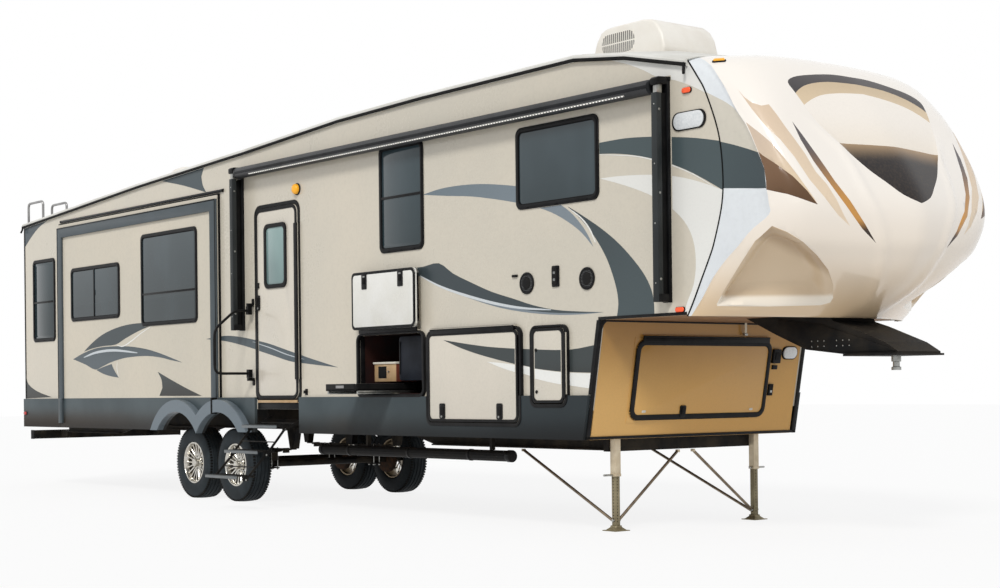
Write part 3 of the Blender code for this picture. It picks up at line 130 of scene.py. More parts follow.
def prism(outline, axis, low, high, holes=()):
    """A plate between two places along an axis, from an outline with holes."""
    rings = [list(ring) for ring in (outline, *holes)]
    rings = [ring if area_of(ring) > 0 else ring[::-1] for ring in rings]

    def solid(middle):
        return inside(middle, rings[0]) and not any(inside(middle, ring) for ring in rings[1:])

    def put(u, v, w):
        return {"X": (w, u, v), "Y": (u, w, v), "Z": (u, v, w)}[axis]

    flat, kept = triangles(rings, solid, 1e-6, whole=True)
    return thick(flat, kept, put, low, high, flip=axis == "Y")


def rim_of(tris):
    """Edges that only one of the triangles has."""
    rim = set()
    for a, b, c in tris:
        for edge in ((a, b), (b, c), (c, a)):
            if edge[::-1] in rim:
                rim.remove(edge[::-1])
            else:
                rim.add(edge)
    return sorted(rim)


def thick(flat, tris, put, low, high, flip=False):
    """Closes plane triangles into a plate between two levels."""
    count = len(flat)
    verts = [put(u, v, w) for w in (low, high) for u, v in flat]
    faces = []
    for a, b, c in tris:
        faces += [(c, b, a), (a + count, b + count, c + count)]
    faces += [(a, b, b + count, a + count) for a, b in rim_of(tris)]
    if flip:
        faces = [face[::-1] for face in faces]
    return verts, faces


def inside(point, outline):
    """Whether a plane point lies inside a closed outline."""
    x, y = point
    found = False
    for (x0, y0), (x1, y1) in zip(outline, outline[1:] + outline[:1]):
        if (y0 > y) != (y1 > y) and x < x0 + (x1 - x0) * (y - y0) / (y1 - y0):
            found = not found
    return found


def rect(x0, x1, z0, z1):
    """Outline of a rectangle."""
    return [(x0, z0), (x1, z0), (x1, z1), (x0, z1)]


def wider(bounds, by):
    """The bounds of a rectangle, moved outwards on all four sides."""
    x0, x1, z0, z1 = bounds
    return x0 - by, x1 + by, z0 - by, z1 + by


def round_rect(x0, x1, z0, z1, radius, steps=6):
    """A rectangle with round corners."""
    points = []
    corners = ((x1, z0, 1, -1, 270), (x1, z1, 1, 1, 0), (x0, z1, -1, 1, 90), (x0, z0, -1, -1, 180))
    for x, z, sx, sz, start in corners:
        for k in range(steps + 1):
            angle = math.radians(start + 90 * k / steps)
            cx, cz = x - sx * radius, z - sz * radius
            points.append((cx + radius * math.cos(angle), cz + radius * math.sin(angle)))
    return points


def skin(rows, size, closed=False):
    """Faces through rows of points of equal length, with closed ends."""
    faces = []
    for i in range(rows if closed else rows - 1):
        j = (i + 1) % rows
        for k in range(size):
            m = (k + 1) % size
            faces.append((i * size + k, i * size + m, j * size + m, j * size + k))
    if not closed:
        faces += [tuple(range(size - 1, -1, -1)), tuple(range((rows - 1) * size, rows * size))]
    return faces


def tube(path, radius, sides=12):
    """A round bar along points."""
    path = [Vector(point) for point in path]
    radii = radius if isinstance(radius, (list, tuple)) else [radius] * len(path)
    verts = []
    normal = None
    for i, point in enumerate(path):
        before = path[max(i - 1, 0)]
        after = path[min(i + 1, len(path) - 1)]
        along = ((point - before).normalized() + (after - point).normalized()).normalized()
        if normal is None:
            normal = along.orthogonal().normalized()
        normal = (normal - along * normal.dot(along)).normalized()
        other = along.cross(normal)
        for k in range(sides):
            angle = 2 * math.pi * k / sides
            verts.append(tuple(point + (normal * math.cos(angle) + other * math.sin(angle)) * radii[i]))
    return verts, skin(len(path), sides)


def bend(points, radius, steps=5):
    """A path whose corners are rounded."""
    points = [Vector(point) for point in points]
    path = [points[0]]
    for a, b, c in zip(points, points[1:], points[2:]):
        into, away = (a - b).normalized(), (c - b).normalized()
        reach = min(radius, 0.45 * (a - b).length, 0.45 * (c - b).length)
        start, stop = b + into * reach, b + away * reach
        for k in range(steps + 1):
            t = k / steps
            path.append(start * (1 - t) ** 2 + b * 2 * t * (1 - t) + stop * t**2)
    return path + [points[-1]]


def lathe(profile, centre, axis, sides=32, closed=False):
    """A round solid from radius and place pairs along an axis."""
    verts = []
    for r, w in profile:
        for k in range(sides):
            angle = 2 * math.pi * k / sides
            u, v = r * math.cos(angle), r * math.sin(angle)
            point = {"X": (w, u, v), "Y": (v, w, u), "Z": (u, v, w)}[axis]
            verts.append(tuple(Vector(point) + Vector(centre)))
    return verts, skin(len(profile), sides, closed)


def loft(rings):
    """A closed solid through rings of equal length."""
    return [tuple(point) for ring in rings for point in ring], skin(len(rings), len(rings[0]))


def outward(mesh):
    """Turns the faces of closed solids outwards."""
    work = bmesh.new()
    work.from_mesh(mesh)
    bmesh.ops.recalc_face_normals(work, faces=work.faces)
    work.to_mesh(mesh)
    work.free()


def placed(name, data):
    """Puts a mesh, a light or a camera in the scene."""
    obj = bpy.data.objects.new(name, data)
    bpy.context.scene.collection.objects.link(obj)
    return obj


class Piece:
    """Gathers closed solids with their finishes, and makes one object of them."""

    def __init__(self, name, body, slot=None):
        self.name = name
        self.body = body
        self.slot = slot
        self.verts = []
        self.faces = []
        self.looks = []
        self.used = []

    def add(self, solid, look):
        """Adds a closed solid in one finish."""
        verts, faces = solid
        start = len(self.verts)
        if look not in self.used:
            self.used.append(look)
        self.verts += [tuple(v) for v in verts]
        self.faces += [tuple(k + start for k in face) for face in faces]
        self.looks += [self.used.index(look)] * len(faces)

    def make(self, replaces=(), bevel=0.0, smooth=38, segments=2):
        """Makes the object, with its faces outwards and its edges rounded."""
        mesh = bpy.data.meshes.new(self.name)
        mesh.from_pydata([tuple(Vector(v) + ORIGIN) for v in self.verts], [], self.faces)
        mesh.polygons.foreach_set("material_index", self.looks)
        for look in self.used:
            mesh.materials.append(finish(look))
        outward(mesh)
        obj = placed(self.name, mesh)
        if bevel:
            edge = obj.modifiers.new("edges", "BEVEL")
            edge.width = bevel
            edge.segments = segments
            edge.limit_method = "ANGLE"
            edge.angle_limit = math.radians(35)
            settle(obj)
        soften(obj, smooth)
        return seat(obj, self.body, self.slot, replaces)


def settle(obj):
    """Turns an object's modifiers into plain mesh."""
    view = bpy.context.evaluated_depsgraph_get()
    mesh = bpy.data.meshes.new_from_object(obj.evaluated_get(view), preserve_all_data_layers=True, depsgraph=view)
    old = obj.data
    obj.modifiers.clear()
    obj.data = mesh
    mesh.name = obj.name
    if old.users == 0:
        bpy.data.meshes.remove(old)


def soften(obj, angle):
    """Smooth shading, with edges over an angle in degrees kept sharp."""
    mesh = obj.data
    mesh.polygons.foreach_set("use_smooth", [angle > 0] * len(mesh.polygons))
    if angle > 0:
        mesh.set_sharp_from_angle(angle=math.radians(angle))
    mesh.update()


def seat(obj, body, slot=None, replaces=()):
    """Fixes a finished piece to its body, in place of the CAD nodes that it stands for."""
    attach(obj, body)
    if replaces:
        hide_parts(*replaces)
    return obj


# ---------------------------------------------------------------- finishes

def tone(red, green, blue):
    """A colour given from 0 to 255 as on a screen, for a shader."""
    def linear(c):
        c /= 255
        return c / 12.92 if c <= 0.04045 else ((c + 0.055) / 1.055) ** 2.4
    return (linear(red), linear(green), linear(blue), 1.0)


class Signal:
    """A shader socket whose sums, products and powers add their Math nodes."""

    def __init__(self, paint, socket):
        self.paint = paint
        self.socket = socket

    def math(self, operation, *others, swap=False):
        """Adds a Math node on this value and others, with this value last where they are swapped."""
        terms = [*others, self] if swap else [self, *others]
        return self.paint.node("ShaderNodeMath", {"operation": operation}, *terms)

    def __add__(self, other):
        return self.math("ADD", other)

    def __radd__(self, other):
        return self.math("ADD", other)

    def __sub__(self, other):
        return self.math("SUBTRACT", other)

    def __rsub__(self, other):
        return self.math("SUBTRACT", other, swap=True)

    def __mul__(self, other):
        return self.math("MULTIPLY", other)

    def __rmul__(self, other):
        return self.math("MULTIPLY", other)

    def __pow__(self, other):
        return self.math("POWER", other)

    def step(self, low, high):
        """Rises smoothly from 0 at low to 1 at high."""
        settings = {"interpolation_type": "SMOOTHSTEP", "clamp": True}
        return self.paint.node("ShaderNodeMapRange", settings, self, low, high, 0.0, 1.0)


class Paint:
    """One material under construction."""

    def __init__(self, name):
        self.material = bpy.data.materials.new(name)
        self.material.use_nodes = True
        self.tree = self.material.node_tree
        self.tree.nodes.clear()
        self.shader = self.tree.nodes.new("ShaderNodeBsdfPrincipled")
        out = self.tree.nodes.new("ShaderNodeOutputMaterial")
        self.tree.links.new(self.shader.outputs[0], out.inputs["Surface"])
        # The point's place, in metres from the ground point
        where = self.node("ShaderNodeTexCoord", None, out=3)
        self.at = self.node("ShaderNodeVectorMath", {"operation": "SUBTRACT"}, where, tuple(ORIGIN))

    def node(self, kind, settings=None, *values, out=0, **named):
        """Adds a node: its settings come first, then the values or links of its sockets."""
        node = self.tree.nodes.new(kind)
        for key, value in (settings or {}).items():
            setattr(node, key, value)
        pairs = [(node.inputs[i], value) for i, value in enumerate(values)]
        pairs += [(node.inputs[key.replace("_", " ")], value) for key, value in named.items()]
        for socket, value in pairs:
            self.plug(socket, value)
        return Signal(self, node.outputs[out])

    def plug(self, socket, value):
        """Links a socket to a signal, or gives it a constant value."""
        if isinstance(value, Signal):
            self.tree.links.new(value.socket, socket)
        elif value is not None:
            socket.default_value = value

    def axes(self):
        """X, Y and Z of the point's place."""
        node = self.node("ShaderNodeSeparateXYZ", None, self.at).socket.node
        return [Signal(self, node.outputs[i]) for i in range(3)]

    def noise(self, size, detail=3.0, stretch=None):
        """Cloudy noise from 0 to 1, with patches of a size in metres."""
        place = self.at
        if stretch:
            place = self.node("ShaderNodeVectorMath", {"operation": "MULTIPLY"}, place, stretch)
        return self.node("ShaderNodeTexNoise", None, Vector=place, Scale=1.0 / size, Detail=detail,
                         Roughness=0.55)

    def blend(self, share, first, second):
        """A mix of two colours, whose sockets are the mix node's seventh and eighth."""
        settings = {"data_type": "RGBA", "clamp_factor": True}
        return self.node("ShaderNodeMix", settings, share, *[None] * 5, first, second, out=2)

    def bump(self, height, depth):
        """A normal from a height whose full range is a depth in metres."""
        return self.node("ShaderNodeBump", None, Strength=1.0, Distance=depth, Height=height)

    def finish(self, **sockets):
        """Sets the shader's sockets, whose names have _ for a space."""
        for key, value in sockets.items():
            self.plug(self.shader.inputs[key.replace("_", " ")], value)
        return self.material


# Finishes that many pieces share
MOULD = "black moulding"
RUBBER = "black rubber"
SEAL = "seal rubber"
ZINC = "zinc steel"
POWDER = "black powder coat"
CHASSIS = "chassis black"
ANODISED = "awning anodised black"
ALUMINIUM = "brushed aluminium"

# What every plain finish is made of: two colours that mix in patches, gloss, grain and road dust
FINISHES = {
    # name: (colour, second colour, patch m, roughness, metal, coat, grain m, grain depth m, dust)
    "wall gel coat": ((206, 199, 184), (214, 205, 188), 1.60, 0.30, 0.0, 0.5, 0.030, 0.00006, 0.25),
    "rear gel coat": ((204, 198, 184), (211, 204, 189), 1.20, 0.32, 0.0, 0.4, 0.030, 0.00006, 0.25),
    "door gel coat": ((212, 205, 191), (218, 210, 196), 0.70, 0.30, 0.0, 0.5, 0.020, 0.00005, 0.10),
    # Side panels of the cap by its joint: a cooler, greyer white, partly a painted reflection of the sky
    "cap cool white": ((228, 232, 235), (222, 226, 230), 0.90, 0.18, 0.0, 0.6, 0.040, 0.00005, 0.0),
    "cap side panel": ((204, 198, 184), (213, 206, 193), 0.80, 0.20, 0.0, 0.7, 0.040, 0.00005, 0.0),
    "cap laminate": ((150, 140, 118), (128, 118, 98), 0.08, 0.75, 0.0, 0.0, 0.006, 0.0006, 0.0),
    "roof membrane": ((232, 231, 226), (214, 212, 205), 0.55, 0.62, 0.0, 0.0, 0.010, 0.00025, 0.0),
    "roof plastic": ((244, 240, 232), (236, 230, 220), 0.30, 0.42, 0.0, 0.1, 0.004, 0.00010, 0.0),
    MOULD: ((20, 20, 21), (31, 31, 32), 0.12, 0.38, 0.0, 0.2, 0.002, 0.00006, 0.20),
    RUBBER: ((24, 24, 25), (34, 33, 32), 0.06, 0.62, 0.0, 0.0, 0.0015, 0.00008, 0.15),
    SEAL: ((12, 12, 13), (20, 20, 20), 0.10, 0.55, 0.0, 0.0, 0.0015, 0.00006, 0.0),
    POWDER: ((22, 22, 23), (34, 33, 32), 0.18, 0.46, 0.2, 0.1, 0.0016, 0.00012, 0.45),
    "step edge grey": ((98, 103, 106), (116, 121, 124), 0.20, 0.42, 0.2, 0.1, 0.0016, 0.00008, 0.2),
    "trim arm grey": ((48, 51, 52), (58, 61, 62), 0.50, 0.36, 0.2, 0.2, 0.0012, 0.00004, 0.0),
    ANODISED: ((26, 27, 29), (40, 41, 43), 0.50, 0.30, 0.6, 0.2, 0.0012, 0.00004, 0.0),
    CHASSIS: ((24, 24, 25), (46, 42, 37), 0.22, 0.58, 0.1, 0.0, 0.0020, 0.00018, 0.7),
    ZINC: ((176, 177, 174), (150, 150, 146), 0.05, 0.34, 0.95, 0.0, 0.0030, 0.00008, 0.2),
    "leg steel": ((222, 208, 182), (204, 188, 160), 0.12, 0.40, 0.35, 0.0, 0.0030, 0.00010, 0.5),
    "leg steel low": ((150, 140, 112), (124, 114, 88), 0.12, 0.46, 0.45, 0.0, 0.0030, 0.00010, 0.3),
    "brace steel": ((140, 124, 104), (108, 96, 82), 0.08, 0.40, 0.7, 0.0, 0.0030, 0.00010, 0.2),
    ALUMINIUM: ((158, 157, 156), (138, 137, 137), 0.12, 0.34, 0.85, 0.0, 0.0018, 0.00005, 0.1),
    "white enamel": ((234, 233, 228), (224, 222, 214), 0.35, 0.24, 0.0, 0.5, 0.020, 0.00004, 0.1),
    "galley lining": ((38, 34, 36), (58, 34, 30), 0.30, 0.55, 0.0, 0.1, 0.0020, 0.00012, 0.0),
    "galley cool lining": ((34, 38, 46), (24, 26, 32), 0.25, 0.45, 0.0, 0.1, 0.0020, 0.00010, 0.0),
    "cabinet tan": ((196, 164, 122), (176, 142, 100), 0.20, 0.45, 0.0, 0.2, 0.0040, 0.00010, 0.0),
    "cabinet russet": ((112, 58, 44), (84, 42, 34), 0.15, 0.45, 0.0, 0.2, 0.0040, 0.00010, 0.0),
    "red lens": ((168, 20, 18), (196, 34, 28), 0.02, 0.12, 0.0, 0.7, 0.0030, 0.00030, 0.0),
    "clear lens": ((214, 218, 220), (230, 232, 233), 0.02, 0.10, 0.0, 0.7, 0.0030, 0.00030, 0.0),
    "lamp strip": ((168, 166, 160), (150, 149, 145), 0.05, 0.40, 0.0, 0.2, 0.0020, 0.00005, 0.0),
    "plastic grey": ((112, 114, 114), (128, 129, 128), 0.05, 0.50, 0.0, 0.0, 0.0015, 0.00006, 0.1),
    "plastic cream": ((218, 212, 198), (226, 220, 206), 0.05, 0.42, 0.0, 0.1, 0.0015, 0.00006, 0.0),
    "webbing": ((214, 204, 184), (188, 178, 158), 0.02, 0.85, 0.0, 0.0, 0.0012, 0.00030, 0.0),
    "brake iron": ((52, 46, 42), (88, 62, 46), 0.05, 0.70, 0.4, 0.0, 0.0030, 0.00030, 0.6),
    "tyre wall": ((38, 43, 46), (50, 56, 60), 0.16, 0.60, 0.0, 0.0, 0.0020, 0.00008, 0.05),
    "tyre tread": ((17, 18, 19), (28, 29, 29), 0.05, 0.80, 0.0, 0.0, 0.0025, 0.00020, 0.25),
    "trim slate": ((76, 84, 88), (84, 92, 97), 0.40, 0.36, 0.0, 0.2, 0.020, 0.00005, 0.15),
    "roof seal": ((196, 196, 190), (176, 176, 170), 0.20, 0.60, 0.0, 0.0, 0.004, 0.00020, 0.0),
    "grille dark": ((40, 42, 44), (52, 54, 56), 0.05, 0.60, 0.0, 0.0, 0.0015, 0.00010, 0.0),
}

# Vinyl of the graphics: colour at one end, colour at the other, and the line between them
VINYLS = {
    # name: (first colour, second colour, X, Y, Z of the first, X, Y, Z of the second, colour past the second)
    "slate vinyl": ((74, 86, 89), (68, 78, 84), (6.4, 0, 3.0), (-4.5, 0, 3.3)),
    "slate vinyl low": ((62, 72, 76), (84, 94, 100), (0, 0, 1.9), (0, 0, 1.5)),
    "charcoal vinyl": ((60, 69, 73), (74, 85, 88), (5.9, 0, 2.6), (6.7, 0, 1.7)),
    "blue grey vinyl": ((112, 124, 132), (128, 138, 146), (4.0, 0, 2.9), (6.2, 0, 2.3)),
    "silver vinyl": ((196, 203, 208), (214, 218, 220), (0, 0, 1.4), (0, 0, 2.2)),
    "white vinyl": ((240, 240, 236), (232, 231, 226), (0, 0, 1.0), (0, 0, 3.0)),
    "umber vinyl": ((62, 68, 69), (50, 50, 47), (0, 0, 1.4), (0, 0, 1.1)),
    "band vinyl": ((74, 86, 89), (66, 76, 80), (7.3, 0, 2.9), (8.2, 0, 2.7)),
    "leaf tan": ((218, 196, 172), (232, 212, 186), (7.9, 0, 3.25), (8.3, 0, 2.3)),
    "leaf pale tan": ((208, 188, 168), (230, 208, 176), (7.9, 0, 2.9), (8.3, 0, 2.4)),
    "leaf brown": ((122, 94, 72), (96, 70, 48), (8.05, 0, 2.75), (8.26, 0, 2.42)),
    "spear bronze": ((92, 86, 88), (206, 150, 80), (8.06, 0, 2.86), (8.31, 0, 2.36), (62, 50, 44)),
    "shield dark": ((72, 67, 68), (48, 44, 46), (7.8, 0, 3.5), (8.0, 0, 3.3)),
    "shield tan": ((206, 184, 152), (222, 200, 168), (7.8, 0, 3.4), (8.0, 0, 3.2)),
    "shield cream": ((248, 241, 232), (240, 230, 216), (8.0, 0, 3.2), (8.3, 0, 2.9)),
    "shield low": ((196, 164, 126), (30, 24, 24), (8.18, 0, 3.02), (8.34, 0, 2.82)),
}


def worn(name, colour, second, patch, rough, metal, coat, grain, depth, dust):
    """A finish with cloudy colour, fine grain and dust that gathers low down."""
    paint = Paint(name)
    cloud = paint.noise(patch).step(0.3, 0.7)
    fine = paint.noise(grain, detail=2.0)
    shade = paint.blend(cloud, tone(*colour), tone(*second))
    shade = paint.blend(fine.step(0.35, 0.85) * 0.10, shade, tone(*[c * 0.72 for c in colour]))
    gloss = rough + (cloud - 0.5) * 0.08 + (fine - 0.5) * 0.06
    # White surroundings would wash a dark finish out, so it shines and gathers dust less
    dark = max(colour) < 90
    if dust:
        height = paint.axes()[2]
        streak = paint.noise(0.22, detail=5.0)
        film = (1.0 - height.step(0.15, 1.35)) * streak.step(0.30, 0.75) * dust
        shade = paint.blend(film * (0.2 if dark else 0.5), shade, tone(150, 138, 118))
        gloss = gloss + film * 0.25
    normal = paint.bump(fine, depth)
    return paint.finish(
        Base_Color=shade, Roughness=gloss, Metallic=metal, Coat_Weight=coat * (0.15 if dark else 0.7),
        Coat_Roughness=0.08, Specular_IOR_Level=0.09 if dark else 0.4, Normal=normal
    )


def vinyl(name, first, second, start, stop, last=None):
    """Printed film whose colour runs evenly from one place to another."""
    paint = Paint(name)
    start, stop = Vector(start), Vector(stop)
    run = stop - start
    offset = paint.node("ShaderNodeVectorMath", {"operation": "SUBTRACT"}, paint.at, tuple(start))
    settings = {"operation": "DOT_PRODUCT"}
    along = paint.node("ShaderNodeVectorMath", settings, offset, tuple(run / run.length_squared), out=1)
    fine = paint.noise(0.02, detail=2.0)
    cloud = paint.noise(0.5)
    share = (along + (cloud - 0.5) * 0.16).step(0.0, 1.0)
    shade = paint.blend(share, tone(*first), tone(*second))
    if last:
        shade = paint.blend(along.step(1.06, 1.22), shade, tone(*last))
    shade = paint.blend(fine.step(0.4, 0.8) * 0.08, shade, tone(*[c * 0.8 for c in first]))
    gloss = 0.30 + (fine - 0.5) * 0.10
    return paint.finish(
        Base_Color=shade, Roughness=gloss, Coat_Weight=0.05, Specular_IOR_Level=0.22,
        Normal=paint.bump(fine, 0.00004)
    )


def skirt_shade(paint):
    """Slate panels, darker towards the front and the lower edge, that turn brown low down, partly as dust streaks
    and partly as a painted warm reflection of the ground, with paler flares over the wheels.
    """
    x, y, z = paint.axes()
    streak = paint.noise(0.45, detail=5.0, stretch=(0.6, 1.0, 1.4))
    low = 1.0 - z.step(0.76, 1.04)
    rear = 1.0 - x.step(-3.6, 0.4)
    shade = paint.blend(paint.noise(0.7).step(0.3, 0.7), tone(66, 76, 80), tone(78, 88, 92))
    shade = paint.blend(x.step(2.2, 6.2) * 0.75 + low * 0.2, shade, tone(38, 43, 46))
    # Brown low down: partly dust streaks, partly a painted warm reflection of the ground
    brown = (1.0 - x.step(2.2, 5.0)) * (low * (0.30 + rear * 0.65) + streak.step(0.45, 0.85) * low * 0.35)
    shade = paint.blend(brown, shade, tone(64, 52, 40))
    shade = paint.blend((1.0 - z.step(0.70, 0.97)) * 0.8, shade, tone(24, 23, 23))
    flare = y.math("ABSOLUTE").step(1.2515, 1.262)
    edge = y.math("ABSOLUTE").step(1.30, 1.328)
    shade = paint.blend(flare, shade, tone(104, 114, 121))
    return paint.blend(edge * 0.5, shade, tone(126, 136, 144)), low


def skirt_finish(name):
    """The skirt's moulded panels."""
    paint = Paint(name)
    fine = paint.noise(0.004, detail=2.0)
    shade, low = skirt_shade(paint)
    gloss = 0.34 + low * 0.18 + (fine - 0.5) * 0.08
    return paint.finish(
        Base_Color=shade, Roughness=gloss, Coat_Weight=0.01, Specular_IOR_Level=0.12,
        Normal=paint.bump(fine, 0.00008)
    )


def slide_finish(name):
    """The slide-out's walls: gel coat above, and the skirt's panel below a straight line."""
    paint = Paint(name)
    z = paint.axes()[2]
    fine = paint.noise(0.030, detail=2.0)
    upper = paint.blend(paint.noise(1.60).step(0.3, 0.7), tone(207, 200, 185), tone(215, 206, 189))
    upper = paint.blend(fine.step(0.35, 0.85) * 0.10, upper, tone(150, 145, 134))
    lower, low = skirt_shade(paint)
    share = 1.0 - z.step(1.1015, 1.1035)
    gloss = 0.32 + share * low * 0.16 + (fine - 0.5) * 0.06
    return paint.finish(
        Base_Color=paint.blend(share, upper, lower), Roughness=gloss, Coat_Weight=0.02, Specular_IOR_Level=0.15,
        Normal=paint.bump(fine, 0.00006)
    )


def fascia_finish(name):
    """Golden tan of the slanted wall, deeper towards its top, with painted shade low on its left half."""
    paint = Paint(name)
    _, y, z = paint.axes()
    cloud = paint.noise(0.8)
    fine = paint.noise(0.012, detail=2.0)
    share = (z + (cloud - 0.5) * 0.20).step(0.95, 1.72)
    shade = paint.blend(share, tone(224, 178, 106), tone(160, 116, 52))
    # Painted shade: deeper and more saturated low on the left half (Y above 0)
    shade = paint.blend((y.step(-1.0, 0.2)) * (1.0 - share) * 0.6, shade, tone(220, 164, 76))
    shade = paint.blend(fine.step(0.35, 0.85) * 0.08, shade, tone(120, 92, 56))
    gloss = 0.34 + (cloud - 0.5) * 0.1
    return paint.finish(
        Base_Color=shade, Roughness=gloss, Coat_Weight=0.2, Specular_IOR_Level=0.3,
        Normal=paint.bump(fine, 0.00006)
    )


def cap_finish(name):
    """Gel coat of the front cap: cream, warmer towards the chin, partly its own tint and partly a painted warm
    reflection of the ground.
    """
    paint = Paint(name)
    z = paint.axes()[2]
    cloud = paint.noise(0.9)
    fine = paint.noise(0.04, detail=2.0)
    height = z + (cloud - 0.5) * 0.16
    shade = paint.blend(cloud, tone(248, 242, 235), tone(244, 237, 228))
    # Warmer and darker towards the chin: partly the gel coat's own tint, partly a painted warm reflection of the
    # ground
    shade = paint.blend((1.0 - height.step(1.80, 2.75)) * 0.75, shade, tone(240, 222, 198))
    shade = paint.blend((1.0 - height.step(1.62, 2.12)) * 0.70, shade, tone(214, 178, 126))
    return paint.finish(
        Base_Color=shade, Roughness=0.20 + (fine - 0.5) * 0.05, Coat_Weight=0.45, Coat_Roughness=0.06,
        Specular_IOR_Level=0.4, Normal=paint.bump(fine, 0.00005)
    )


def scoop_finish(name):
    """The scoops of the cap: tan, deepened as painted shade of the recess, with a darker band of painted shade
    that falls across it and a painted highlight along the bright ledge.
    """
    paint = Paint(name)
    x, _, z = paint.axes()
    cloud = paint.noise(0.6)
    shade = paint.blend(cloud, tone(222, 200, 170), tone(212, 188, 156))
    # Painted shade: a darker band that falls across the recess
    slant = (x - 7.90) * 1.15 + (z - 2.30) + (cloud - 0.5) * 0.10
    band = slant.step(-0.16, 0.02) * (1.0 - slant.step(0.04, 0.34))
    shade = paint.blend(band * 0.75, shade, tone(170, 142, 110))
    # Painted highlight along the scoop's lower ledge
    ledge = 1.0 - z.step(1.800, 1.835)
    shade = paint.blend(ledge, shade, tone(246, 236, 220))
    return paint.finish(
        Base_Color=shade, Roughness=0.24 + cloud * 0.05, Coat_Weight=0.3, Specular_IOR_Level=0.35,
        Normal=paint.bump(cloud, 0.0002)
    )


def glass_finish(name, dark=(34, 48, 52), pale=(58, 72, 78), low=1.9, high=3.2):
    """Tinted glass, paler towards the top and in soft waves: a painted reflection of the sky."""
    paint = Paint(name)
    height = paint.axes()[2]
    wave = paint.noise(0.55, detail=2.0, stretch=(1.0, 1.0, 0.6))
    speck = paint.noise(0.003, detail=1.0)
    # Painted reflection of the sky: paler high up and in soft waves
    share = height.step(low, high) * 0.6 + wave.step(0.35, 0.75) * 0.4
    shade = paint.blend(share, tone(*dark), tone(*pale))
    gloss = 0.04 + speck.step(0.6, 0.9) * 0.04
    return paint.finish(
        Base_Color=shade, Roughness=gloss, Coat_Weight=0.15, Specular_IOR_Level=0.35,
        Normal=paint.bump(wave, 0.0006)
    )


def rim_finish(name):
    """Polished alloy with turning marks about each wheel's axle, and a painted warm, dark shadow in its depth."""
    paint = Paint(name)
    x, y, z = paint.axes()
    side = x.math("ABSOLUTE") - WHEEL_X
    up = z - WHEEL_Z
    away = (side * side + up * up) ** 0.5
    ring = (away * 2400.0).math("SINE")
    # Painted shadow: the rim turns dark and warm towards the inside of the wheel
    deep = (y.math("ABSOLUTE")).step(TRACK_Y - 0.02, TRACK_Y + 0.07)
    cloud = paint.noise(0.05).step(0.3, 0.7)
    shade = paint.blend(cloud, tone(206, 204, 198), tone(184, 178, 166))
    shade = paint.blend(deep * 0.9 + 0.1, tone(120, 104, 80), shade)
    gloss = 0.20 + ring * 0.03 + (1.0 - deep) * 0.18
    return paint.finish(Base_Color=shade, Roughness=gloss, Metallic=0.95, Normal=paint.bump(ring, 0.00001))


def awning_finish(name):
    """Rolled vinyl cloth with a fine weave and a cloudy tone."""
    paint = Paint(name)
    x, _, z = paint.axes()
    weave = (x * 2200.0).math("SINE") * (z * 2600.0).math("SINE")
    cloud = paint.noise(0.25).step(0.3, 0.7)
    shade = paint.blend(cloud, tone(30, 31, 33), tone(46, 47, 50))
    return paint.finish(Base_Color=shade, Roughness=0.5 + weave * 0.05, Normal=paint.bump(weave, 0.00015))


def wood_finish(name):
    """Sealed board with long grain."""
    paint = Paint(name)
    grain = paint.noise(0.05, detail=5.0, stretch=(0.12, 1.0, 1.0))
    fine = paint.noise(0.006, detail=2.0, stretch=(0.10, 1.0, 1.0))
    shade = paint.blend(grain.step(0.3, 0.7), tone(150, 112, 76), tone(112, 78, 50))
    shade = paint.blend(fine.step(0.5, 0.8) * 0.4, shade, tone(84, 58, 38))
    return paint.finish(Base_Color=shade, Roughness=0.6 + (fine - 0.5) * 0.1, Normal=paint.bump(fine, 0.0003))


def lit_finish(name, colour, strength):
    """A lens that glows a little."""
    paint = Paint(name)
    fine = paint.noise(0.004, detail=2.0)
    shade = paint.blend(fine, tone(*colour), tone(*[min(255, c * 1.08) for c in colour]))
    return paint.finish(
        Base_Color=shade, Roughness=0.25 + fine * 0.1, Emission_Color=shade, Emission_Strength=strength
    )


OWN_FINISHES = {
    "skirt moulding": skirt_finish,
    "slide gel coat": slide_finish,
    "front fascia tan": fascia_finish,
    "cap gel coat": cap_finish,
    "cap scoop": scoop_finish,
    # Both glasses turn paler high up, a painted reflection of the sky
    "tinted glass": glass_finish,
    "door glass": lambda name: glass_finish(name, (96, 118, 118), (150, 176, 174), 2.1, 2.9),
    "polished alloy": rim_finish,
    "awning cloth": awning_finish,
    "sealed board": wood_finish,
    "lamp diode": lambda name: lit_finish(name, (255, 250, 238), 0.5),
    "amber lens": lambda name: lit_finish(name, (240, 168, 36), 0.15),
    "marker lens": lambda name: lit_finish(name, (236, 86, 42), 0.15),
}


def finish(name):
    """The material of a name, made when it is first asked for."""
    made = bpy.data.materials.get(name)
    if made:
        return made
    if name in OWN_FINISHES:
        return OWN_FINISHES[name](name)
    if name in VINYLS:
        return vinyl(name, *VINYLS[name])
    return worn(name, *FINISHES[name])


# ---------------------------------------------------------------- sizes taken from the frame

WHEELS = {
    f"wheel_{end}_{side}": (f"tyre_{end}_{side}", f"rim_{end}_{side}")
    for end in ("front", "rear")
    for side in ("right", "left")
}
TYRE_BOX = span("tyre_front_right")
WHEEL_X = 0.5 * (TYRE_BOX[0].x + TYRE_BOX[1].x)
WHEEL_Z = 0.5 * (TYRE_BOX[0].z + TYRE_BOX[1].z)
TRACK_Y = -0.5 * (TYRE_BOX[0].y + TYRE_BOX[1].y)
TYRE_R = 0.5 * (TYRE_BOX[1].z - TYRE_BOX[0].z)
TYRE_W = TYRE_BOX[1].y - TYRE_BOX[0].y

# Upper edge of the side walls, from the rear to the cap
ROOF_EDGE = (
    # X, Z
    (-4.67, 3.330), (-1.40, 3.535), (0.90, 3.643), (2.67, 3.745), (4.00, 3.775), (6.05, 3.790),
    (6.64, 3.714), (7.29, 3.565),
)

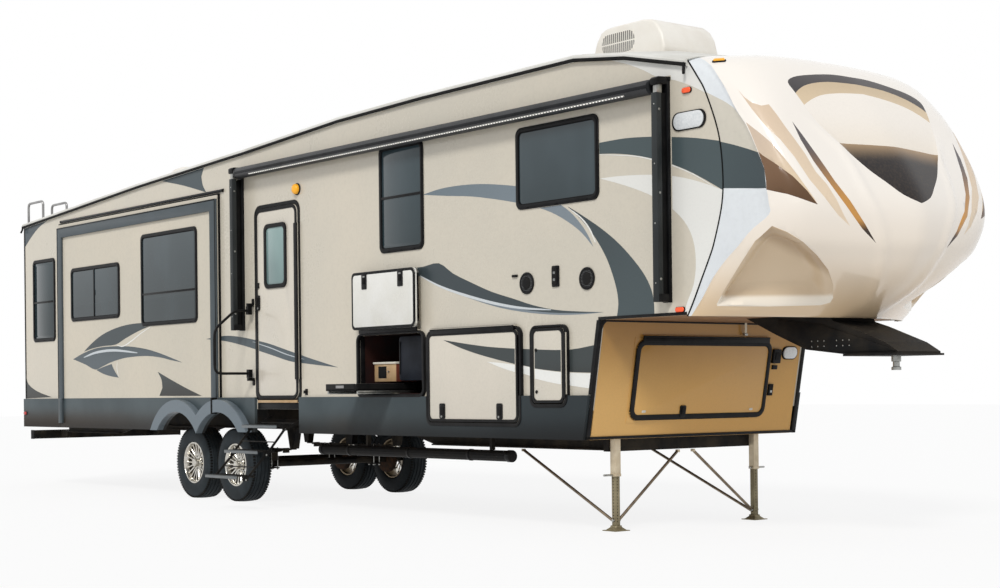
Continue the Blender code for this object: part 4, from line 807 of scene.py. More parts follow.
# Front cap: its joint on the side wall, its middle line, and its plan at that height
CAP_ROWS = (
    # joint X, joint Z, middle X, middle Z, squareness, roundness of the turn, slope of the front
    (7.270, 1.680, 7.930, 1.660, 1.6, 0.75, 0.16),
    (7.340, 1.800, 8.125, 1.797, 2.0, 0.68, 0.21),
    (7.420, 1.950, 8.290, 1.935, 3.2, 0.61, 0.25),
    (7.490, 2.080, 8.390, 2.080, 5.4, 0.54, 0.28),
    (7.550, 2.210, 8.455, 2.225, 10.0, 0.47, 0.29),
    (7.630, 2.480, 8.460, 2.460, 18.0, 0.42, 0.28),
    (7.640, 2.720, 8.330, 2.740, 22.0, 0.40, 0.25),
    (7.600, 3.000, 8.130, 3.035, 18.0, 0.42, 0.20),
    (7.480, 3.300, 7.930, 3.340, 9.0, 0.49, 0.14),
    (7.390, 3.440, 7.680, 3.600, 4.3, 0.56, 0.08),
    (7.300, 3.562, 7.300, 3.672, 2.2, 0.64, 0.02),
)
CAP_CROWD = 2.2  # how much closer the places across lie towards the joint
CAP_PROW = 0.05  # roundness of the middle line
CAP_ASPECT = 9.0  # rows that are as long as half the width

# Lines on the cap, as places across (0 in the middle, 1 at the joint) and up (rows)
SCOOP = (
    (0.740, 4.30), (0.780, 3.84), (0.742, 2.56), (0.712, 1.45), (0.688, 0.73), (0.673, 0.63), (0.400, 0.60),
    (0.207, 0.66), (0.183, 0.78), (0.190, 0.98), (0.240, 1.60), (0.316, 2.34), (0.406, 3.00), (0.525, 3.69),
    (0.641, 4.09),
)
RIB = (
    (0.420, 7.40), (0.349, 7.10), (0.262, 6.50), (0.236, 5.90), (0.212, 5.16), (0.165, 4.40), (0.136, 3.55),
    (0.110, 2.50), (0.085, 1.50), (0.060, 0.90), (0.035, 0.25),
)
CREASE_HIGH = (
    (0.657, 10.0), (0.789, 8.71), (0.828, 7.97), (0.849, 7.44), (0.839, 6.99), (0.833, 6.28), (0.822, 5.82),
    (0.821, 5.31),
)
CREASE_LOW = ((0.821, 5.31), (0.800, 4.90), (0.781, 4.61), (0.839, 4.12), (0.852, 3.16), (0.859, 2.05),
              (0.852, 0.95), (0.884, 0.0))
BEIGE_EDGE = ((1.0, 8.02), (0.949, 7.84), (0.889, 7.61), (0.856, 7.39), (0.839, 6.99))
BAND = (
    (0.833, 6.28), (0.887, 6.43), (0.945, 6.59), (1.0, 6.74), (1.0, 5.44), (0.921, 5.37), (0.821, 5.31),
    (0.822, 5.82),
)
LEAF_PALE = (
    (0.833, 7.07), (0.782, 6.76), (0.729, 6.46), (0.665, 5.97), (0.581, 5.40), (0.495, 4.85), (0.565, 5.22),
    (0.652, 5.59), (0.747, 5.92), (0.814, 6.19), (0.831, 6.30),
)
LEAF_BROWN = (
    (0.831, 6.30), (0.814, 6.19), (0.747, 5.92), (0.652, 5.59), (0.565, 5.22), (0.495, 4.85), (0.587, 4.96),
    (0.705, 5.12), (0.820, 5.27), (0.822, 5.82),
)
LEAF_TAN = (
    (0.755, 7.88), (0.750, 7.66), (0.724, 7.50), (0.669, 7.41), (0.607, 7.44), (0.583, 7.19), (0.562, 6.92),
    (0.530, 6.59), (0.495, 6.21), (0.463, 5.74), (0.415, 5.43), (0.376, 5.03), (0.336, 4.60), (0.298, 4.28),
    (0.365, 4.58), (0.450, 5.08), (0.527, 5.52), (0.592, 6.10), (0.655, 6.56), (0.718, 6.90), (0.751, 7.35),
)
SPEAR = (
    (0.481, 7.04), (0.448, 6.67), (0.409, 6.15), (0.361, 5.54), (0.301, 5.00), (0.230, 4.37), (0.170, 3.69),
    (0.241, 4.23), (0.326, 4.87), (0.394, 5.45), (0.452, 6.02), (0.481, 6.58),
)
SHIELD = (
    (0.0, 8.52), (0.084, 8.52), (0.205, 8.41), (0.308, 8.28), (0.366, 8.10), (0.360, 7.82), (0.341, 7.50),
    (0.315, 7.10), (0.270, 6.70), (0.218, 6.30), (0.165, 5.90), (0.110, 5.57), (0.060, 5.26), (0.0, 5.06),
)
SHIELD_STRIPE = ((0.0, 8.30), (0.130, 8.26), (0.250, 8.10), (0.340, 7.86), (0.400, 7.62))
SHIELD_TAN = ((0.0, 8.02), (0.106, 7.95), (0.216, 7.81), (0.330, 7.53), (0.390, 7.32))
SHIELD_LOW = ((0.0, 6.60), (0.130, 6.58), (0.262, 6.55))
MARKER_PLACE = (0.659, 9.12)


def cubic(a, b, c, d, f):
    """A place on the smooth curve from b to c, at a share f, with a before them and d after."""
    return 0.5 * (2 * b + (c - a) * f + (2 * a - 5 * b + 4 * c - d) * f**2 + (3 * b - a - 3 * c + d) * f**3)


def cap_at(u, v):
    """A point of the cap's face: u from -1 to 1 across, crowded towards the joint, and v up its rows."""
    last = len(CAP_ROWS) - 1
    v = min(max(v, 0.0), float(last))
    i = min(int(v), last - 1)
    f = v - i
    rows = [CAP_ROWS[min(max(i + k, 0), last)] for k in (-1, 0, 1, 2)]
    joint_x, joint_z, nose_x, nose_z, square, turn, slope = [cubic(*four, f) for four in zip(*rows)]
    t = math.copysign(1.0 - (1.0 - min(1.0, abs(u))) ** CAP_CROWD, u)
    lean = math.hypot(t, CAP_PROW) - CAP_PROW
    bulge = max(0.0, 1.0 - abs(t) ** square) ** turn * (1.0 - slope * lean)
    return Vector((joint_x + (nose_x - joint_x) * bulge, WALL_Y * t, joint_z + (nose_z - joint_z) * bulge))


def cap_normal(u, v):
    """Direction that the cap's face has at a place."""
    last = len(CAP_ROWS) - 1
    if abs(u) > 0.9999:
        return Vector((0.0, math.copysign(1.0, u), 0.0))
    across = cap_at(min(u + 0.01, 1.0), v) - cap_at(max(u - 0.01, -1.0), v)
    up = cap_at(u, min(v + 0.05, last)) - cap_at(u, max(v - 0.05, 0.0))
    normal = across.cross(up)
    if v > last - 0.001:
        return Vector((0.0, 0.0, 1.0))
    if v < 0.001:
        normal.z = 0.0
    return normal.normalized()


def smooth_line(points, steps=4):
    """A curve through points, by cubic steps between them."""
    curve = []
    last = len(points) - 1
    for i in range(last):
        a, b, c, d = (np.array(points[min(max(i + k, 0), last)], float) for k in (-1, 0, 1, 2))
        curve += [tuple(cubic(a, b, c, d, k / steps)) for k in range(steps)]
    return curve + [tuple(points[-1])]


def cap_space(points):
    """Lines on the cap in the even plane where distances run alike across and up."""
    return np.array([(u * CAP_ASPECT, v) for u, v in points])


def line_gap(points, line):
    """Distance of many points to a line."""
    points = np.asarray(points)
    best = np.full(len(points), 1e9)
    for a, b in zip(line, line[1:]):
        run = b - a
        share = np.clip(((points - a) @ run) / max(run @ run, 1e-12), 0, 1)
        gap = np.linalg.norm(points - (a + share[:, None] * run), axis=1)
        best = np.minimum(best, gap)
    return best


def within(points, outline):
    """Which of many points lie inside an outline."""
    x, y = np.asarray(points).T
    found = np.zeros(len(x), bool)
    outline = np.asarray(outline)
    for (x0, y0), (x1, y1) in zip(outline, np.roll(outline, -1, axis=0)):
        crosses = (y0 > y) != (y1 > y)
        with np.errstate(divide="ignore", invalid="ignore"):
            edge = x0 + (x1 - x0) * (y - y0) / (y1 - y0)
        found ^= crosses & (x < edge)
    return found


def crease_line():
    """The crease beside a scoop, from the top to the foot."""
    return smooth_line(CREASE_HIGH) + smooth_line(CREASE_LOW)[1:]


def mirrored(line, side):
    """A line on the cap, on one side of its middle."""
    return cap_space([(side * u, v) for u, v in line])


def cap_relief(points, sizes):
    """How far the cap stands out at many places of its even plane: scoops, ribs, side panels and the bead."""
    points = np.asarray(points).copy()
    points[:, 0] = abs(points[:, 0])
    scoop = cap_space(SCOOP)
    ring = np.vstack([scoop, scoop[:1]])
    reach = line_gap(points, ring) / 0.55
    deep = np.where(within(points, scoop), np.clip(reach, 0, 1), 0)
    out = -sizes.scoop_depth * deep * deep * (3 - 2 * deep)
    rib = line_gap(points, cap_space(smooth_line(RIB)))
    last = len(CAP_ROWS) - 1
    low, high = RIB[-1][1], RIB[0][1]
    fade = np.clip((points[:, 1] - low) / 0.8, 0, 1) * np.clip((high - points[:, 1]) / 0.9, 0, 1)
    out += sizes.rib_height * np.clip(1 - rib / 0.30, 0, 1) ** 1.3 * fade
    crease = cap_space(crease_line())
    gap = line_gap(points, crease)
    outer = within(points, np.vstack([crease, [(12.0, -1.0), (12.0, 11.0)]]))
    edge = np.clip((points[:, 1] - 0.15) / 0.6, 0, 1) * np.clip((9.85 - points[:, 1]) / 0.6, 0, 1)
    joint = np.clip((CAP_ASPECT - points[:, 0]) / 0.7, 0, 1)
    out -= 0.010 * np.where(outer, np.clip(gap / 0.12, 0, 1), 0) * edge * joint
    out += sizes.bead_height * np.clip(1 - (gap / 0.10) ** 2, 0, 1) * edge
    out *= np.clip(points[:, 1] / 0.3, 0, 1) * np.clip((last - points[:, 1]) / 0.3, 0, 1)
    return out


def cap_regions():
    """Outlines on the cap's even plane with their finishes: the first that holds a place wins."""
    shield = smooth_line(SHIELD, 3)
    low, tan, stripe = (
        [(0.0, 4.9), (0.6, 4.9), (0.6, line[-1][1])] + smooth_line(line)[::-1]
        for line in (SHIELD_LOW, SHIELD_TAN, SHIELD_STRIPE)
    )
    panel = crease_line() + [(1.01, -0.1), (1.01, 10.1)]
    beige = [(1.01, 6.60), (1.01, BEIGE_EDGE[0][1]), *smooth_line(BEIGE_EDGE), *BAND[:4]]
    rows = []
    for side in (-1, 1):
        for line, look in (
            (BAND, "band vinyl"),
            (beige, "cap side panel"),
            (LEAF_BROWN, "leaf brown"),
            (LEAF_PALE, "leaf pale tan"),
            (LEAF_TAN, "leaf tan"),
            (SPEAR, "spear bronze"),
            (SCOOP, "cap scoop"),
            # the side panels' cooler white is partly a painted reflection of the sky
            (panel, "cap cool white"),
        ):
            rows.append((mirrored(line, side), look))
    whole = shield + [(-u, v) for u, v in shield[-2:0:-1]]
    rows.append((cap_space(whole), None))
    inner = []
    for line, look in ((low, "shield low"), (tan, "shield cream"), (stripe, "shield tan")):
        inner.append((cap_space([(u, v) for u, v in line] + [(-u, v) for u, v in line[::-1]]), look))
    return rows, inner


def cap_net(rows):
    """Triangles of the cap's even plane, whose edges follow its border and all lines on it."""
    places, edges = [], []

    def run(line, closed):
        first, count = len(places), len(line)
        places.extend(Vector(p) for p in line)
        edges.extend((first + k, first + (k + 1) % count) for k in range(count if closed else count - 1))

    last = len(CAP_ROWS) - 1
    across = np.linspace(-CAP_ASPECT, CAP_ASPECT, 121)
    up = np.linspace(0, last, 61)
    border = [(x, 0.0) for x in across] + [(CAP_ASPECT, v) for v in up[1:]]
    border += [(x, float(last)) for x in across[::-1][1:]] + [(-CAP_ASPECT, v) for v in up[::-1][1:-1]]
    run(border, True)
    for outline, look in rows:
        if look not in ("cap scoop", "cap cool white"):
            run([(max(-CAP_ASPECT, min(CAP_ASPECT, x)), y) for x, y in outline], True)
    for line in (SHIELD_STRIPE, SHIELD_TAN, SHIELD_LOW):
        half = smooth_line(line)
        run(cap_space([(-u, v) for u, v in half[::-1]] + half[1:]), False)
    for side in (-1, 1):
        run(mirrored(crease_line(), side), False)
        run(mirrored(smooth_line(BEIGE_EDGE), side), False)
        run(mirrored(SCOOP, side), True)
    places.extend(Vector((x, v)) for v in up[1:-1] for x in across[1:-1])
    flat, _, tris, _, _, _ = delaunay_2d_cdt(places, edges, [], 0, 1e-4)
    faces = [
        (a, c, b) if (flat[b] - flat[a]).cross(flat[c] - flat[a]) < 0 else (a, b, c) for a, b, c in tris
    ]
    return flat, faces


def cap_looks(middles, rows, inner):
    """The finish of each face, from the place of its middle."""
    look = np.array(["cap gel coat"] * len(middles), dtype=object)
    for outline, name in rows[::-1]:
        found = within(middles, outline)
        look[found] = name or "shield dark"
        if name is None:
            for area, tint in inner[::-1]:
                look[found & within(middles, area)] = tint
    return look


def build_front_cap(sizes):
    """One moulded shell with its scoops, ribs, creases and printed graphics."""
    rows, inner = cap_regions()
    flat, faces = cap_net(rows)
    plane = np.array([tuple(p) for p in flat])
    count = len(flat)
    outer, inside_face = [], []
    for (x, v), rise in zip(flat, cap_relief(plane, sizes)):
        u = min(max(x / CAP_ASPECT, -1.0), 1.0)
        point, normal = cap_at(u, v), cap_normal(u, v)
        outer.append(point + normal * float(rise))
        inside_face.append(point + normal * (float(rise) - sizes.thickness))
    look = cap_looks(plane[np.array(faces)].mean(axis=1), rows, inner)
    names = sorted(set(look)) + ["cap laminate"]
    mesh = bpy.data.meshes.new("front_cap_shell")
    back = [(c + count, b + count, a + count) for a, b, c in faces]
    sides = [(b, a, a + count, b + count) for a, b in rim_of(faces)]
    mesh.from_pydata([tuple(p + ORIGIN) for p in outer + inside_face], [], faces + back + sides)
    index = [names.index(name) for name in look] + [len(names) - 1] * (len(back) + len(sides))
    mesh.polygons.foreach_set("material_index", index)
    for name in names:
        mesh.materials.append(finish(name))
    obj = placed("front_cap_shell", mesh)
    soften(obj, 50)
    seat(obj, "trailer", "cap_white", ["front_cap"])


def build_cap_fittings():
    """The seal along the cap's joint and the marker lamps on its brow."""
    seal = Piece("cap_joint_seal", "trailer", "trim_black")
    path = [cap_at(-1.0, v / 6) for v in range(0, 6 * len(CAP_ROWS) - 5)]
    for side in (-1, 1):
        line = [Vector((p.x - 0.002, side * (WALL_Y + 0.0005), p.z)) for p in path]
        seal.add(tube(line, 0.0058, 8), SEAL)
    seal.make()
    for side in (-1, 1):
        u, v = MARKER_PLACE
        point, normal = cap_at(side * u, v), cap_normal(side * u, v)
        lamp = Piece(f"cap_marker_{SIDE_NAMES[side]}", "trailer")
        turn = normal.to_track_quat("Z", "Y").to_matrix()
        for wide, tall, rise, look in ((0.052, 0.019, 0.010, RUBBER), (0.044, 0.013, 0.020, "amber lens")):
            ring = round_rect(-wide, wide, -tall, tall, tall * 0.9, 5)
            rings = [[turn @ Vector((x * s, z * s, w)) + point for x, z in ring] for s, w in
                     ((1.0, -0.012), (1.0, rise * 0.6), (0.86, rise))]
            lamp.add(loft(rings), look)
        lamp.make(smooth=50)


# ---------------------------------------------------------------- wall graphics

# Printed shapes on the door side: finish, then a closed line of X and Z
GRAPHICS = (
    ("charcoal vinyl", (
        (5.934, 2.612), (6.128, 2.514), (6.365, 2.382), (6.549, 2.257), (6.707, 2.121), (6.817, 2.006),
        (6.887, 1.894), (6.914, 1.785), (6.916, 1.692), (6.498, 1.690), (6.519, 1.803), (6.502, 1.914),
        (6.453, 2.043), (6.385, 2.174), (6.269, 2.326), (6.127, 2.466),
    )),
    ("blue grey vinyl", (
        (3.981, 2.890), (4.254, 2.917), (4.547, 2.918), (4.832, 2.900), (5.107, 2.865), (5.322, 2.828),
        (5.582, 2.752), (5.810, 2.652), (5.958, 2.569), (6.079, 2.470), (6.174, 2.365), (6.239, 2.264),
        (6.102, 2.387), (5.932, 2.490), (5.733, 2.581), (5.503, 2.652), (5.346, 2.688), (5.051, 2.747),
        (4.689, 2.808), (4.342, 2.846),
    )),
    ("slate vinyl", (
        (6.294, 3.071), (6.609, 3.071), (6.890, 3.049), (7.098, 3.022), (7.373, 2.981), (7.700, 2.912),
        (7.700, 2.540), (7.348, 2.723), (7.094, 2.826), (6.888, 2.888), (6.698, 2.933), (6.492, 2.967),
        (6.292, 2.987),
    )),
    ("white vinyl", (
        (6.325, 2.792), (6.558, 2.788), (6.885, 2.763), (7.157, 2.722), (7.389, 2.662), (7.700, 2.553),
        (7.700, 1.600), (7.230, 1.700), (7.270, 1.791), (7.335, 1.915), (7.358, 2.079), (7.330, 2.245),
        (7.237, 2.388), (7.068, 2.517), (6.883, 2.611), (6.603, 2.711),
    )),
    ("white vinyl", (
        (6.300, 3.739), (6.619, 3.645), (6.835, 3.558), (6.971, 3.489), (7.164, 3.435), (7.366, 3.353),
        (7.600, 3.230), (7.600, 3.900), (6.300, 3.900),
    )),
    ("charcoal vinyl", (
        (3.578, 2.238), (3.736, 2.252), (3.969, 2.250), (4.212, 2.267), (4.417, 2.165), (4.675, 2.071),
        (4.954, 1.978), (5.252, 1.903), (5.488, 1.842), (5.770, 1.791), (6.067, 1.765), (6.354, 1.747),
        (6.067, 1.752), (5.719, 1.770), (5.357, 1.812), (5.007, 1.876), (4.616, 1.960), (4.238, 2.060),
        (3.937, 2.172), (3.736, 2.221),
    )),
    ("blue grey vinyl", (
        (3.736, 2.221), (3.937, 2.172), (4.238, 2.060), (4.616, 1.960), (5.007, 1.876), (5.357, 1.812),
        (5.719, 1.770), (6.067, 1.752), (6.354, 1.747), (6.115, 1.741), (5.819, 1.748), (5.461, 1.779),
        (5.089, 1.834), (4.757, 1.910), (4.414, 2.006), (4.119, 2.102), (3.937, 2.165),
    )),
    ("slate vinyl low", (
        (0.105, 1.724), (0.432, 1.748), (0.710, 1.733), (1.018, 1.694), (1.356, 1.642), (1.647, 1.580),
        (1.860, 1.534), (2.034, 1.492), (2.600, 1.380), (2.033, 1.427), (1.752, 1.457), (1.463, 1.514),
        (1.167, 1.573), (0.825, 1.637), (0.471, 1.691),
    )),
    ("slate vinyl", (
        (-4.670, 3.400), (-3.900, 3.400), (-3.959, 3.330), (-4.230, 3.259), (-4.480, 3.143), (-4.670, 3.031),
    )),
    ("umber vinyl", (
        (-4.670, 1.390), (-4.583, 1.286), (-4.310, 1.193), (-3.881, 1.119), (-4.670, 1.104),
    )),
    ("slate vinyl", (
        (-0.980, 3.600), (-0.927, 3.515), (-0.405, 3.411), (0.086, 3.291), (0.013, 3.376), (-0.015, 3.469),
        (0.048, 3.575), (0.080, 3.650),
    )),
    ("charcoal vinyl", (
        (-2.883, 1.661), (-2.686, 1.748), (-2.396, 1.845), (-2.020, 1.916), (-1.611, 1.949), (-1.217, 1.942),
        (-1.131, 1.915), (-1.436, 1.865), (-1.795, 1.785), (-2.025, 1.725), (-2.352, 1.715), (-2.639, 1.695),
    )),
    ("slate vinyl low", (
        (-3.184, 1.577), (-2.884, 1.646), (-2.542, 1.695), (-2.164, 1.706), (-1.707, 1.694), (-1.267, 1.652),
        (-0.926, 1.594), (-0.677, 1.541), (-0.425, 1.485), (-0.677, 1.515), (-0.927, 1.550), (-1.225, 1.573),
        (-1.531, 1.574), (-1.845, 1.560), (-2.168, 1.519), (-2.381, 1.476), (-2.582, 1.442), (-2.838, 1.506),
    )),
    ("slate vinyl low", (
        (-2.549, 1.437), (-2.357, 1.470), (-2.145, 1.500), (-2.078, 1.429), (-1.965, 1.339), (-2.172, 1.358),
        (-2.383, 1.392),
    )),
    ("umber vinyl", (
        (-0.966, 1.123), (-0.893, 1.212), (-0.912, 1.302), (-1.002, 1.393), (-0.723, 1.310), (-0.358, 1.208),
        (-0.004, 1.120),
    )),
    ("umber vinyl", (
        (4.309, 1.590), (4.644, 1.547), (4.967, 1.512), (5.364, 1.486), (5.548, 1.477), (5.937, 1.465),
        (6.320, 1.503), (6.320, 1.274), (5.902, 1.289), (5.546, 1.322), (5.362, 1.350), (4.894, 1.436),
        (4.569, 1.511),
    )),
    ("white vinyl", (
        (4.922, 1.389), (5.174, 1.369), (5.362, 1.346), (5.579, 1.315), (5.902, 1.284), (6.320, 1.268),
        (6.320, 1.140), (5.901, 1.184), (5.577, 1.234), (5.361, 1.282), (5.139, 1.328),
    )),
)

# Narrow lines along the graphics: finish, width, then points of X and Z
STREAKS = (
    ("white vinyl", 0.014, (
        (5.958, 2.590), (6.102, 2.500), (6.200, 2.405), (6.262, 2.300), (6.262, 2.300),
    )),
    ("silver vinyl", 0.024, (
        (3.937, 2.172), (4.238, 2.060), (4.616, 1.960), (5.007, 1.876), (5.357, 1.823), (5.719, 1.793),
    )),
    ("silver vinyl", 0.010, (
        (1.018, 1.671), (1.392, 1.597), (1.681, 1.528), (1.999, 1.470),
    )),
    ("white vinyl", 0.014, (
        (-1.131, 1.908), (-1.393, 1.834), (-1.616, 1.759), (-1.842, 1.700), (-2.002, 1.716),
    )),
    ("silver vinyl", 0.030, (
        (-2.885, 1.592), (-2.544, 1.644), (-2.072, 1.658), (-1.486, 1.615),
    )),
    ("white vinyl", 0.012, (
        (-1.992, 1.526), (-2.008, 1.449), (-1.965, 1.345),
    )),
    ("white vinyl", 0.010, (
        (6.300, 2.982), (6.698, 2.926), (6.888, 2.881), (7.094, 2.819), (7.348, 2.716), (7.560, 2.600),
    )),
)


def ribbon(points, width):
    """The outline of a narrow line that thins out at both ends."""
    line = [Vector(p) for p in smooth_line(points, 5)]
    left, right = [], []
    for i, point in enumerate(line):
        along = line[min(i + 1, len(line) - 1)] - line[max(i - 1, 0)]
        if along.length < 1e-6:
            continue
        side = Vector((-along.y, along.x)).normalized()
        share = i / (len(line) - 1)
        half = 0.5 * width * max(0.06, math.sin(math.pi * share)) ** 0.5
        left.append(tuple(point + side * half))
        right.append(tuple(point - side * half))
    return left + right[::-1]


def wall_panel():
    """Outline of the fixed side wall that graphics may cover, with its openings."""
    edge = [(x, z - 0.046) for x, z in ROOF_EDGE[:-1]] + [(7.30, 3.556)]
    joint = [tuple(cap_at(-1.0, v / 4).xz) for v in range(39, 0, -1)]
    joint = [(x - 0.008, z) for x, z in joint]
    return [(-4.668, 1.104)] + edge + joint + [(7.262, 1.692), (6.30, 1.692), (6.165, 1.104)]


def plates(outline, panel, holes, put, low, high):
    """The part of an outline that lies on a panel and outside its holes, as a thin plate."""
    def open_to_view(middle):
        on_panel = inside(middle, outline) and inside(middle, panel)
        return on_panel and not any(inside(middle, hole) for hole in holes)

    flat, kept = triangles([outline, panel, *holes], open_to_view, 1e-5)
    if not kept:
        return None
    used = sorted({k for tri in kept for k in tri})
    new = {k: i for i, k in enumerate(used)}
    return thick([flat[k] for k in used], [tuple(new[k] for k in tri) for tri in kept], put, low, high, flip=True)


# Openings in the side walls, as X0, X1, Z0, Z1
DOOR_HOLE = (1.115, 1.915, 1.075, 3.015)
GALLEY_HOLE = (2.975, 3.985, 1.120, 1.668)
LARGE_HOLE = (4.075, 5.335, 0.870, 1.660)
SMALL_HOLE = (5.505, 5.915, 1.030, 1.655)
BACK_WINDOW = (-0.55, 0.55, 2.00, 2.80)
# Windows: piece, body, X0, X1, Z0, Z1, face, side, upright bars, level bars
WINDOWS = (
    ("window_right_rear", "trailer", (-4.373, -3.764, 1.843, 2.824), 1.2203, -1, (), (2.313,)),
    ("window_kitchen", "trailer", (3.345, 3.974, 2.437, 3.360), 1.2203, -1, (), (2.911,)),
    ("window_bedroom_right", "trailer", (5.325, 6.290, 2.660, 3.280), 1.2203, -1, (), ()),
    ("window_bedroom_left", "trailer", (5.325, 6.290, 2.660, 3.280), 1.2203, 1, (5.805,), ()),
    ("slide_window_rear", "slide_room_right", (-3.190, -1.935, 2.060, 2.650), SKIRT_Y, -1, (-2.577,), ()),
    ("slide_window_front", "slide_room_right", (-1.345, -0.095, 1.937, 2.918), SKIRT_Y, -1, (), (2.269,)),
    ("slide_window_left", "slide_room_left", (-1.600, 0.100, 1.950, 2.850), SKIRT_Y, 1, (-0.75,), ()),
)
SLIDE_BOX = span("slide_room_right")
LEFT_BOX = span("slide_room_left")
# Distance from the middle to a leaf's outer face, and the hinges' axes
SLIDE_FACE = 1.25
DOOR_FACE = 1.235
LID_FACE = 1.254
LID_BACK = 1.2055
HINGE_Y = 1.262
GALLEY_HINGE_Z = 1.688
DOOR_PIN = (1.925, -1.252)
DOOR_WINDOW = (1.325, 1.690, 2.222, 2.815)
WINDOW_RIM = 0.028
SKIRT_TOP = 1.1025


def out_y(side, face, low, high):
    """A stretch of Y that stands out from a face on one side, low end first."""
    return sorted((side * (face + low), side * (face + high)))


def roof_edge_z(x):
    """Height of the side wall's upper edge."""
    for (x0, z0), (x1, z1) in zip(ROOF_EDGE, ROOF_EDGE[1:]):
        if x <= x1:
            return z0 + (z1 - z0) * (x - x0) / (x1 - x0)
    return ROOF_EDGE[-1][1]


def front_x(z):
    """Outer face of the slanted wall under the raised deck."""
    return 6.122 + (6.299 - 6.122) * (z - 0.745) / (1.690 - 0.745)


def coat(node, look):
    """Gives a CAD node its finish."""
    mesh = frame["nodes"][node].data
    for index in range(max(1, len(mesh.materials))):
        if index < len(mesh.materials):
            mesh.materials[index] = finish(look)
        else:
            mesh.materials.append(finish(look))


CARRIED_OVER = {
    "sidewall_right": "wall gel coat",
    "sidewall_left": "wall gel coat",
    "rear_wall": "rear gel coat",
    "roof": "roof membrane",
    "floor_deck": "sealed board",
    "basement_floor": "sealed board",
    "upper_deck": "sealed board",
    "front_lower_wall": "front fascia tan",
    "skirt_right_middle": "skirt moulding",
    "skirt_right_front": "skirt moulding",
    "skirt_right_rear": "skirt moulding",
    "skirt_left": "skirt moulding",
    "slide_room_right": "slide gel coat",
    "slide_room_left": "slide gel coat",
    "galley_compartment": "galley lining",
    "chassis_frame": CHASSIS,
    "pin_box": CHASSIS,
    "kingpin": ZINC,
    "axle_front": CHASSIS,
    "axle_rear": CHASSIS,
    "hose_tube": RUBBER,
    "rear_bumper": CHASSIS,
    "awning_frame": ANODISED,
}


def build_graphics(sizes):
    """Printed films on the wall, the slide-out, the entry door and the storage doors."""
    film = sizes.film / 1000

    def window_holes(wanted):
        return [
            round_rect(*wider(hole, 0.031), 0.07)
            for _, body, hole, _, side, _, _ in WINDOWS
            if body == wanted and side < 0
        ]

    x0, x1 = SLIDE_BOX[0].x, SLIDE_BOX[1].x
    openings = [
        rect(x0 - 0.004, x1 + 0.004, 1.10, SLIDE_BOX[1].z + 0.004),
        round_rect(1.081, 1.949, 1.041, 3.049, 0.09),
        rect(GALLEY_HOLE[0] - 0.02, GALLEY_HOLE[1] + 0.02, GALLEY_HOLE[2] - 0.02, GALLEY_HOLE[3] + 0.03),
        rect(LARGE_HOLE[0] - 0.02, LARGE_HOLE[1] + 0.02, 0.8, LARGE_HOLE[3] + 0.03),
        rect(SMALL_HOLE[0] - 0.02, SMALL_HOLE[1] + 0.026, SMALL_HOLE[2] - 0.02, SMALL_HOLE[3] + 0.02),
        *window_holes("trailer"), rect(0.788, 0.892, 1.78, 3.48), rect(7.028, 7.122, 1.78, 3.48),
    ]
    surfaces = (
        # name, body, panel, openings, face
        ("wall_graphics", "trailer", wall_panel(), openings, WALL_Y),
        ("slide_graphics", "slide_room_right", rect(x0 + 0.122, x1 - 0.122, 1.10, 3.07),
         window_holes("slide_room_right"), SLIDE_FACE),
        ("entry_door_graphics", "entry_door", round_rect(1.166, 1.864, 1.126, 2.964, 0.03),
         [round_rect(1.264, 1.723, 2.142, 2.880, 0.07)], DOOR_FACE),
        ("large_door_graphics", "cargo_door_large", rect(4.118, 5.292, 0.913, 1.617), [], LID_FACE),
        ("small_door_graphics", "cargo_door_small", rect(5.548, 5.872, 1.073, 1.612), [], LID_FACE),
    )
    for name, body, panel, holes, face in surfaces:
        piece = Piece(name, body, "skirt_dark")
        shapes = [(look, smooth_corner(line)) for look, line in GRAPHICS]
        shapes += [(look, ribbon(line, width)) for look, width, line in STREAKS]
        for level, (look, outline) in enumerate(shapes):
            low = GAP + level * 0.00003
            high = low + film * (2 if len(outline) > 60 else 1)

            def put(u, v, w, face=face):
                return (u, -(face + w), v)

            plate = plates(outline, panel, holes, put, low, high)
            if plate:
                piece.add(plate, look)
        if piece.verts:
            piece.make(smooth=0)


def smooth_corner(line):
    """An outline whose gentle bends are rounded, with its sharp corners kept."""
    count = len(line)
    points = []
    for i in range(count):
        a, b, c, d = (Vector(line[(i + k) % count]) for k in (-1, 0, 1, 2))
        points.append(tuple(b))
        before = (b - a).angle(c - b, 0.0)
        after = (c - b).angle(d - c, 0.0)
        if (c - b).length < 0.08:
            continue
        start = 0.5 * (c - a) if before < 0.6 else (c - b)
        stop = 0.5 * (d - b) if after < 0.6 else (c - b)
        start = start.normalized() * (c - b).length
        stop = stop.normalized() * (c - b).length
        for k in (1, 2):
            t = k / 3
            point = (2 * t**3 - 3 * t**2 + 1) * b + (t**3 - 2 * t**2 + t) * start
            point += (3 * t**2 - 2 * t**3) * c + (t**3 - t**2) * stop
            points.append(tuple(point))
    return points


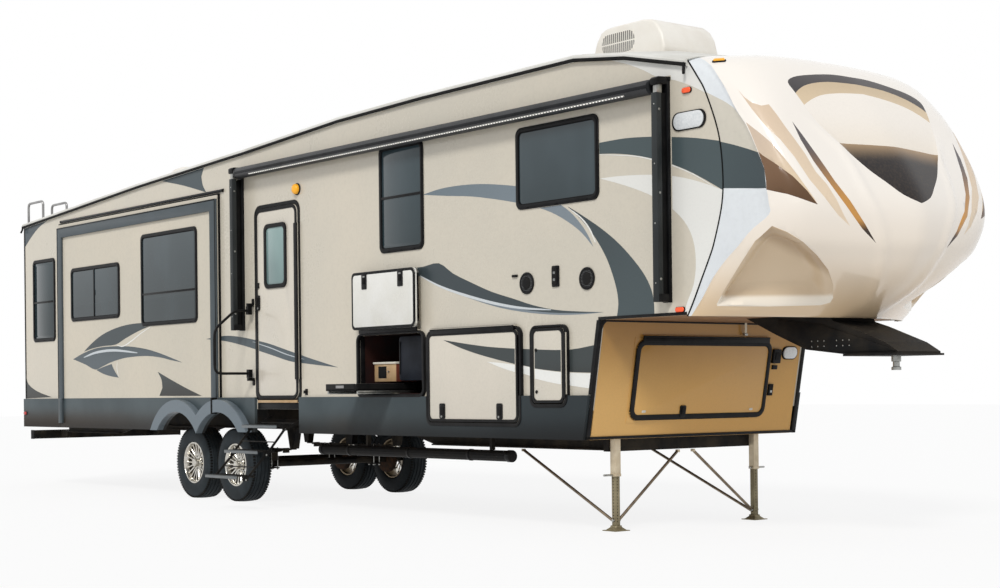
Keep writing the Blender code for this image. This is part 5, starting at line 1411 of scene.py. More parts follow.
def build_windows():
    """Each window: frame with its drip lip, tinted panes, bars and seals."""
    for node, body, hole, face, side, uprights, levels in WINDOWS:
        x0, x1, z0, z1 = hole
        piece = Piece(f"{node}_unit", body, "glass_tint")
        opening = round_rect(*wider(hole, -0.010), 0.045, 8)
        seal = round_rect(*wider(hole, -0.018), 0.038, 8)
        for grow, radius, low, high, holes, look in (
            (WINDOW_RIM, 0.068, 0.0, 0.009, [opening], MOULD),
            (0.012, 0.056, 0.004, 0.0135, [opening], MOULD),
            (-0.006, 0.048, -0.004, 0.0075, [seal], SEAL),
            (-0.003, 0.052, -0.045, 0.004, [], "tinted glass"),
        ):
            ring = round_rect(*wider(hole, grow), radius, 8)
            piece.add(prism(ring, "Y", *out_y(side, face, low, high), holes), look)
        bar = out_y(side, face, -0.01, 0.0115)
        middle = 0.5 * (z0 + z1)
        for x in uprights:
            piece.add(box(x - 0.011, x + 0.011, *bar, z0 + 0.008, z1 - 0.008), MOULD)
            latch = out_y(side, face, 0.003, 0.011)
            piece.add(box(x + 0.013, x + 0.024, *latch, middle - 0.03, middle + 0.03), RUBBER)
        for z in levels:
            piece.add(box(x0 + 0.008, x1 - 0.008, *bar, z - 0.011, z + 0.011), MOULD)
        for x in np.linspace(x0 + 0.12, x1 - 0.12, 3):
            weep = out_y(side, face, 0.008, 0.0145)
            piece.add(box(x - 0.014, x + 0.014, *weep, z0 - 0.019, z0 - 0.011), SEAL)
        piece.make([node], bevel=0.0018)
    piece = Piece("window_rear_unit", "trailer", "glass_tint")
    face = REAR_FACE
    outer, hole, pane = (
        round_rect(*wider(BACK_WINDOW, grow), radius, 8)
        for grow, radius in ((WINDOW_RIM, 0.068), (-0.010, 0.045), (-0.003, 0.052))
    )
    piece.add(prism(outer, "X", face - 0.0135, face, [hole]), MOULD)
    piece.add(prism(pane, "X", face - 0.004, face + 0.045), "tinted glass")
    y0, y1 = BACK_WINDOW[:2]
    piece.add(box(face - 0.0115, face + 0.01, y0 + 0.008, y1 - 0.008, 2.245, 2.267), MOULD)
    piece.make(["window_rear"], bevel=0.0018)


def build_entry_door():
    """Door leaf with its window, hinge, handle and seal."""
    _, x1, z0, z1 = DOOR_HOLE
    face = -DOOR_FACE
    leaf = Piece("entry_door_leaf", "entry_door", "door_white")
    slab = round_rect(*wider(DOOR_HOLE, -LEAF_GAP), 0.085, 9)
    hole = round_rect(*wider(DOOR_WINDOW, -0.002), 0.05, 8)
    leaf.add(prism(slab, "Y", face, -1.1905, [hole]), "door gel coat")
    edge = round_rect(*wider(DOOR_HOLE, -0.042), 0.056, 8)
    leaf.add(prism(slab, "Y", face - 0.005, face + 0.002, [edge]), MOULD)
    low, high = z0 + 0.2, z1 - 0.2
    leaf.add(box(x1 - 0.05, DOOR_PIN[0] - 0.001, face - 0.0135, face - 0.001, low, high), MOULD)
    leaf.add(tube([(*DOOR_PIN, low), (*DOOR_PIN, high)], 0.0098, 14), MOULD)
    outer = round_rect(*wider(DOOR_WINDOW, WINDOW_RIM), 0.068, 8)
    inner = round_rect(*wider(DOOR_WINDOW, -0.012), 0.045, 8)
    leaf.add(prism(outer, "Y", face - 0.0135, face + 0.001, [inner]), MOULD)
    pane = round_rect(*wider(DOOR_WINDOW, -0.004), 0.05, 8)
    leaf.add(prism(pane, "Y", face - 0.004, -1.192), "door glass")
    hx, hz = 1.169, 2.059
    plate = round_rect(hx - 0.028, hx + 0.034, hz - 0.080, hz + 0.078, 0.028, 8)
    leaf.add(prism(plate, "Y", face - 0.012, face - 0.001), MOULD)
    grip = bend([(hx + 0.004, face - 0.010, hz + 0.05), (hx + 0.004, face - 0.024, hz + 0.04),
                 (hx + 0.004, face - 0.024, hz - 0.02), (hx + 0.004, face - 0.010, hz - 0.03)], 0.02)
    leaf.add(tube(grip, 0.0085, 10), RUBBER)
    leaf.add(lathe(((0.010, face - 0.0165), (0.010, face - 0.010)), (hx + 0.004, 0, hz - 0.056), "Y", 16), ZINC)
    leaf.add(box(hx - 0.02, hx + 0.02, face - 0.010, face - 0.001, 2.205, 2.262), MOULD)
    leaf.make(["entry_door", "entry_door_window"], bevel=0.0018)


def build_door_frame():
    """The frame round the entry door's opening, the catch that holds the door back and the porch lamp."""
    x0, x1, z0, z1 = DOOR_HOLE
    ring = Piece("entry_door_frame", "trailer", "trim_black")
    outer = round_rect(*wider(DOOR_HOLE, 0.033), 0.110, 9)
    hole = round_rect(*wider(DOOR_HOLE, -0.003), 0.090, 9)
    ring.add(prism(outer, "Y", -WALL_Y - 0.0075, ON_WALL, [hole]), MOULD)
    ring.add(box(x0 + 0.03, x1 - 0.03, -WALL_Y - 0.022, ON_WALL, z0 - 0.030, z0 - 0.004), "cabinet tan")
    ring.add(box(x1 + 0.0112, x1 + 0.027, DOOR_PIN[1] + 0.0112, ON_WALL, z0 + 0.199, z1 - 0.199), MOULD)
    ring.add(box(x0 - 0.001, x1 + 0.001, -WALL_Y - 0.004, ON_WALL, 0.981, z0 - 0.031), MOULD)
    ring.make(bevel=0.0015)
    catch = Piece("entry_door_catch", "trailer", "trim_black")
    catch.add(box(2.02, 2.05, -WALL_Y - 0.030, ON_WALL, 1.135, 1.165), RUBBER)
    catch.add(box(2.012, 2.058, -WALL_Y - 0.006, ON_WALL, 1.120, 1.180), MOULD)
    catch.make(bevel=0.002)
    lamp = Piece("porch_lamp", "trailer", "trim_black")
    at = (1.905, 0, 3.145)
    for rings, look in (
        (((0.060, 0.0004), (0.060, 0.008), (0.054, 0.012)), MOULD),
        (((0.050, 0.010), (0.050, 0.030), (0.044, 0.042), (0.030, 0.050), (0.012, 0.054)), "amber lens"),
    ):
        lamp.add(lathe([(r, -WALL_Y - w) for r, w in rings], at, "Y", 28), look)
    lamp.make(bevel=0.0012)


def build_grab_handle():
    """Swinging handrail by the entry door, with its ribbed grip."""
    piece = Piece("grab_handle_rail", "grab_handle", "handle_black")
    x, y = 1.035, -1.272
    reach = 0.40
    path = [(x, y, 1.345), (x, y - reach, 1.345), (x, y - reach, 1.79), (x, y - 0.16, 1.985), (x, y, 1.985)]
    piece.add(tube(bend(path, 0.075, 7), 0.0136, 14), POWDER)
    for low, high in ((1.3004, 1.385), (1.945, 2.0296)):
        piece.add(box(x - 0.019, x + 0.030, y - 0.024, y + 0.020, low, high), POWDER)
    rings = []
    for k in range(15):
        z = 1.43 + 0.018 * k
        rings += [(0.0146, z), (0.0152, z + 0.004), (0.0152, z + 0.012), (0.0146, z + 0.016)]
    piece.add(lathe(rings, (x, y - reach, 0), "Z", 16), RUBBER)
    piece.make(["grab_handle"], smooth=40)
    mounts = Piece("grab_handle_mounts", "trailer", "trim_black")
    for z0, z1 in ((1.270, 1.2998), (2.0302, 2.060)):
        mounts.add(box(x - 0.0192, x + 0.0192, y - 0.0192, ON_WALL, z0 - 0.0012, z1 + 0.0001), POWDER)
    for z in (1.255, 2.075):
        plate = round_rect(x - 0.026, x + 0.026, z - 0.034, z + 0.034, 0.014, 4)
        mounts.add(prism(plate, "Y", -WALL_Y - 0.004, ON_WALL), POWDER)
    mounts.make(bevel=0.001)


def lid(node, hole, side, hinge, latches):
    """A storage door: slab, black edge frame, hinge and latches, shut on the wall."""
    x0, x1, z0, z1 = hole
    piece = Piece(f"{node}_leaf", node, "door_white")
    slab = round_rect(*wider(hole, -LEAF_GAP), 0.046, 7)
    inner = round_rect(*wider(hole, -0.032), 0.040, 7)
    piece.add(prism(slab, "Y", *out_y(side, LID_BACK, 0.0, LID_FACE - LID_BACK)), "door gel coat")
    piece.add(prism(slab, "Y", *out_y(side, LID_FACE, -0.02, 0.004), [inner]), MOULD)
    y = side * HINGE_Y
    leaf = out_y(side, 1.252, 0.0, 0.011)
    if hinge == "top":
        z = z1 + 0.020
        piece.add(box(x0 + 0.051, x1 - 0.051, *leaf, z1 - 0.018, z), MOULD)
        pin = [(x0 + 0.05, y, z), (x1 - 0.05, y, z)]
    else:
        x = x1 + 0.012
        piece.add(box(x1 - 0.018, x, *leaf, z0 + 0.051, z1 - 0.051), MOULD)
        pin = [(x, y, z0 + 0.05), (x, y, z1 - 0.05)]
    piece.add(tube(pin, 0.0059, 10), MOULD)

    def button(radius, x, z, low, high, sides, look):
        profile = [(radius, side * (LID_FACE + w)) for w in (low, high)]
        piece.add(lathe(profile, (x, 0, z), "Y", sides), look)

    for x, z in latches:
        if hinge == "side":
            button(0.014, x, z, 0.0, 0.007, 20, RUBBER)
            continue
        plate = round_rect(x - 0.040, x + 0.040, z - 0.072, z + 0.062, 0.016, 5)
        piece.add(prism(plate, "Y", *out_y(side, LID_FACE, 0.0004, 0.007)), MOULD)
        ring = round_rect(-0.024, 0.024, -0.034, 0.034, 0.010, 4)
        paddle = [[(x + u * s, side * (LID_FACE + w), z + v * s) for u, v in ring]
                  for s, w in ((1.0, 0.006), (1.0, 0.011), (0.82, 0.0145))]
        piece.add(loft(paddle), RUBBER)
        button(0.010, x, z - 0.052, 0.006, 0.0165, 14, ZINC)
    piece.make([node], bevel=0.0015)


def split_ring(outer, hole, level):
    """The parts of a round cornered ring above and below a level."""
    parts = []
    for keep in (lambda z: z >= level, lambda z: z <= level):
        lines = []
        for ring in (outer, hole):
            start = next(i for i in range(len(ring)) if keep(ring[i][1]) and not keep(ring[i - 1][1]))
            turn = ring[start:] + ring[:start]
            kept = [p for p in turn if keep(p[1])]
            lines.append([(kept[0][0], level)] + kept + [(kept[-1][0], level)])
        parts.append(lines[0] + lines[1][::-1])
    return parts


def storage_ring(piece, hole, side):
    """Black ring round a storage opening that steps out over the skirt."""
    x0, x1, z0, z1 = hole
    outer = round_rect(x0 - 0.027, x1 + 0.027, z0 - 0.027, z1 + 0.016, 0.075, 8)
    inner = round_rect(*wider(hole, -0.001), 0.050, 8)
    if z0 > SKIRT_TOP:
        piece.add(prism(outer, "Y", *out_y(side, WALL_Y + GAP, 0.0, 0.0305), [inner]), MOULD)
        return
    above, below = split_ring(outer, inner, SKIRT_TOP)
    piece.add(prism(above, "Y", *out_y(side, WALL_Y + GAP, 0.0, 0.0300)), MOULD)
    piece.add(prism(below, "Y", *out_y(side, 1.2504, 0.0, 0.0060)), MOULD)


def build_storage_doors():
    """Storage doors on both sides, and the frames of their openings."""
    lid("cargo_door_large", LARGE_HOLE, -1, "top", ((4.289, 0.975), (5.086, 0.975)))
    lid("cargo_door_small", SMALL_HOLE, -1, "side", ((5.566, 1.470), (5.570, 1.130)))
    lid("cargo_door_left", LARGE_HOLE, 1, "top", ((4.289, 0.962), (5.086, 0.965)))
    frames = Piece("storage_opening_frames", "trailer", "trim_black")
    for hole, side in ((SMALL_HOLE, -1), (GALLEY_HOLE, -1), (LARGE_HOLE, -1), (LARGE_HOLE, 1)):
        storage_ring(frames, hole, side)
    for x0, x1, z in ((4.125, 5.285, 1.680), (3.025, 3.935, 1.688)):
        for side in (-1, 1) if x0 > 4 else (-1,):
            frames.add(box(x0, x1, *out_y(side, WALL_Y + 0.0005, 0.0, 0.035), z + 0.0121, z + 0.0145), MOULD)
    frames.make(bevel=0.0012)


def slanted_plate(plate):
    """A plate across X, leant so that it lies on the slanted wall."""
    verts, faces = plate
    return [(front_x(z) + x, y, z) for x, y, z in verts], faces


def build_front_storage_door():
    """The door in the slanted wall, and the surround that closes its opening's corners."""
    surround = Piece("front_opening_surround", "trailer", "front_tan")
    hole = round_rect(-0.7955, 0.7955, 0.8895, 1.5405, 0.087, 8)
    plate = prism(rect(-0.813, 0.813, 0.871, 1.556), "X", 0.0006, 0.0030, [hole])
    surround.add(slanted_plate(plate), "front fascia tan")
    surround.make()

    piece = Piece("storage_door_front_leaf", "storage_door_front", "front_tan")
    low, high = 0.893, 1.537
    half = 0.792

    def slanted(y0, y1, a, b, inner, outer, look, radius):
        ring = round_rect(y0, y1, a, b, radius, 6)
        rings = [[(front_x(z) + w, y, z) for y, z in ring] for w in (inner, outer)]
        piece.add(loft(rings), look)

    slanted(-half, half, low, high, -0.0295, 0.0155, "front fascia tan", 0.085)
    edge = prism(
        round_rect(-half, half, low, high, 0.085, 8), "X", 0.004, 0.020,
        [round_rect(-half + 0.042, half - 0.042, low + 0.042, high - 0.042, 0.050, 8)],
    )
    piece.add(slanted_plate(edge), MOULD)
    hinge_x, hinge_z = front_x(1.565) + 0.024, 1.565
    piece.add(tube([(hinge_x, -half + 0.05, hinge_z), (hinge_x, half - 0.05, hinge_z)], 0.0068, 10), MOULD)
    piece.add(box(hinge_x - 0.010, hinge_x + 0.001, -half + 0.052, half - 0.052, high - 0.012, hinge_z), MOULD)
    y = -0.199
    slanted(y - 0.034, y + 0.034, 0.905, 1.005, 0.015, 0.024, MOULD, 0.014)
    slanted(y - 0.020, y + 0.020, 0.930, 0.990, 0.020, 0.031, RUBBER, 0.010)
    for y in (-0.64, 0.62):
        slanted(y - 0.022, y + 0.022, 0.952, 0.972, 0.015, 0.0185, "plastic cream", 0.008)
    piece.make(["storage_door_front"], bevel=0.0015)


def build_galley_door():
    """The galley's door, raised: its shut place mirrored over its hinge."""
    x0, x1, z0, z1 = GALLEY_HOLE
    door = Piece("galley_door_leaf", "galley_door", "door_white")
    low, high = 2 * GALLEY_HINGE_Z - (z1 - LEAF_GAP), 2 * GALLEY_HINGE_Z - (z0 + LEAF_GAP)
    inner_y, outer_y = -1.3185, -1.2705
    slab = round_rect(x0 + LEAF_GAP, x1 - LEAF_GAP, low, high, 0.048, 7)
    door.add(prism(slab, "Y", inner_y, outer_y), "white enamel")
    hole = round_rect(x0 + 0.032, x1 - 0.032, low + 0.026, high - 0.026, 0.036, 6)
    door.add(prism(slab, "Y", inner_y - 0.0005, inner_y + 0.012, [hole]), MOULD)
    door.add(prism(slab, "Y", outer_y - 0.02, outer_y + 0.0005, [hole]), MOULD)
    door.add(box(x0 + 0.051, x1 - 0.051, -1.2725, -1.2615, GALLEY_HINGE_Z, low + 0.018), MOULD)
    pin = [(x, -HINGE_Y, GALLEY_HINGE_Z) for x in (x0 + 0.05, x1 - 0.05)]
    door.add(tube(pin, 0.0059, 10), MOULD)
    for x in (x0 + 0.22, x1 - 0.22):
        door.add(box(x - 0.030, x + 0.030, outer_y - 0.002, outer_y + 0.005, high - 0.105, high - 0.065), MOULD)
        plate = round_rect(x - 0.040, x + 0.040, high - 0.160, high - 0.010, 0.010, 4)
        door.add(prism(plate, "Y", inner_y - 0.006, inner_y + 0.002), MOULD)
        door.add(box(x - 0.016, x + 0.012, inner_y - 0.016, inner_y - 0.005, high - 0.110, high - 0.060), RUBBER)
        door.add(box(x - 0.010, x + 0.020, inner_y - 0.012, inner_y - 0.005, high - 0.050, high - 0.038), ZINC)
    door.make(["galley_door"], bevel=0.0015)


def build_galley_room():
    """The galley's lining and cabinet."""
    x0, x1, z0, z1 = GALLEY_HOLE
    room = Piece("galley_lining", "trailer", "wood")
    left, right, back = x0 + 0.0015, x1 - 0.0625, -0.4635
    floor = z0 + 0.006
    room.add(box(left, right, -1.168, back, floor, floor + 0.0015), "galley lining")
    room.add(box(left, right, back - 0.002, back, floor, z1 - 0.002), "galley lining")
    room.add(box(right - 0.002, right, -1.168, back, floor, z1 - 0.002), "galley cool lining")
    room.add(box(x1 - 0.060, x1 - 0.002, -1.201, -1.171, z0 + 0.004, z1 - 0.004), "galley cool lining")
    cx0, cx1, cy0, cy1, cz0, cz1 = 3.12, 3.46, -1.15, -0.47, 1.24, 1.40
    room.add(box(cx0 - 0.012, cx1 + 0.012, cy0 - 0.020, cy1, cz1, cz1 + 0.018), "plastic cream")
    room.add(box(cx0 - 0.001, cx1 + 0.001, cy0 - 0.010, cy0, cz0 - 0.002, cz1), "cabinet tan")
    room.add(box(cx1, cx1 + 0.006, cy0 - 0.008, cy1, cz0 - 0.002, cz1), "cabinet russet")
    room.add(box(cx0 - 0.006, cx0, cy0 - 0.008, cy1, cz0 - 0.002, cz1), "cabinet russet")
    room.add(box(cx0 + 0.06, cx0 + 0.19, cy0 - 0.0115, cy0 - 0.004, cz0 + 0.028, cz1 - 0.022), SEAL)
    knob = ((0.007, cy0 - 0.026), (0.009, cy0 - 0.020), (0.006, cy0 - 0.008))
    room.add(lathe(knob, (cx0 + 0.23, 0, 1.33), "Y", 14), ALUMINIUM)
    room.add(box(x0 + 0.0006, x0 + 0.0036, -1.2195, -1.171, z0 + 0.004, z1 - 0.004), MOULD)
    room.add(prism(round_rect(3.50, 3.905, 1.245, 1.645, 0.035, 5), "Y", -1.150, -0.70), "galley cool lining")
    room.add(box(3.512, 3.524, -1.158, -1.148, 1.30, 1.60), MOULD)
    for x in (3.06, 3.51):
        room.add(box(x - 0.008, x + 0.008, -1.166, back - 0.004, floor + 0.0016, floor + 0.0075), ZINC)
    room.add(box(3.855, 3.905, -1.15, -1.10, 1.60, 1.652), "cabinet tan")
    room.make(bevel=0.0012)


def build_galley_tray():
    """The tray, drawn out on its slides."""
    tray = Piece("cargo_tray_pan", "cargo_tray", "steel_silver")
    tx0, tx1, y0, y1 = 3.035, 3.535, -1.66, -0.97
    pan = round_rect(tx0, tx1, y0, y1, 0.030, 5)
    pan_hole = round_rect(tx0 + 0.022, tx1 - 0.022, y0 + 0.016, y1 - 0.004, 0.016, 5)
    tray.add(prism(pan, "Z", 1.156, 1.169), POWDER)
    tray.add(prism(pan, "Z", 1.160, 1.2185, [pan_hole]), POWDER)
    lip = round_rect(tx0 + 0.001, tx1 - 0.001, y0 + 0.001, y1 - 0.001, 0.029, 5)
    lip_hole = round_rect(tx0 + 0.012, tx1 - 0.012, y0 + 0.009, y1 - 0.008, 0.020, 5)
    tray.add(prism(lip, "Z", 1.2125, 1.2195, [lip_hole]), ALUMINIUM)
    for x in (tx0 + 0.0125, tx1 - 0.0125):
        tray.add(box(x - 0.0118, x + 0.0118, y0 + 0.03, y1 - 0.002, 1.1260, 1.158), ZINC)
        tray.add(box(x - 0.0122, x + 0.0122, y0 + 0.032, y1 - 0.004, 1.138, 1.144), RUBBER)
    tray.add(box(3.22, 3.35, y0 - 0.0005, y0 + 0.012, 1.180, 1.205), ALUMINIUM)
    tray.make(["cargo_tray"], bevel=0.0012)


def build_slides():
    """Trims of the slide-outs, the seals of their openings and the rails over them."""
    x0, x1 = SLIDE_BOX[0].x, SLIDE_BOX[1].x
    top = SLIDE_BOX[1].z - 0.040
    trim = Piece("slide_room_trim", "slide_room_right", "skirt_dark")
    e = 0.0008  # how far the trim stands past the room's corners
    wide = 0.12 + e
    outer = [(x0 - e, 1.101), (x0 - e, top + e), (x1 + e, top + e), (x1 + e, 1.101)]
    inner = [(x1 - wide, 1.101), (x1 - wide, top - wide), (x0 + wide, top - wide), (x0 + wide, 1.101)]
    trim.add(prism(outer + inner, "Y", -1.2762, -1.2506), "trim slate")
    for x in (x0 + 0.001, x1 - 0.015):
        trim.add(box(x, x + 0.014, -1.2785, -1.2700, 1.103, top - 0.002), SEAL)
    trim.add(box(x0 + 0.018, x1 - 0.018, -1.2785, -1.2700, top - 0.015, top - 0.001), MOULD)
    trim.add(prism(rect(x0 - e, x0 + 0.095, 0.80, 1.1005), "Y", -1.2762, -1.2506), "trim slate")
    trim.add(box(x1 - 0.030, x1 - 0.002, -1.3345, -1.2700, 0.930, 1.1008), SEAL)
    trim.make(bevel=0.002)
    seal = Piece("slide_opening_seals", "trailer", "trim_black")
    a, b, c, d = x0 - 0.018, x1 + 0.018, 1.104, SLIDE_BOX[1].z + 0.016
    inner = [(x1 + 0.003, c), (x1 + 0.003, d - 0.013), (x0 - 0.003, d - 0.013), (x0 - 0.003, c)]
    ring = [(a, c), (a, d), (b, d), (b, c), *inner]
    seal.add(prism(ring, "Y", -1.2420, ON_WALL), SEAL)
    a, b, c, d = LEFT_BOX[0].x, LEFT_BOX[1].x, LEFT_BOX[0].z, LEFT_BOX[1].z
    left_face = a, b, c, d
    ring = rect(*wider(left_face, 0.018))
    seal.add(prism(ring, "Y", WALL_Y + GAP, 1.2420, [rect(*wider(left_face, 0.003))]), SEAL)
    seal.make(bevel=0.002)
    cover = Piece("slide_cover_rails", "trailer", "trim_black")
    for side, a, b, z in (
        (-1, -3.53, 0.46, SLIDE_BOX[1].z + 0.026),
        (1, LEFT_BOX[0].x - 0.03, LEFT_BOX[1].x + 0.03, LEFT_BOX[1].z + 0.03),
    ):
        section = [(0.0004, 0.0), (0.020, 0.0), (0.026, 0.008), (0.026, 0.020), (0.018, 0.028), (0.0004, 0.028)]
        line = [(side * (WALL_Y + y), z + h) for y, h in section]
        cover.add(prism(line, "X", a, b), ANODISED)
        for x in (a - 0.004, b + 0.001):
            cap = [(side * (WALL_Y + y), z + h) for y, h in
                   ((0.0006, -0.004), (0.028, -0.004), (0.029, 0.026), (0.0006, 0.033))]
            cover.add(prism(cap, "X", x, x + 0.004), MOULD)
    cover.make(bevel=0.0015)
    left = Piece("slide_room_left_trim", "slide_room_left", "skirt_dark")
    ring = rect(*wider(left_face, -0.002))
    left.add(prism(ring, "Y", 1.2504, 1.2545, [rect(*wider(left_face, -0.07))]), "trim slate")
    left.make(bevel=0.001)


# ---------------------------------------------------------------- repeated pieces

class Tree:
    """A Geometry Nodes tree under construction."""

    def __init__(self, name):
        self.group = bpy.data.node_groups.new(name, "GeometryNodeTree")
        self.ids = {}
        self.add_input("Geometry", "NodeSocketGeometry")
        self.group.interface.new_socket("Geometry", in_out="OUTPUT", socket_type="NodeSocketGeometry")
        self.start = self.group.nodes.new("NodeGroupInput")
        self.stop = self.group.nodes.new("NodeGroupOutput")

    def add_input(self, name, kind):
        """Names an input of the tree, and keeps its identifier."""
        socket = self.group.interface.new_socket(name, in_out="INPUT", socket_type=kind)
        self.ids[name] = socket.identifier

    def given(self, name):
        """The socket of a named input."""
        return self.start.outputs[name]

    def node(self, kind, settings=None, **sockets):
        """Adds a node, with its settings and the values or links of its sockets."""
        node = self.group.nodes.new(kind)
        for key, value in (settings or {}).items():
            setattr(node, key, value)
        for key, value in sockets.items():
            socket = node.inputs[key.replace("_", " ")]
            if isinstance(value, bpy.types.NodeSocket):
                self.group.links.new(value, socket)
            else:
                socket.default_value = value
        return node.outputs[0]

    def end(self, instances, flat=False):
        """Makes the copies real, and gives them their shading and finish."""
        real = self.node("GeometryNodeRealizeInstances", None, Geometry=instances)
        shaded = self.node("GeometryNodeSetShadeSmooth", None, Geometry=real, Shade_Smooth=not flat)
        painted = self.node("GeometryNodeSetMaterial", None, Geometry=shaded, Material=self.given("Finish"))
        self.group.links.new(painted, self.stop.inputs[0])


def row_tree(name, kind):
    """Sets a dome or a bar at even steps along the edges of a mesh."""
    tree = Tree(name)
    tree.add_input("Spacing", "NodeSocketFloat")
    tree.add_input("Size", "NodeSocketVector")
    tree.add_input("Finish", "NodeSocketMaterial")
    line = tree.node("GeometryNodeMeshToCurve", None, Mesh=tree.given("Geometry"))
    even = tree.node("GeometryNodeResampleCurve", {"mode": "LENGTH"}, Curve=line, Length=tree.given("Spacing"))
    along = tree.node("GeometryNodeInputTangent")
    turn = tree.node("FunctionNodeAlignRotationToVector", {"axis": "X"}, Vector=along)
    if kind == "dome":
        ball = tree.node("GeometryNodeMeshUVSphere", None, Segments=10, Rings=6, Radius=0.5)
        one = tree.node("GeometryNodeTransform", None, Geometry=ball, Scale=tree.given("Size"))
    else:
        one = tree.node("GeometryNodeMeshCube", None, Size=tree.given("Size"))
    copies = tree.node("GeometryNodeInstanceOnPoints", None, Points=even, Instance=one, Rotation=turn)
    tree.end(copies, flat=kind == "bar")
    return tree


def ring_tree(name):
    """Turns copies of a piece about a level axle, which lies along Y."""
    tree = Tree(name)
    tree.add_input("Count", "NodeSocketInt")
    tree.add_input("Centre", "NodeSocketVector")
    tree.add_input("Finish", "NodeSocketMaterial")
    points = tree.node("GeometryNodeMeshLine", None, Count=tree.given("Count"), Offset=(0.0, 0.0, 0.0))
    index = tree.node("GeometryNodeInputIndex")
    step = tree.group.nodes.new("ShaderNodeMath")
    step.operation = "DIVIDE"
    step.inputs[0].default_value = 2 * math.pi
    tree.group.links.new(tree.given("Count"), step.inputs[1])
    angle = tree.group.nodes.new("ShaderNodeMath")
    angle.operation = "MULTIPLY"
    tree.group.links.new(index, angle.inputs[0])
    tree.group.links.new(step.outputs[0], angle.inputs[1])
    about = tree.node("ShaderNodeCombineXYZ", None, Y=angle.outputs[0])
    turn = tree.node("FunctionNodeEulerToRotation", None, Euler=about)
    copies = tree.node(
        "GeometryNodeInstanceOnPoints", None, Points=points, Instance=tree.given("Geometry"), Rotation=turn
    )
    put = tree.node("GeometryNodeTransform", None, Geometry=copies, Translation=tree.given("Centre"))
    tree.end(put)
    return tree


TREES = {}


def tree_of(kind):
    """The tree of a kind, built when it is first asked for."""
    if kind not in TREES:
        TREES[kind] = ring_tree("turned copies") if kind == "ring" else row_tree(f"row of {kind}s", kind)
    return TREES[kind]


def along_lines(name, body, kind, lines, look, **values):
    """A row of domes or bars along each of several lines."""
    verts, edges = [], []
    for line in lines:
        first = len(verts)
        verts += [tuple(Vector(v) + ORIGIN) for v in line]
        edges += [(first + k, first + k + 1) for k in range(len(line) - 1)]
    mesh = bpy.data.meshes.new(name)
    mesh.from_pydata(verts, edges, [])
    return grown(mesh, body, kind, look, 0 if kind == "bar" else 40, values)


def turned_copies(name, body, solid, look, smooth, **values):
    """Copies of a solid, turned about a wheel's axle."""
    mesh = bpy.data.meshes.new(name)
    mesh.from_pydata(solid[0], [], solid[1])
    outward(mesh)
    return grown(mesh, body, "ring", look, smooth, values)


def grown(mesh, body, kind, look, smooth, values):
    """Runs a tree on a small mesh, and settles the result into plain mesh on its body."""
    tree = tree_of(kind)
    obj = placed(mesh.name, mesh)
    grow = obj.modifiers.new("repeat", "NODES")
    grow.node_group = tree.group
    for key, value in {**values, "Finish": finish(look)}.items():
        if key == "Centre":
            value = tuple(Vector(value) + ORIGIN)
        grow[tree.ids[key]] = value
    settle(obj)
    soften(obj, smooth)
    return seat(obj, body)


# ---------------------------------------------------------------- wheels and running gear

SHOULDER_LUGS = 76
WHEEL_NUTS = 8
NUT_CIRCLE = 0.066
RIM_R = 0.222


def tyre_profile(groove_depth):
    """Radius and place across of the tyre's outline, with its four grooves."""
    half = TYRE_W / 2
    wall = [
        (RIM_R, 0.80), (RIM_R + 0.008, 0.93), (RIM_R + 0.022, 0.975), (RIM_R + 0.045, 0.985),
        (RIM_R + 0.060, 1.0),
        (RIM_R + 0.078, 1.0), (RIM_R + 0.086, 0.985), (0.325, 0.985), (0.330, 0.97), (0.348, 0.955),
        (0.358, 0.93),
        (0.372, 0.86), (0.379, 0.80),
    ]
    edge = 0.048  # half of a groove's width, as a share of half the tyre's
    grooves = []
    for middle in (0.55, 0.19, -0.19, -0.55):
        r = TYRE_R if abs(middle) < 0.4 else TYRE_R - 0.002
        grooves += [(r, middle + edge), (r - groove_depth, middle + edge * 0.7),
                    (r - groove_depth, middle - edge * 0.7), (r, middle - edge)]
    return [(r, w * half) for r, w in wall + grooves] + [(r, -w * half) for r, w in wall[::-1]]


def build_tyre(body, tyre, profile, centre):
    """A tyre with its tread blocks on both shoulders."""
    piece = Piece(f"{tyre}_casing", body, "tyre_rubber")
    piece.add(lathe(profile, centre, "Y", 96, closed=True), "tyre wall")
    piece.make([tyre], smooth=32)
    for name, place in (("inner", 0.80), ("outer", -0.80)):
        y = centre.y + place * TYRE_W / 2
        lug = box(-0.0085, 0.0085, y - 0.013, y + 0.011, TYRE_R - 0.020, TYRE_R - 0.0055)
        turned_copies(f"{tyre}_shoulder_{name}", body, lug, "tyre tread", 0,
                      Count=SHOULDER_LUGS, Centre=(centre.x, 0.0, centre.z))


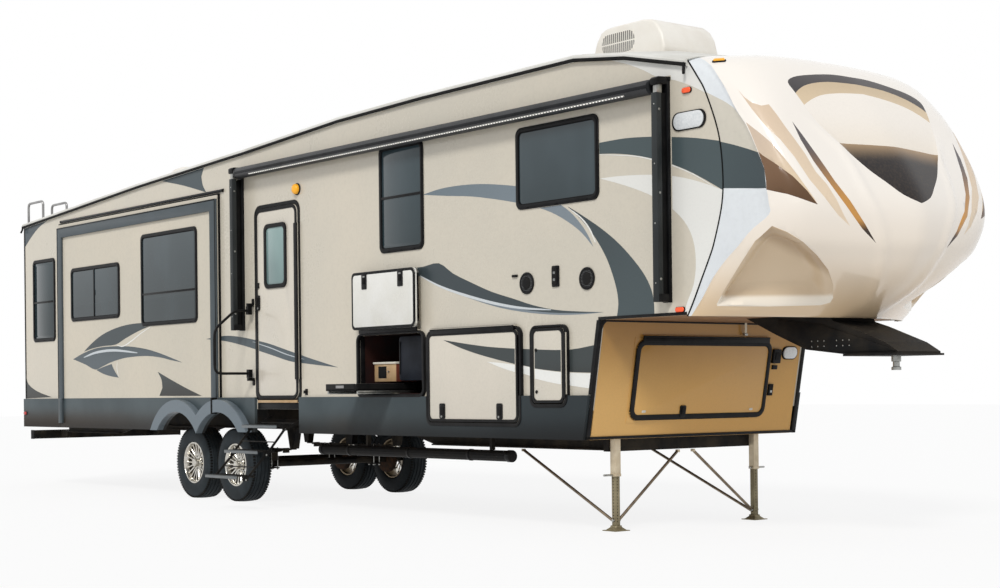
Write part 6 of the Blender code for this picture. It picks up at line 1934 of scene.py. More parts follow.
def build_rim(body, rim, centre, spokes):
    """A rim's barrel and hub, its spokes, nuts and valve."""
    side = 1 if centre.y > 0 else -1
    half = TYRE_W / 2
    out, mid, axle = side * half, centre.y, (centre.x, 0.0, centre.z)
    wheel = Piece(f"{rim}_barrel", body, "alloy")
    r = RIM_R - 0.0006
    barrel = [
        (r, 0.80), (r + 0.004, 0.90), (r - 0.002, 0.925), (r - 0.012, 0.92), (r - 0.017, 0.86),
        (r - 0.020, 0.74), (r - 0.030, 0.60), (r - 0.034, 0.20), (r - 0.030, -0.60), (r - 0.016, -0.88),
        (r - 0.002, -0.90), (r, -0.80), (r - 0.010, -0.55), (r - 0.016, 0.15), (r - 0.010, 0.60),
    ]
    wheel.add(lathe([(a, b * out) for a, b in barrel], centre, "Y", 96, closed=True), "polished alloy")
    hub = [(0.060, 0.26), (0.084, 0.28), (0.086, 0.46), (0.080, 0.52), (0.060, 0.545), (0.046, 0.56),
           (0.044, 0.84), (0.040, 0.90), (0.030, 0.93), (0.018, 0.945)]
    wheel.add(lathe([(a, b * out) for a, b in hub], centre, "Y", 40), "polished alloy")
    wheel.make([rim], smooth=35)
    rings = []
    for reach, depth, wide, tall in (
        (0.070, 0.50, 0.0115, 0.016), (0.100, 0.57, 0.0085, 0.016), (0.150, 0.63, 0.0072, 0.015),
        (0.185, 0.68, 0.0085, 0.014), (0.203, 0.74, 0.0125, 0.012),
    ):
        y = mid + depth * out
        back = mid + (depth * half - tall) * side
        shoulder = y - side * 0.004
        rings.append([
            (-wide, back, reach), (-wide, shoulder, reach), (-wide * 0.6, y, reach),
            (wide * 0.6, y, reach), (wide, shoulder, reach), (wide, back, reach),
        ])
    turned_copies(f"{rim}_spokes", body, loft(rings), "polished alloy", 30, Count=spokes, Centre=axle)
    nut = ((0.0105, 0.53), (0.0105, 0.60), (0.0085, 0.625), (0.004, 0.635))
    nut = lathe([(r, mid + depth * out) for r, depth in nut], (0.0, 0.0, NUT_CIRCLE), "Y", 6)
    turned_copies(f"{rim}_nuts", body, nut, ZINC, 30, Count=WHEEL_NUTS, Centre=axle)
    valve = Piece(f"{rim}_valve", body, "alloy")
    stem = [(centre.x + a, mid + depth * out, centre.z + c) for a, depth, c in
            ((0.13, 0.55, 0.14), (0.128, 0.78, 0.137))]
    valve.add(tube(stem, [0.005, 0.0036], 10), RUBBER)
    valve.make()


def build_wheels(sizes):
    """Tyres with grooved treads, and rims with slim spokes, nuts and centre caps."""
    profile = tyre_profile(sizes.groove_depth)
    for body, (tyre, rim) in WHEELS.items():
        low, high = span(tyre)
        centre = 0.5 * (low + high)
        build_tyre(body, tyre, profile, centre)
        build_rim(body, rim, centre, sizes.spokes)


def build_axles():
    """Axle beams with brake drums, leaf springs and their bolts."""
    rail = 0.66  # from the middle to a spring
    for name in ("axle_front", "axle_rear"):
        low, high = span(name)
        x, z = 0.5 * (low.x + high.x), WHEEL_Z
        piece = Piece(f"{name}_assembly", "trailer", "frame_black")
        beam = ((0.030, -high.y), (0.038, -0.80), (0.038, 0.80), (0.030, high.y))
        piece.add(lathe(beam, (x, 0, z), "Y", 24), CHASSIS)
        for side in (-1, 1):
            y = side * rail
            for k, length in enumerate((0.445, 0.34, 0.24, 0.15)):
                top = z + 0.165 - k * 0.0125
                sag = [(length * share, rise * k) for share, rise in
                       ((-1, 0.004), (-0.5, 0.001), (0.5, 0.001), (1, 0.004))]
                line = [(x + a, top + b) for a, b in sag] + [(x + a, top + b - 0.0115) for a, b in sag[::-1]]
                piece.add(prism(line, "Y", y - 0.030, y + 0.030), CHASSIS)
            piece.add(box(x - 0.055, x + 0.055, y - 0.036, y + 0.036, z + 0.030, z + 0.120), CHASSIS)
            piece.add(box(x - 0.075, x + 0.075, y - 0.045, y + 0.045, z - 0.052, z - 0.040), CHASSIS)
            for dx in (-0.045, 0.045):
                for dy in (-0.037, 0.037):
                    rod = [(x + dx, y + dy, z - 0.066), (x + dx, y + dy, z + 0.172)]
                    piece.add(tube(rod, 0.0065, 10), ZINC)
                    piece.add(lathe(((0.011, z - 0.063), (0.011, z - 0.053)), (x + dx, y + dy, 0), "Z", 6), ZINC)
            for dx in (-0.28, 0.28):
                piece.add(box(x + dx - 0.014, x + dx + 0.014, y - 0.034, y + 0.034, z + 0.118, z + 0.170),
                          CHASSIS)
            drum = ((0.10, 0.204), (0.146, 0.200), (0.150, 0.190), (0.150, 0.142), (0.146, 0.134), (0.10, 0.131))
            rings = [(r, side * (TRACK_Y - inward)) for r, inward in drum]
            piece.add(lathe(rings, (x, 0, z), "Y", 40), "brake iron")
        piece.make([name], bevel=0.0012)


def build_undercarriage():
    """Bolts, tube caps, brackets and the pin box's plates below the trailer."""
    tube_z, tube_y, tube_r = 0.58, -0.95, 0.048
    piece = Piece("hose_tube_caps", "trailer", "trim_black")
    for x, out in ((1.90, -1), (4.87, 1)):
        ring = [(tube_r * wide, x + out * w) for wide, w in ((1.10, -0.045), (1.10, 0.004), (0.98, 0.010))]
        piece.add(lathe(ring, (0, tube_y, tube_z), "X", 24), MOULD)
    for x in (2.40, 3.39, 4.30):
        band = ((tube_r + 0.0045, x - 0.014), (tube_r + 0.0045, x + 0.014))
        piece.add(lathe(band, (0, tube_y, tube_z), "X", 24), MOULD)
    piece.make(bevel=0.001)
    bolts = []
    for side in (-1, 1):
        for z in (1.452, 1.492):
            for x0 in (7.62, 7.86):
                bolts.append([(x0, side * 0.2505, z), (x0 + 0.12, side * 0.2505, z)])
    along_lines("pin_box_bolts", "trailer", "dome", bolts, ZINC, Spacing=0.04, Size=(0.020, 0.014, 0.020))
    plate = Piece("pin_box_plates", "trailer", "frame_black")
    for side in (-1, 1):
        line = [(7.28, 1.572), (7.60, 1.448), (7.96, 1.402), (8.40, 1.402), (8.40, 1.410), (8.10, 1.500),
                (7.70, 1.620), (7.28, 1.672)]
        plate.add(prism(line, "Y", *out_y(side, 0.2502, 0.0, 0.006)), CHASSIS)
    plate.make(bevel=0.0015)
    ends = Piece("bumper_ends", "trailer", "frame_black")
    for side in (-1, 1):
        ends.add(prism(rect(-4.903, -4.797, 0.577, 0.693), "Y", *out_y(side, 1.0495, 0.0, 0.008)), RUBBER)
    ends.make(bevel=0.002)


def build_legs():
    """Square landing legs with their feet and braces."""
    for name, side in (("landing_leg_right", -1), ("landing_leg_left", 1)):
        x, y = 6.027, side * 0.816
        piece = Piece(f"{name}_assembly", "trailer", "steel_silver")
        for half, z0, z1, look in (
            (0.030, 0.44, 1.25, "leg steel"), (0.0325, 0.440, 0.462, "leg steel"),
            (0.0235, 0.02, 0.60, "leg steel low"), (0.080, 0.0, 0.007, "leg steel low"),
        ):
            piece.add(box(x - half, x + half, y - half, y + half, z0, z1), look)
        rings = [
            [(x + a * s, y + b * s, z) for a, b in round_rect(-0.065, 0.065, -0.065, 0.065, 0.016, 4)]
            for s, z in ((1.0, 0.004), (0.98, 0.008), (0.56, 0.030), (0.52, 0.044))
        ]
        piece.add(loft(rings), "leg steel low")
        handle = [(x, y + side * 0.130, 0.452), (x, y - side * 0.055, 0.452)]
        piece.add(tube(handle, 0.0085, 10), ZINC)
        for end in ((4.76, side * 0.73, 0.625), (x - 0.02, side * 0.09, 0.625)):
            piece.add(tube([(x, y, 0.062), end], 0.0125, 12), "brace steel")
            lug = (end[0] - 0.016, end[0] + 0.016, end[1] - 0.012, end[1] + 0.012, end[2] - 0.012, end[2] + 0.010)
            piece.add(box(*lug), "leg steel")
        piece.add(lathe(((0.012, y - 0.042), (0.012, y + 0.042)), (x, 0, 0.085), "Y", 12), ZINC)
        piece.make([name], bevel=0.0014)
        holes = [
            [(a, b, z) for z in (0.075, 0.425)] for a,
            b in ((x + 0.0236, y - 0.006), (x - 0.006, y + side * 0.0236))
        ]
        along_lines(f"{name}_holes", "trailer", "dome", holes, SEAL, Spacing=0.0235, Size=(0.011, 0.0024, 0.011))


# Y and Z of the steps' pivots, from the floor outwards
STEP_PIVOTS = ((-1.10, 0.900), (-1.35, 0.785), (-1.56, 0.540), (-1.785, 0.305))


def build_steps():
    """Folding entry steps: treads with raised grip, and their arms."""
    for i, level in enumerate(("upper", "middle", "lower")):
        low, high = span(f"step_tread_{level}")
        (x0, y0, _), (x1, y1, top) = low, high
        tread = Piece(f"step_tread_{level}_plate", f"step_tread_{level}", "frame_black")
        tread.add(box(x0, x1, y0, y1, top - 0.0085, top - 0.0035), POWDER)
        tread.add(box(x0, x1, y0, y0 + 0.004, top - 0.034, top - 0.002), "step edge grey")
        tread.add(box(x0, x1, y1 - 0.004, y1, top - 0.028, top - 0.004), POWDER)
        tread.add(box(x0 + 0.02, x1 - 0.02, y0 + 0.018, y1 - 0.018, top - 0.0036, top - 0.0024), RUBBER)
        yb = 0.5 * (y0 + y1)
        for x in (x0, x1 - 0.006):
            tread.add(box(x, x + 0.006, yb - 0.03, yb + 0.03, low.z, top - 0.006), POWDER)
        tread.make([f"step_tread_{level}"], bevel=0.001)
        rows = [[(x, y, top - 0.0019) for x in (x0 + 0.035, x1 - 0.035)]
                for y in np.linspace(y0 + 0.035, y1 - 0.035, 7)]
        along_lines(f"step_tread_{level}_grip", f"step_tread_{level}", "dome", rows, RUBBER,
              Spacing=0.024, Size=(0.010, 0.010, 0.0034))
        coat(f"step_arm_{level}", POWDER)
        arm = span(f"step_arm_{level}")
        pins = Piece(f"step_arm_{level}_pins", f"step_arm_{level}", "frame_black")
        pivots = STEP_PIVOTS[i], STEP_PIVOTS[i + 1]
        for y, z in pivots:
            for x, out in ((arm[0].x, -1), (arm[1].x, 1)):
                ring = ((0.0095, x - out * 0.001), (0.0095, x + out * (0.0002 if i else 0.0)),
                        (0.006, x + out * 0.0002))
                pins.add(lathe(ring, (0, y, z), "X", 12), ZINC)
        pins.make()


# ---------------------------------------------------------------- awning and roof

def build_awning_roll(sizes):
    """Rolled awning with its end caps and the row of small lamps below."""
    x0, x1 = 0.8905, 7.0295
    y, z = -1.305, 3.400
    roll = Piece("awning_roll", "trailer", "awning_grey")
    rings = [(0.0560, x0 + 0.030), (0.0572, x0 + 0.032), (0.0572, x1 - 0.032), (0.0560, x1 - 0.030)]
    roll.add(lathe(rings, (0, y, z), "X", 48), "awning cloth")
    for a, b in ((x0, x0 + 0.032), (x1 - 0.032, x1)):
        inward = 1 if a == x0 else -1
        start = a if inward > 0 else b
        cap = [(0.044, start), (0.0545, start + inward * 0.004), (0.0578, start + inward * 0.010),
               (0.0578, start + inward * 0.034), (0.056, start + inward * 0.036)]
        roll.add(lathe(cap, (0, y, z), "X", 36), ANODISED)
    flap = [(y - a, z + b) for a, b in
            ((0.0565, 0.010), (0.0578, 0.002), (0.0578, -0.010), (0.0565, -0.016), (0.052, -0.016),
             (0.052, 0.010))]
    roll.add(prism(flap, "X", x0 + 0.034, x1 - 0.034), ANODISED)
    strip_y, strip_z = y - 0.0440, z - 0.0355
    strip = [(strip_y + a, strip_z + b) for a,
             b in ((-0.004, 0.007), (-0.007, -0.001), (0.0, -0.008), (0.006, 0.0))]
    roll.add(prism(strip, "X", x0 + 0.30, x1 - 0.28), "lamp strip")
    roll.make(["awning_roller"], smooth=40)
    line = [(x0 + 0.32, strip_y - 0.0042, strip_z - 0.0035), (x1 - 0.30, strip_y - 0.0042, strip_z - 0.0035)]
    along_lines("awning_lamps", "trailer", "dome", [line], "lamp diode",
          Spacing=sizes.lamp_spacing, Size=(0.018, 0.0085, 0.0085))


def build_awning_arms():
    """The awning's cradle arms, upright on the wall, and the rail between them."""
    back = 1.2207  # just outside the wall
    arms = Piece("awning_arms", "trailer", "trim_black")
    for a, b in ((0.79, 0.89), (7.03, 7.12)):
        m = 0.5 * (a + b)
        arms.add(box(m - 0.036, m + 0.036, -1.250, -back, 1.787, 3.440), ANODISED)
        arms.add(box(m - 0.029, m + 0.029, -1.3560, -1.3060, 1.790, 3.345), "trim arm grey")
        arms.add(box(m - 0.034, m + 0.034, -1.3500, -1.2480, 1.792, 1.850), MOULD)
        arms.add(box(m - 0.022, m + 0.022, -1.3080, -1.2480, 1.848, 3.345), SEAL)
        head = [(-back, 3.405), (-1.300, 3.412), (-1.352, 3.400), (-1.3595, 3.410), (-1.3595, 3.448),
                (-1.340, 3.462),
                (-back, 3.4695)]
        arms.add(prism(head, "X", a + 0.010, b - 0.010), MOULD)
        arms.add(box(a + 0.026, b - 0.026, -1.345, -1.290, 3.330, 3.415), ZINC)
        for z1 in (1.96, 2.60, 3.22):
            pin = ((0.008, m - 0.033), (0.010, m - 0.031), (0.010, m + 0.031), (0.008, m + 0.033))
            arms.add(lathe(pin, (0, -1.330, z1), "X", 14), ZINC)
    rail = [(-back, 3.441), (-1.236, 3.441), (-1.2448, 3.447), (-1.2448, 3.462), (-1.236, 3.4695),
            (-back, 3.4695)]
    arms.add(prism(rail, "X", 0.792, 7.118), ANODISED)
    arms.make(["awning_frame"], bevel=0.0015)
    screws = [[(x, -1.3565, 1.93), (x, -1.3565, 3.26)] for x in (0.84, 7.075)]
    along_lines("awning_screws", "trailer", "dome", screws, ZINC, Spacing=0.38, Size=(0.012, 0.005, 0.012))


def roof_top(x, y):
    """Height of the roof at a place, from its edge and its crown."""
    section = ((1.00, 0.00), (0.92, 0.25), (0.55, 0.78), (0.00, 1.00))
    share = min(1.0, abs(y) / ROOF_Y)
    for (t0, r0), (t1, r1) in zip(section, section[1:]):
        if t1 <= share <= t0:
            return roof_edge_z(x) + 0.11 * (r0 + (r1 - r0) * (t0 - share) / (t0 - t1))
    return roof_edge_z(x)


def build_air_conditioner():
    """The shroud, its louvred grilles and its seal on the roof."""
    low, high = span("air_conditioner")
    base, x0, x1 = low.z, low.x, high.x
    shell = [(x0 + 0.02, 0.004), (x0, 0.10), (x0 + 0.045, 0.225), (x0 + 0.10, 0.297), (x0 + 0.175, 0.3265),
             (x0 + 0.26, 0.331),
             (x1 - 0.26, 0.331), (x1 - 0.165, 0.316), (x1 - 0.085, 0.260), (x1 - 0.035, 0.185), (x1, 0.06),
             (x1 - 0.02, 0.004)]
    piece = Piece("air_conditioner_shroud", "trailer", "roof_white")
    piece.add(prism([(x, base + h) for x, h in shell], "Y", -0.3195, 0.3195), "roof plastic")
    piece.make(["air_conditioner"], bevel=0.030, segments=4, smooth=45)
    seal = Piece("air_conditioner_trim", "trailer", "roof_white")
    for side in (-1, 1):
        y = side * 0.3195
        ring = round_rect(x0 + 0.120, x0 + 0.520, base + 0.095, base + 0.268, 0.070, 7)
        seal.add(prism(ring, "Y", *sorted((y - side * 0.004, y + side * 0.0012))), "grille dark")
        bar = sorted((y - side * 0.002, y + side * 0.0036))
        seal.add(box(x0 + 0.118, x0 + 0.522, *bar, base + 0.176, base + 0.187), "roof plastic")
    for a, b in ((-0.23, -0.02), (0.02, 0.23)):
        ring = round_rect(a, b, base + 0.05, base + 0.16, 0.016, 4)
        rings = [[(x0 + 0.020 - (z - base) * 0.18 - w, y, z) for y, z in ring] for w in (-0.006, 0.0025)]
        seal.add(loft(rings), "grille dark")
    seal.add(prism(round_rect(x0 + 0.10, x1 - 0.10, -0.24, 0.24, 0.03, 5), "Z", base - 0.012, base + 0.006), SEAL)
    seal.make(bevel=0.001)
    rows = [[(x, side * 0.3206, base + 0.1815) for x in (x0 + 0.134, x0 + 0.506)] for side in (-1, 1)]
    along_lines("air_conditioner_louvres", "trailer", "bar", rows, "roof plastic",
          Spacing=0.0245, Size=(0.0115, 0.0040, 0.172))


def build_roof_vent():
    """The vent's rounded cover on its sealed flange."""
    bounds = vx0, vx1, _, vy1 = -1.72, -1.38, -0.72, -0.40
    base = roof_top(0.5 * (vx0 + vx1), vy1) - 0.032
    vent = Piece("roof_vent_cover", "trailer", "roof_white")
    rings = []
    for grow, z in (
        (0.006, 0.0), (0.006, 0.05), (0.002, 0.09), (-0.012, 0.135), (-0.045, 0.172), (-0.090, 0.190),
        (-0.130, 0.194),
    ):
        ring = round_rect(*wider(bounds, grow), max(0.028, 0.065 + grow * 0.3), 6)
        rings.append([(x, y, base + z) for x, y in ring])
    vent.add(loft(rings), "roof plastic")
    vent.make(smooth=40)
    skirt = Piece("roof_vent_flange", "trailer", "roof_white")
    flange = round_rect(*wider(bounds, 0.045), 0.03, 5)
    rings = [[(x, y, roof_top(x, y) + w) for x, y in flange] for w in (-0.004, 0.004)]
    skirt.add(loft(rings), "roof seal")
    skirt.make(bevel=0.001)


def build_roof_edges():
    """Gutters with their spouts, the roof's edge trim and the sealed joint at the cap."""
    stations = [-4.672, -4.0, -3.2, -2.4, -1.4, -0.6, 0.2, 0.9, 1.8, 2.67, 3.4, 4.0, 5.0, 6.05, 6.35, 6.64, 6.95,
                7.292]
    gutter = Piece("roof_gutters", "trailer", "trim_black")
    for side in (-1, 1):
        section = [(-0.0006, -0.046), (0.010, -0.049), (0.0165, -0.042), (0.0165, -0.026), (0.012, -0.020),
                   (-0.0006, -0.020)]
        rings = [[(x, side * (ROOF_Y + 0.001 + a), roof_edge_z(x) + b) for a, b in section] for x in stations]
        gutter.add(loft(rings), RUBBER)
        for x in (stations[0] + 0.012, stations[-1] - 0.012):
            z = roof_edge_z(x)
            end = (x + (0.02 if x > 0 else -0.006), side * 1.268, z - 0.105)
            spout = bend([(x, side * 1.246, z - 0.020), (x, side * 1.246, z - 0.060), end], 0.03)
            gutter.add(tube(spout, 0.0115, 12), RUBBER)
    gutter.make(smooth=30)
    lip = Piece("roof_edge_trim", "trailer", "roof_white")
    for side in (-1, 1):
        section = [(-0.010, -0.0195), (0.0120, -0.0195), (0.0140, -0.006), (0.009, 0.006), (-0.012, 0.0115)]
        rings = [[(x, side * (ROOF_Y + a), roof_edge_z(x) + b) for a, b in section] for x in stations]
        lip.add(loft(rings), "roof membrane")
    lip.make(smooth=30)
    joint = Piece("roof_front_seal", "trailer", "roof_white")
    ys = np.linspace(-ROOF_Y + 0.012, ROOF_Y - 0.012, 25)
    section = ((-0.055, -0.004), (-0.050, 0.003), (0.012, 0.003), (0.018, -0.004))
    rings = [[(7.300 + a, y, roof_top(7.29, y) + b + 0.0015) for a, b in section] for y in ys]
    joint.add(loft(rings), "roof seal")
    joint.make(smooth=30)


def build_ladder():
    """Rear ladder of bent tube with flat, ribbed rungs."""
    piece = Piece("rear_ladder", "trailer", "bare_aluminium")
    sides = (-1.10, -0.78)
    face = REAR_FACE
    for y in sides:
        foot = roof_top(REAR_X + 0.32, y) + 0.004
        bends = ((0.0, 1.05), (-0.13, 1.05), (-0.13, 3.62), (0.32, 3.62), (0.32, foot))
        path = [(face + x, y, z) for x, z in bends]
        piece.add(tube(bend(path, 0.06, 6), 0.0155, 14), ALUMINIUM)
        shoe = ((0.024, foot - 0.003), (0.024, foot + 0.003), (0.014, foot + 0.012))
        piece.add(lathe(shoe, (face + 0.32, y, 0), "Z", 18), ALUMINIUM)
        piece.add(lathe(((0.026, face - 0.005), (0.026, face)), (0, y, 1.05), "X", 18), ALUMINIUM)
    for k in range(8):
        z = 1.25 + 0.30 * k
        piece.add(tube([(face - 0.13, y, z) for y in sides], 0.0130, 12), ALUMINIUM)
        piece.add(box(face - 0.140, face - 0.120, sides[0] + 0.03, sides[1] - 0.03, z + 0.0065, z + 0.0125),
                  RUBBER)
    piece.make(["ladder"], smooth=40)


# ---------------------------------------------------------------- fittings

def lens(piece, x, z, wide, tall, face, side, look):
    """A small lamp on a side wall: base and domed lens."""
    ring = round_rect(-wide, wide, -tall, tall, 0.95 * min(wide, tall), 6)
    for rings, tint in (
        (((1.12, 0.0004), (1.12, 0.007), (1.02, 0.009)), RUBBER),
        (((1.0, 0.006), (0.98, 0.014), (0.8, 0.020)), look),
    ):
        piece.add(loft([[(x + u * s, side * (face + w), z + v * s) for u, v in ring] for s, w in rings]), tint)


def rear_lens(piece, y, z, wide, tall, radius, rings, look):
    """A lamp on the rear wall."""
    ring = round_rect(y - wide, y + wide, z - tall, z + tall, radius, 5)
    piece.add(loft([[(REAR_X - w, y + (a - y) * s, z + (c - z) * s) for a, c in ring] for s, w in rings]), look)


SPEAKERS = ((5.423, 2.024), (6.164, 2.021))
GRILLE_R = 0.066
GRILLE_STEP = 0.0115


def build_wall_fittings():
    """Speakers and outlet on the door side, and the marker lamps of both sides."""
    wall = -WALL_Y
    outside = Piece("wall_fittings", "trailer", "trim_black")
    for x, z in SPEAKERS:
        for rings, look in (
            (((0.090, 0.0012), (0.090, 0.010), (0.083, 0.014), (0.074, 0.014), (0.072, 0.009)), MOULD),
            (((0.073, 0.0012), (0.073, 0.008)), RUBBER),
            (((0.050, 0.0070), (0.052, 0.011), (0.034, 0.013), (0.010, 0.015)), RUBBER),
        ):
            outside.add(lathe([(r, wall - w) for r, w in rings], (x, 0, z), "Y", 32), look)
    x, z = 5.787, 2.060
    plate = round_rect(x - 0.042, x + 0.042, z - 0.085, z + 0.085, 0.010, 4)
    outside.add(prism(plate, "Y", wall - 0.012, wall - 0.0012), MOULD)
    cover = round_rect(x - 0.030, x + 0.030, z - 0.066, z + 0.070, 0.008, 4)
    outside.add(prism(cover, "Y", wall - 0.024, wall - 0.008), RUBBER)
    for dz in (-0.028, 0.028):
        socket = box(x - 0.013, x + 0.013, wall - 0.0255, wall - 0.0235, z + dz - 0.010, z + dz + 0.010)
        outside.add(socket, "plastic grey")
    outside.add(box(5.240, 5.302, wall - 0.016, wall - 0.0012, 2.082, 2.102), RUBBER)
    outside.make(bevel=0.0015)
    rows = []
    for x, z in SPEAKERS:
        for k in range(-5, 6):
            reach = math.sqrt(GRILLE_R**2 - (GRILLE_STEP * k) ** 2)
            rows.append([(a, wall - 0.0085, z + GRILLE_STEP * k) for a in (x - reach, x + reach)])
    along_lines("speaker_grilles", "trailer", "dome", rows, "plastic grey",
                Spacing=GRILLE_STEP, Size=(0.006, 0.003, 0.006))

    for name, x, z, wide, tall, face, look in (
        ("cap_side_lamp", 7.307, 3.120, 0.155, 0.062, WALL_Y, "clear lens"),
        ("clearance_lamp", 7.288, 3.343, 0.045, 0.020, WALL_Y, "marker lens"),
        ("side_marker", 7.195, 1.731, 0.045, 0.018, WALL_Y, "marker lens"),
        ("rear_marker", -4.600, 0.917, 0.038, 0.020, SKIRT_Y, "red lens"),
    ):
        for side in (-1, 1):
            lamp = Piece(f"{name}_{SIDE_NAMES[side]}", "trailer")
            lens(lamp, x, z, wide, tall, face + 0.001, side, look)
            lamp.make(smooth=45)


def build_mouldings():
    """Mouldings along the corners and the foot of the walls."""
    trim = Piece("wall_mouldings", "trailer", "trim_black")
    for side in (-1, 1):
        corner = [(REAR_X + x, side * y) for x, y in (
            (-0.004, 1.19), (-0.004, WALL_Y + 0.004), (0.030, WALL_Y + 0.004), (0.030, WALL_Y + GAP),
            (-0.0004, WALL_Y + GAP), (-0.0004, 1.19),
        )]
        trim.add(prism(corner, "Z", 1.104, 3.282), MOULD)
        if side > 0:
            trim.add(box(-4.668, 6.172, WALL_Y + GAP, WALL_Y + 0.006, 1.1005, 1.112), MOULD)
        trim.add(prism(rect(6.29, 7.262, 1.6885, 1.712), "Y", *out_y(side, WALL_Y + 0.0009, 0.0, 0.004)), MOULD)
    x = SLIDE_BOX[0].x - 0.035
    trim.add(box(x - 0.006, x + 0.006, -WALL_Y - 0.004, ON_WALL, 1.106, 3.25), "plastic cream")
    trim.make(bevel=0.001)


def build_front_wall_fittings():
    """Mouldings, lamp, sockets and strap of the slanted front wall."""
    front = Piece("front_wall_fittings", "trailer", "trim_black")

    def upright(y0, y1, a, b, low, high, look=MOULD):
        line = [(front_x(z) + low, z) for z in (a, b)] + [(front_x(z) + high, z) for z in (b, a)]
        front.add(prism(line, "Y", y0, y1), look)

    for side in (-1, 1):
        for inward, outward_y, bounds in (
            (1.186, WALL_Y + 0.006, (1.105, 1.6885, 0.0004, 0.010)),
            (WALL_Y + 0.0012, WALL_Y + 0.006, (1.105, 1.6885, -0.026, 0.002)),
            (1.186, 1.222, (0.747, 1.105, 0.0004, 0.010)),
        ):
            upright(*sorted((side * inward, side * outward_y)), *bounds)
        corner = [(side * 1.19, 1.6885), (side * 1.19, 1.600), (side * 1.172, 1.650), (side * 1.135, 1.6885)]
        plate = prism(corner, "X", 0.0006, 0.0075)
        front.add(slanted_plate(plate), MOULD)
    upright(-1.222, 1.222, 0.747, 0.770, 0.0004, 0.010)
    upright(-1.222, 1.222, 1.676, 1.6885, 0.0004, 0.010)
    upright(0.815, 0.905, 1.352, 1.472, 0.001, 0.030)
    upright(0.835, 0.885, 1.380, 1.444, 0.028, 0.036, RUBBER)
    upright(0.832, 0.892, 1.300, 1.336, 0.001, 0.014)
    upright(0.815, 0.865, 1.075, 1.175, 0.001, 0.020, RUBBER)
    upright(0.828, 0.852, 1.100, 1.120, 0.018, 0.024, ZINC)
    front.make(bevel=0.0015)
    lamp = Piece("front_wall_lamp", "trailer")
    ring = round_rect(-0.085, 0.085, -0.050, 0.050, 0.049, 6)
    x = front_x(1.442)
    for steps, look in (
        (((1.14, 0.0005), (1.14, 0.009)), RUBBER),
        (((1.0, 0.007), (0.97, 0.018), (0.75, 0.024)), "clear lens"),
    ):
        rings = [[(x + w + v * 0.187 * s, 1.035 + u * s, 1.442 + v * s) for u, v in ring] for s, w in steps]
        lamp.add(loft(rings), look)
    lamp.make(smooth=45)
    strap = Piece("front_strap", "trailer")
    hang = bend([(6.34, 0.40, 1.690), (6.33, 0.41, 1.650), (6.315, 0.425, 1.600)], 0.03)
    section = rect(-0.001, 0.001, -0.013, 0.013)
    strap.add(loft([[(p.x + x, p.y + y, p.z) for x, y in section] for p in hang]), "webbing")
    strap.add(box(6.300, 6.322, 0.408, 0.442, 1.585, 1.603), ZINC)
    strap.make(bevel=0.0005)


def build_rear_fittings():
    """Lamps of the rear wall, and the screws of its corner mouldings."""
    rear = Piece("rear_lamps", "trailer")
    for y in (-0.98, 0.98):
        for z, tall, look in (
            (1.42, 0.060, "red lens"), (1.30, 0.045, "amber lens"), (1.205, 0.035, "clear lens"),
        ):
            rear_lens(rear, y, z, 0.048, tall, 0.018, ((1.0, 0.0006), (1.0, 0.016), (0.86, 0.024)), look)
        ring = round_rect(y - 0.062, y + 0.062, 1.155, 1.495, 0.024, 5)
        rear.add(loft([[(REAR_X - w, a, c) for a, c in ring] for w in (0.0004, 0.010)]), MOULD)
    for y in (-1.02, -0.16, 0.0, 0.16, 1.02):
        rear_lens(rear, y, 3.2225, 0.040, 0.0175, 0.016, ((1.0, 0.0005), (1.0, 0.012), (0.8, 0.018)), "red lens")
    rear.make(smooth=40)
    rows = [[(REAR_X - 0.0046, side * 1.205, 1.14), (REAR_X - 0.0046, side * 1.205, 3.25)] for side in (-1, 1)]
    along_lines("corner_screws", "trailer", "dome", rows, ZINC, Spacing=0.21, Size=(0.012, 0.012, 0.004))


# ---------------------------------------------------------------- sizes a user would change

class CapSizes(bpy.types.PropertyGroup):
    """Relief of the moulded front cap."""

    scoop_depth: bpy.props.FloatProperty(
        name="Scoop Depth", description="How far the scoops sink behind the skin", default=0.11, min=0.0, max=0.2,
        subtype="DISTANCE", unit="LENGTH")
    rib_height: bpy.props.FloatProperty(
        name="Rib Height", description="How far the middle rib stands out", default=0.018, min=0.0, max=0.05,
        subtype="DISTANCE", unit="LENGTH")
    bead_height: bpy.props.FloatProperty(
        name="Bead Height", description="Height of the bead along the crease", default=0.004, min=0.0, max=0.02,
        subtype="DISTANCE", unit="LENGTH")
    thickness: bpy.props.FloatProperty(
        name="Shell Thickness", description="Thickness of the moulded shell", default=0.032, min=0.01, max=0.04,
        subtype="DISTANCE", unit="LENGTH")


class TrimSizes(bpy.types.PropertyGroup):
    """Films, lamps and wheels."""

    film: bpy.props.FloatProperty(
        name="Film Thickness", description="Thickness of the coloured films, in millimetres", default=0.3,
        min=0.1, max=1.0)
    lamp_spacing: bpy.props.FloatProperty(
        name="Lamp Spacing", description="Distance between the small lamps below the awning", default=0.036,
        min=0.02, max=0.5, subtype="DISTANCE", unit="LENGTH")
    spokes: bpy.props.IntProperty(
        name="Spokes", description="Number of spokes in a rim", default=20, min=5, max=40)
    groove_depth: bpy.props.FloatProperty(
        name="Groove Depth", description="Depth of the grooves round a tyre", default=0.008, min=0.0, max=0.012,
        subtype="DISTANCE", unit="LENGTH")


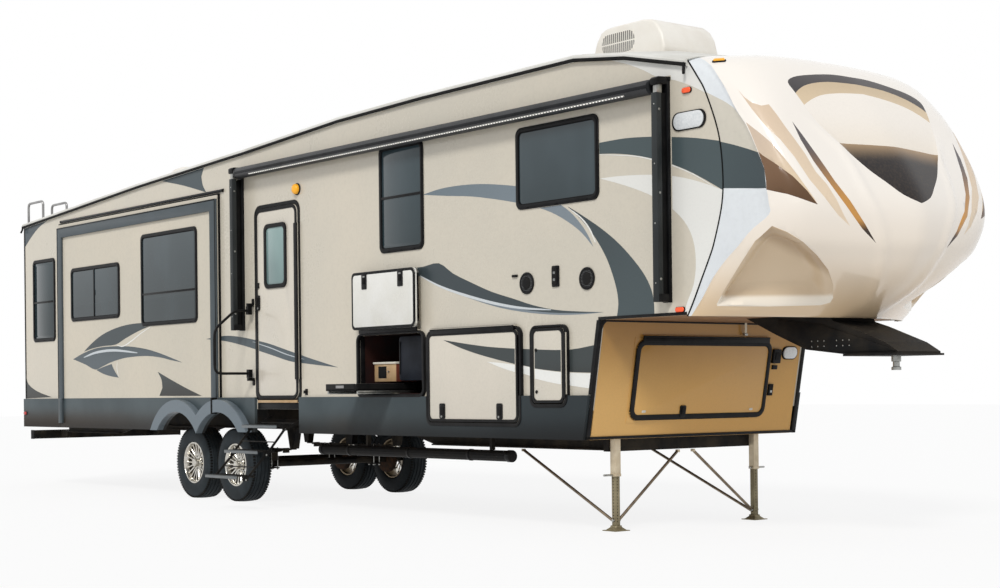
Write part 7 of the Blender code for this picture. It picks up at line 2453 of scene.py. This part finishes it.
class StageSizes(bpy.types.PropertyGroup):
    """Floor, light and camera."""

    floor_tone: bpy.props.FloatVectorProperty(
        name="Floor Colour", description="Colour of the floor", default=(0.86, 0.86, 0.86), min=0.0, max=1.0,
        subtype="COLOR")
    key_strength: bpy.props.FloatProperty(
        name="Key Light", description="Strength of the main light", default=1.75, min=0.0, max=10.0)
    fill_strength: bpy.props.FloatProperty(
        name="Fill Light", description="Strength of the even light from all round", default=0.52, min=0.0,
        max=2.0)
    focal_length: bpy.props.FloatProperty(
        name="Focal Length", description="Focal length of the camera, in millimetres", default=61.16,
        min=10.0, max=200.0)


# ---------------------------------------------------------------- stage

# Where the camera stands, how it is turned in radians, and how far its picture is shifted up
CAMERA_PLACE = Vector((16.157243, -10.154854, 1.157881))
CAMERA_YAW, CAMERA_PITCH, CAMERA_ROLL = 0.893366, 0.00250064, -0.0112355
CAMERA_RISE = 0.0907


def white_for_view(tree, plain, share):
    """Mixes a shader with plain white for what the camera sees directly, in glass or in metal."""
    path = tree.nodes.new("ShaderNodeLightPath")

    def either(first, second, operation="MAXIMUM"):
        node = tree.nodes.new("ShaderNodeMath")
        node.operation = operation
        tree.links.new(first, node.inputs[0])
        if isinstance(second, float):
            node.inputs[1].default_value = second
        else:
            tree.links.new(second, node.inputs[1])
        return node.outputs[0]

    seen = either(path.outputs["Is Camera Ray"], path.outputs["Is Glossy Ray"])
    seen = either(seen, path.outputs["Is Transmission Ray"])
    mix = tree.nodes.new("ShaderNodeMixShader")
    tree.links.new(either(seen, share, "MULTIPLY"), mix.inputs[0])
    tree.links.new(plain, mix.inputs[1])
    return mix


def build_stage(sizes):
    """Pale floor, soft studio light and the camera."""
    scene = bpy.context.scene
    reach = 70.0  # half of the floor's width
    mesh = bpy.data.meshes.new("floor")
    corners = [Vector((x, y, -GAP)) + ORIGIN for x, y in rect(-reach, reach, -reach, reach)]
    mesh.from_pydata([tuple(corner) for corner in corners], [], [(0, 1, 2, 3)])
    floor = placed("floor", mesh)
    look = bpy.data.materials.new("stage floor")
    look.use_nodes = True
    tree = look.node_tree
    shade = tree.nodes["Principled BSDF"]
    shade.inputs["Base Color"].default_value = (*sizes.floor_tone, 1)
    shade.inputs["Roughness"].default_value = 0.9
    mix = white_for_view(tree, shade.outputs[0], 0.86)
    white = tree.nodes.new("ShaderNodeEmission")
    white.inputs["Strength"].default_value = 1.0
    tree.links.new(white.outputs[0], mix.inputs[2])
    tree.links.new(mix.outputs[0], tree.nodes["Material Output"].inputs[0])
    mesh.materials.append(look)

    world = bpy.data.worlds.new("studio")
    world.use_nodes = True
    tree = world.node_tree
    plain = tree.nodes["Background"]
    plain.inputs["Color"].default_value = (0.96, 0.98, 1.0, 1)
    plain.inputs["Strength"].default_value = sizes.fill_strength
    mix = white_for_view(tree, plain.outputs[0], 1.0)
    bright = tree.nodes.new("ShaderNodeBackground")
    bright.inputs["Color"].default_value = (1, 1, 1, 1)
    bright.inputs["Strength"].default_value = 1.0
    tree.links.new(bright.outputs[0], mix.inputs[2])
    tree.links.new(mix.outputs[0], tree.nodes["World Output"].inputs[0])
    scene.world = world

    sun = bpy.data.lights.new("key light", "SUN")
    sun.energy = sizes.key_strength
    sun.angle = math.radians(14)
    sun.color = (1.0, 0.985, 0.96)
    key = placed("key light", sun)
    key.rotation_euler = Vector((0.55, -0.78, 0.85)).to_track_quat("Z", "Y").to_euler()

    yaw, pitch, roll = CAMERA_YAW, CAMERA_PITCH, CAMERA_ROLL
    ahead = Vector((-math.sin(yaw) * math.cos(pitch), math.cos(yaw) * math.cos(pitch), math.sin(pitch)))
    right = Vector((math.cos(yaw), math.sin(yaw), 0.0))
    above = right.cross(ahead)
    across = right * math.cos(roll) + above * math.sin(roll)
    upward = above * math.cos(roll) - right * math.sin(roll)
    lens_data = bpy.data.cameras.new("camera")
    lens_data.sensor_width = 36.0
    lens_data.lens = sizes.focal_length
    lens_data.shift_y = CAMERA_RISE
    lens_data.clip_end = 300.0
    camera = placed("camera", lens_data)
    turn = Matrix((across, upward, -ahead)).transposed().to_4x4()
    camera.matrix_world = Matrix.Translation(CAMERA_PLACE + ORIGIN) @ turn
    scene.camera = camera
    scene.view_settings.view_transform = "Standard"


# ---------------------------------------------------------------- operators

class FrameFinishes(bpy.types.Operator):
    """Give the plain walls, frame and floor their finishes"""

    bl_idname = "trailer.frame_finishes"
    bl_label = "Frame Finishes"

    def execute(self, context):
        for node, look in CARRIED_OVER.items():
            coat(node, look)
        return {"FINISHED"}


class FrontCap(bpy.types.Operator):
    """Build the moulded front cap with its coloured fields"""

    bl_idname = "trailer.front_cap"
    bl_label = "Front Cap"

    def execute(self, context):
        build_front_cap(context.scene.trailer_cap)
        build_cap_fittings()
        return {"FINISHED"}


class Graphics(bpy.types.Operator):
    """Lay the coloured bands and streaks on the walls"""

    bl_idname = "trailer.graphics"
    bl_label = "Graphics"

    def execute(self, context):
        build_graphics(context.scene.trailer_trim)
        return {"FINISHED"}


class Windows(bpy.types.Operator):
    """Build the windows with their frames and seals"""

    bl_idname = "trailer.windows"
    bl_label = "Windows"

    def execute(self, context):
        build_windows()
        return {"FINISHED"}


class EntryDoor(bpy.types.Operator):
    """Build the entry door and the grab handle beside it"""

    bl_idname = "trailer.entry_door"
    bl_label = "Entry Door"

    def execute(self, context):
        build_entry_door()
        build_door_frame()
        build_grab_handle()
        return {"FINISHED"}


class StorageDoors(bpy.types.Operator):
    """Build the storage doors with their frames and latches"""

    bl_idname = "trailer.storage_doors"
    bl_label = "Storage Doors"

    def execute(self, context):
        build_storage_doors()
        build_front_storage_door()
        return {"FINISHED"}


class Galley(bpy.types.Operator):
    """Build the outside galley with its door, cabinet and sliding tray"""

    bl_idname = "trailer.galley"
    bl_label = "Galley"

    def execute(self, context):
        build_galley_door()
        build_galley_room()
        build_galley_tray()
        return {"FINISHED"}


class SlideRooms(bpy.types.Operator):
    """Trim the two slide out rooms"""

    bl_idname = "trailer.slide_rooms"
    bl_label = "Slide Rooms"

    def execute(self, context):
        build_slides()
        return {"FINISHED"}


class Awning(bpy.types.Operator):
    """Build the rolled awning, its arms and its small lamps"""

    bl_idname = "trailer.awning"
    bl_label = "Awning"

    def execute(self, context):
        build_awning_roll(context.scene.trailer_trim)
        build_awning_arms()
        return {"FINISHED"}


class RoofGear(bpy.types.Operator):
    """Build the air conditioner, the vent, the gutters and the ladder"""

    bl_idname = "trailer.roof_gear"
    bl_label = "Roof Gear"

    def execute(self, context):
        build_air_conditioner()
        build_roof_vent()
        build_roof_edges()
        build_ladder()
        return {"FINISHED"}


class Wheels(bpy.types.Operator):
    """Build the tyres and the spoked rims"""

    bl_idname = "trailer.wheels"
    bl_label = "Wheels"

    def execute(self, context):
        build_wheels(context.scene.trailer_trim)
        return {"FINISHED"}


class RunningGear(bpy.types.Operator):
    """Build the axles, the legs, the steps and the pieces below the frame"""

    bl_idname = "trailer.running_gear"
    bl_label = "Running Gear"

    def execute(self, context):
        build_axles()
        build_undercarriage()
        build_legs()
        build_steps()
        return {"FINISHED"}


class Fittings(bpy.types.Operator):
    """Build the speakers, lamps, mouldings and the small pieces of the walls"""

    bl_idname = "trailer.fittings"
    bl_label = "Fittings"

    def execute(self, context):
        build_wall_fittings()
        build_mouldings()
        build_front_wall_fittings()
        build_rear_fittings()
        return {"FINISHED"}


class Stage(bpy.types.Operator):
    """Set the floor, the light and the camera"""

    bl_idname = "trailer.stage"
    bl_label = "Stage"

    def execute(self, context):
        build_stage(context.scene.trailer_stage)
        return {"FINISHED"}


OPERATORS = (
    FrameFinishes, FrontCap, Graphics, Windows, EntryDoor, StorageDoors, Galley, SlideRooms, Awning, RoofGear,
    Wheels, RunningGear, Fittings, Stage,
)


class TrailerPanel(bpy.types.Panel):
    """Lists the pieces and the sizes"""

    bl_idname = "VIEW3D_PT_trailer_looks"
    bl_label = "Trailer Looks"
    bl_space_type = "VIEW_3D"
    bl_region_type = "UI"
    bl_category = "Trailer"

    def draw(self, context):
        for group, names in (
            (context.scene.trailer_cap, ("scoop_depth", "rib_height", "bead_height", "thickness")),
            (context.scene.trailer_trim, ("film", "lamp_spacing", "spokes", "groove_depth")),
            (context.scene.trailer_stage, ("floor_tone", "key_strength", "fill_strength", "focal_length")),
        ):
            for name in names:
                self.layout.prop(group, name)
        for operator in OPERATORS:
            self.layout.operator(operator.bl_idname)


CLASSES = (CapSizes, TrimSizes, StageSizes, *OPERATORS, TrailerPanel)


def register():
    for kind in CLASSES:
        bpy.utils.register_class(kind)
    bpy.types.Scene.trailer_cap = bpy.props.PointerProperty(type=CapSizes)
    bpy.types.Scene.trailer_trim = bpy.props.PointerProperty(type=TrimSizes)
    bpy.types.Scene.trailer_stage = bpy.props.PointerProperty(type=StageSizes)


def unregister():
    del bpy.types.Scene.trailer_cap
    del bpy.types.Scene.trailer_trim
    del bpy.types.Scene.trailer_stage
    for kind in reversed(CLASSES):
        bpy.utils.unregister_class(kind)


def main():
    register()
    for operator in OPERATORS:
        group, name = operator.bl_idname.split(".")
        getattr(getattr(bpy.ops, group), name)()


if __name__ == "__main__":
    main()
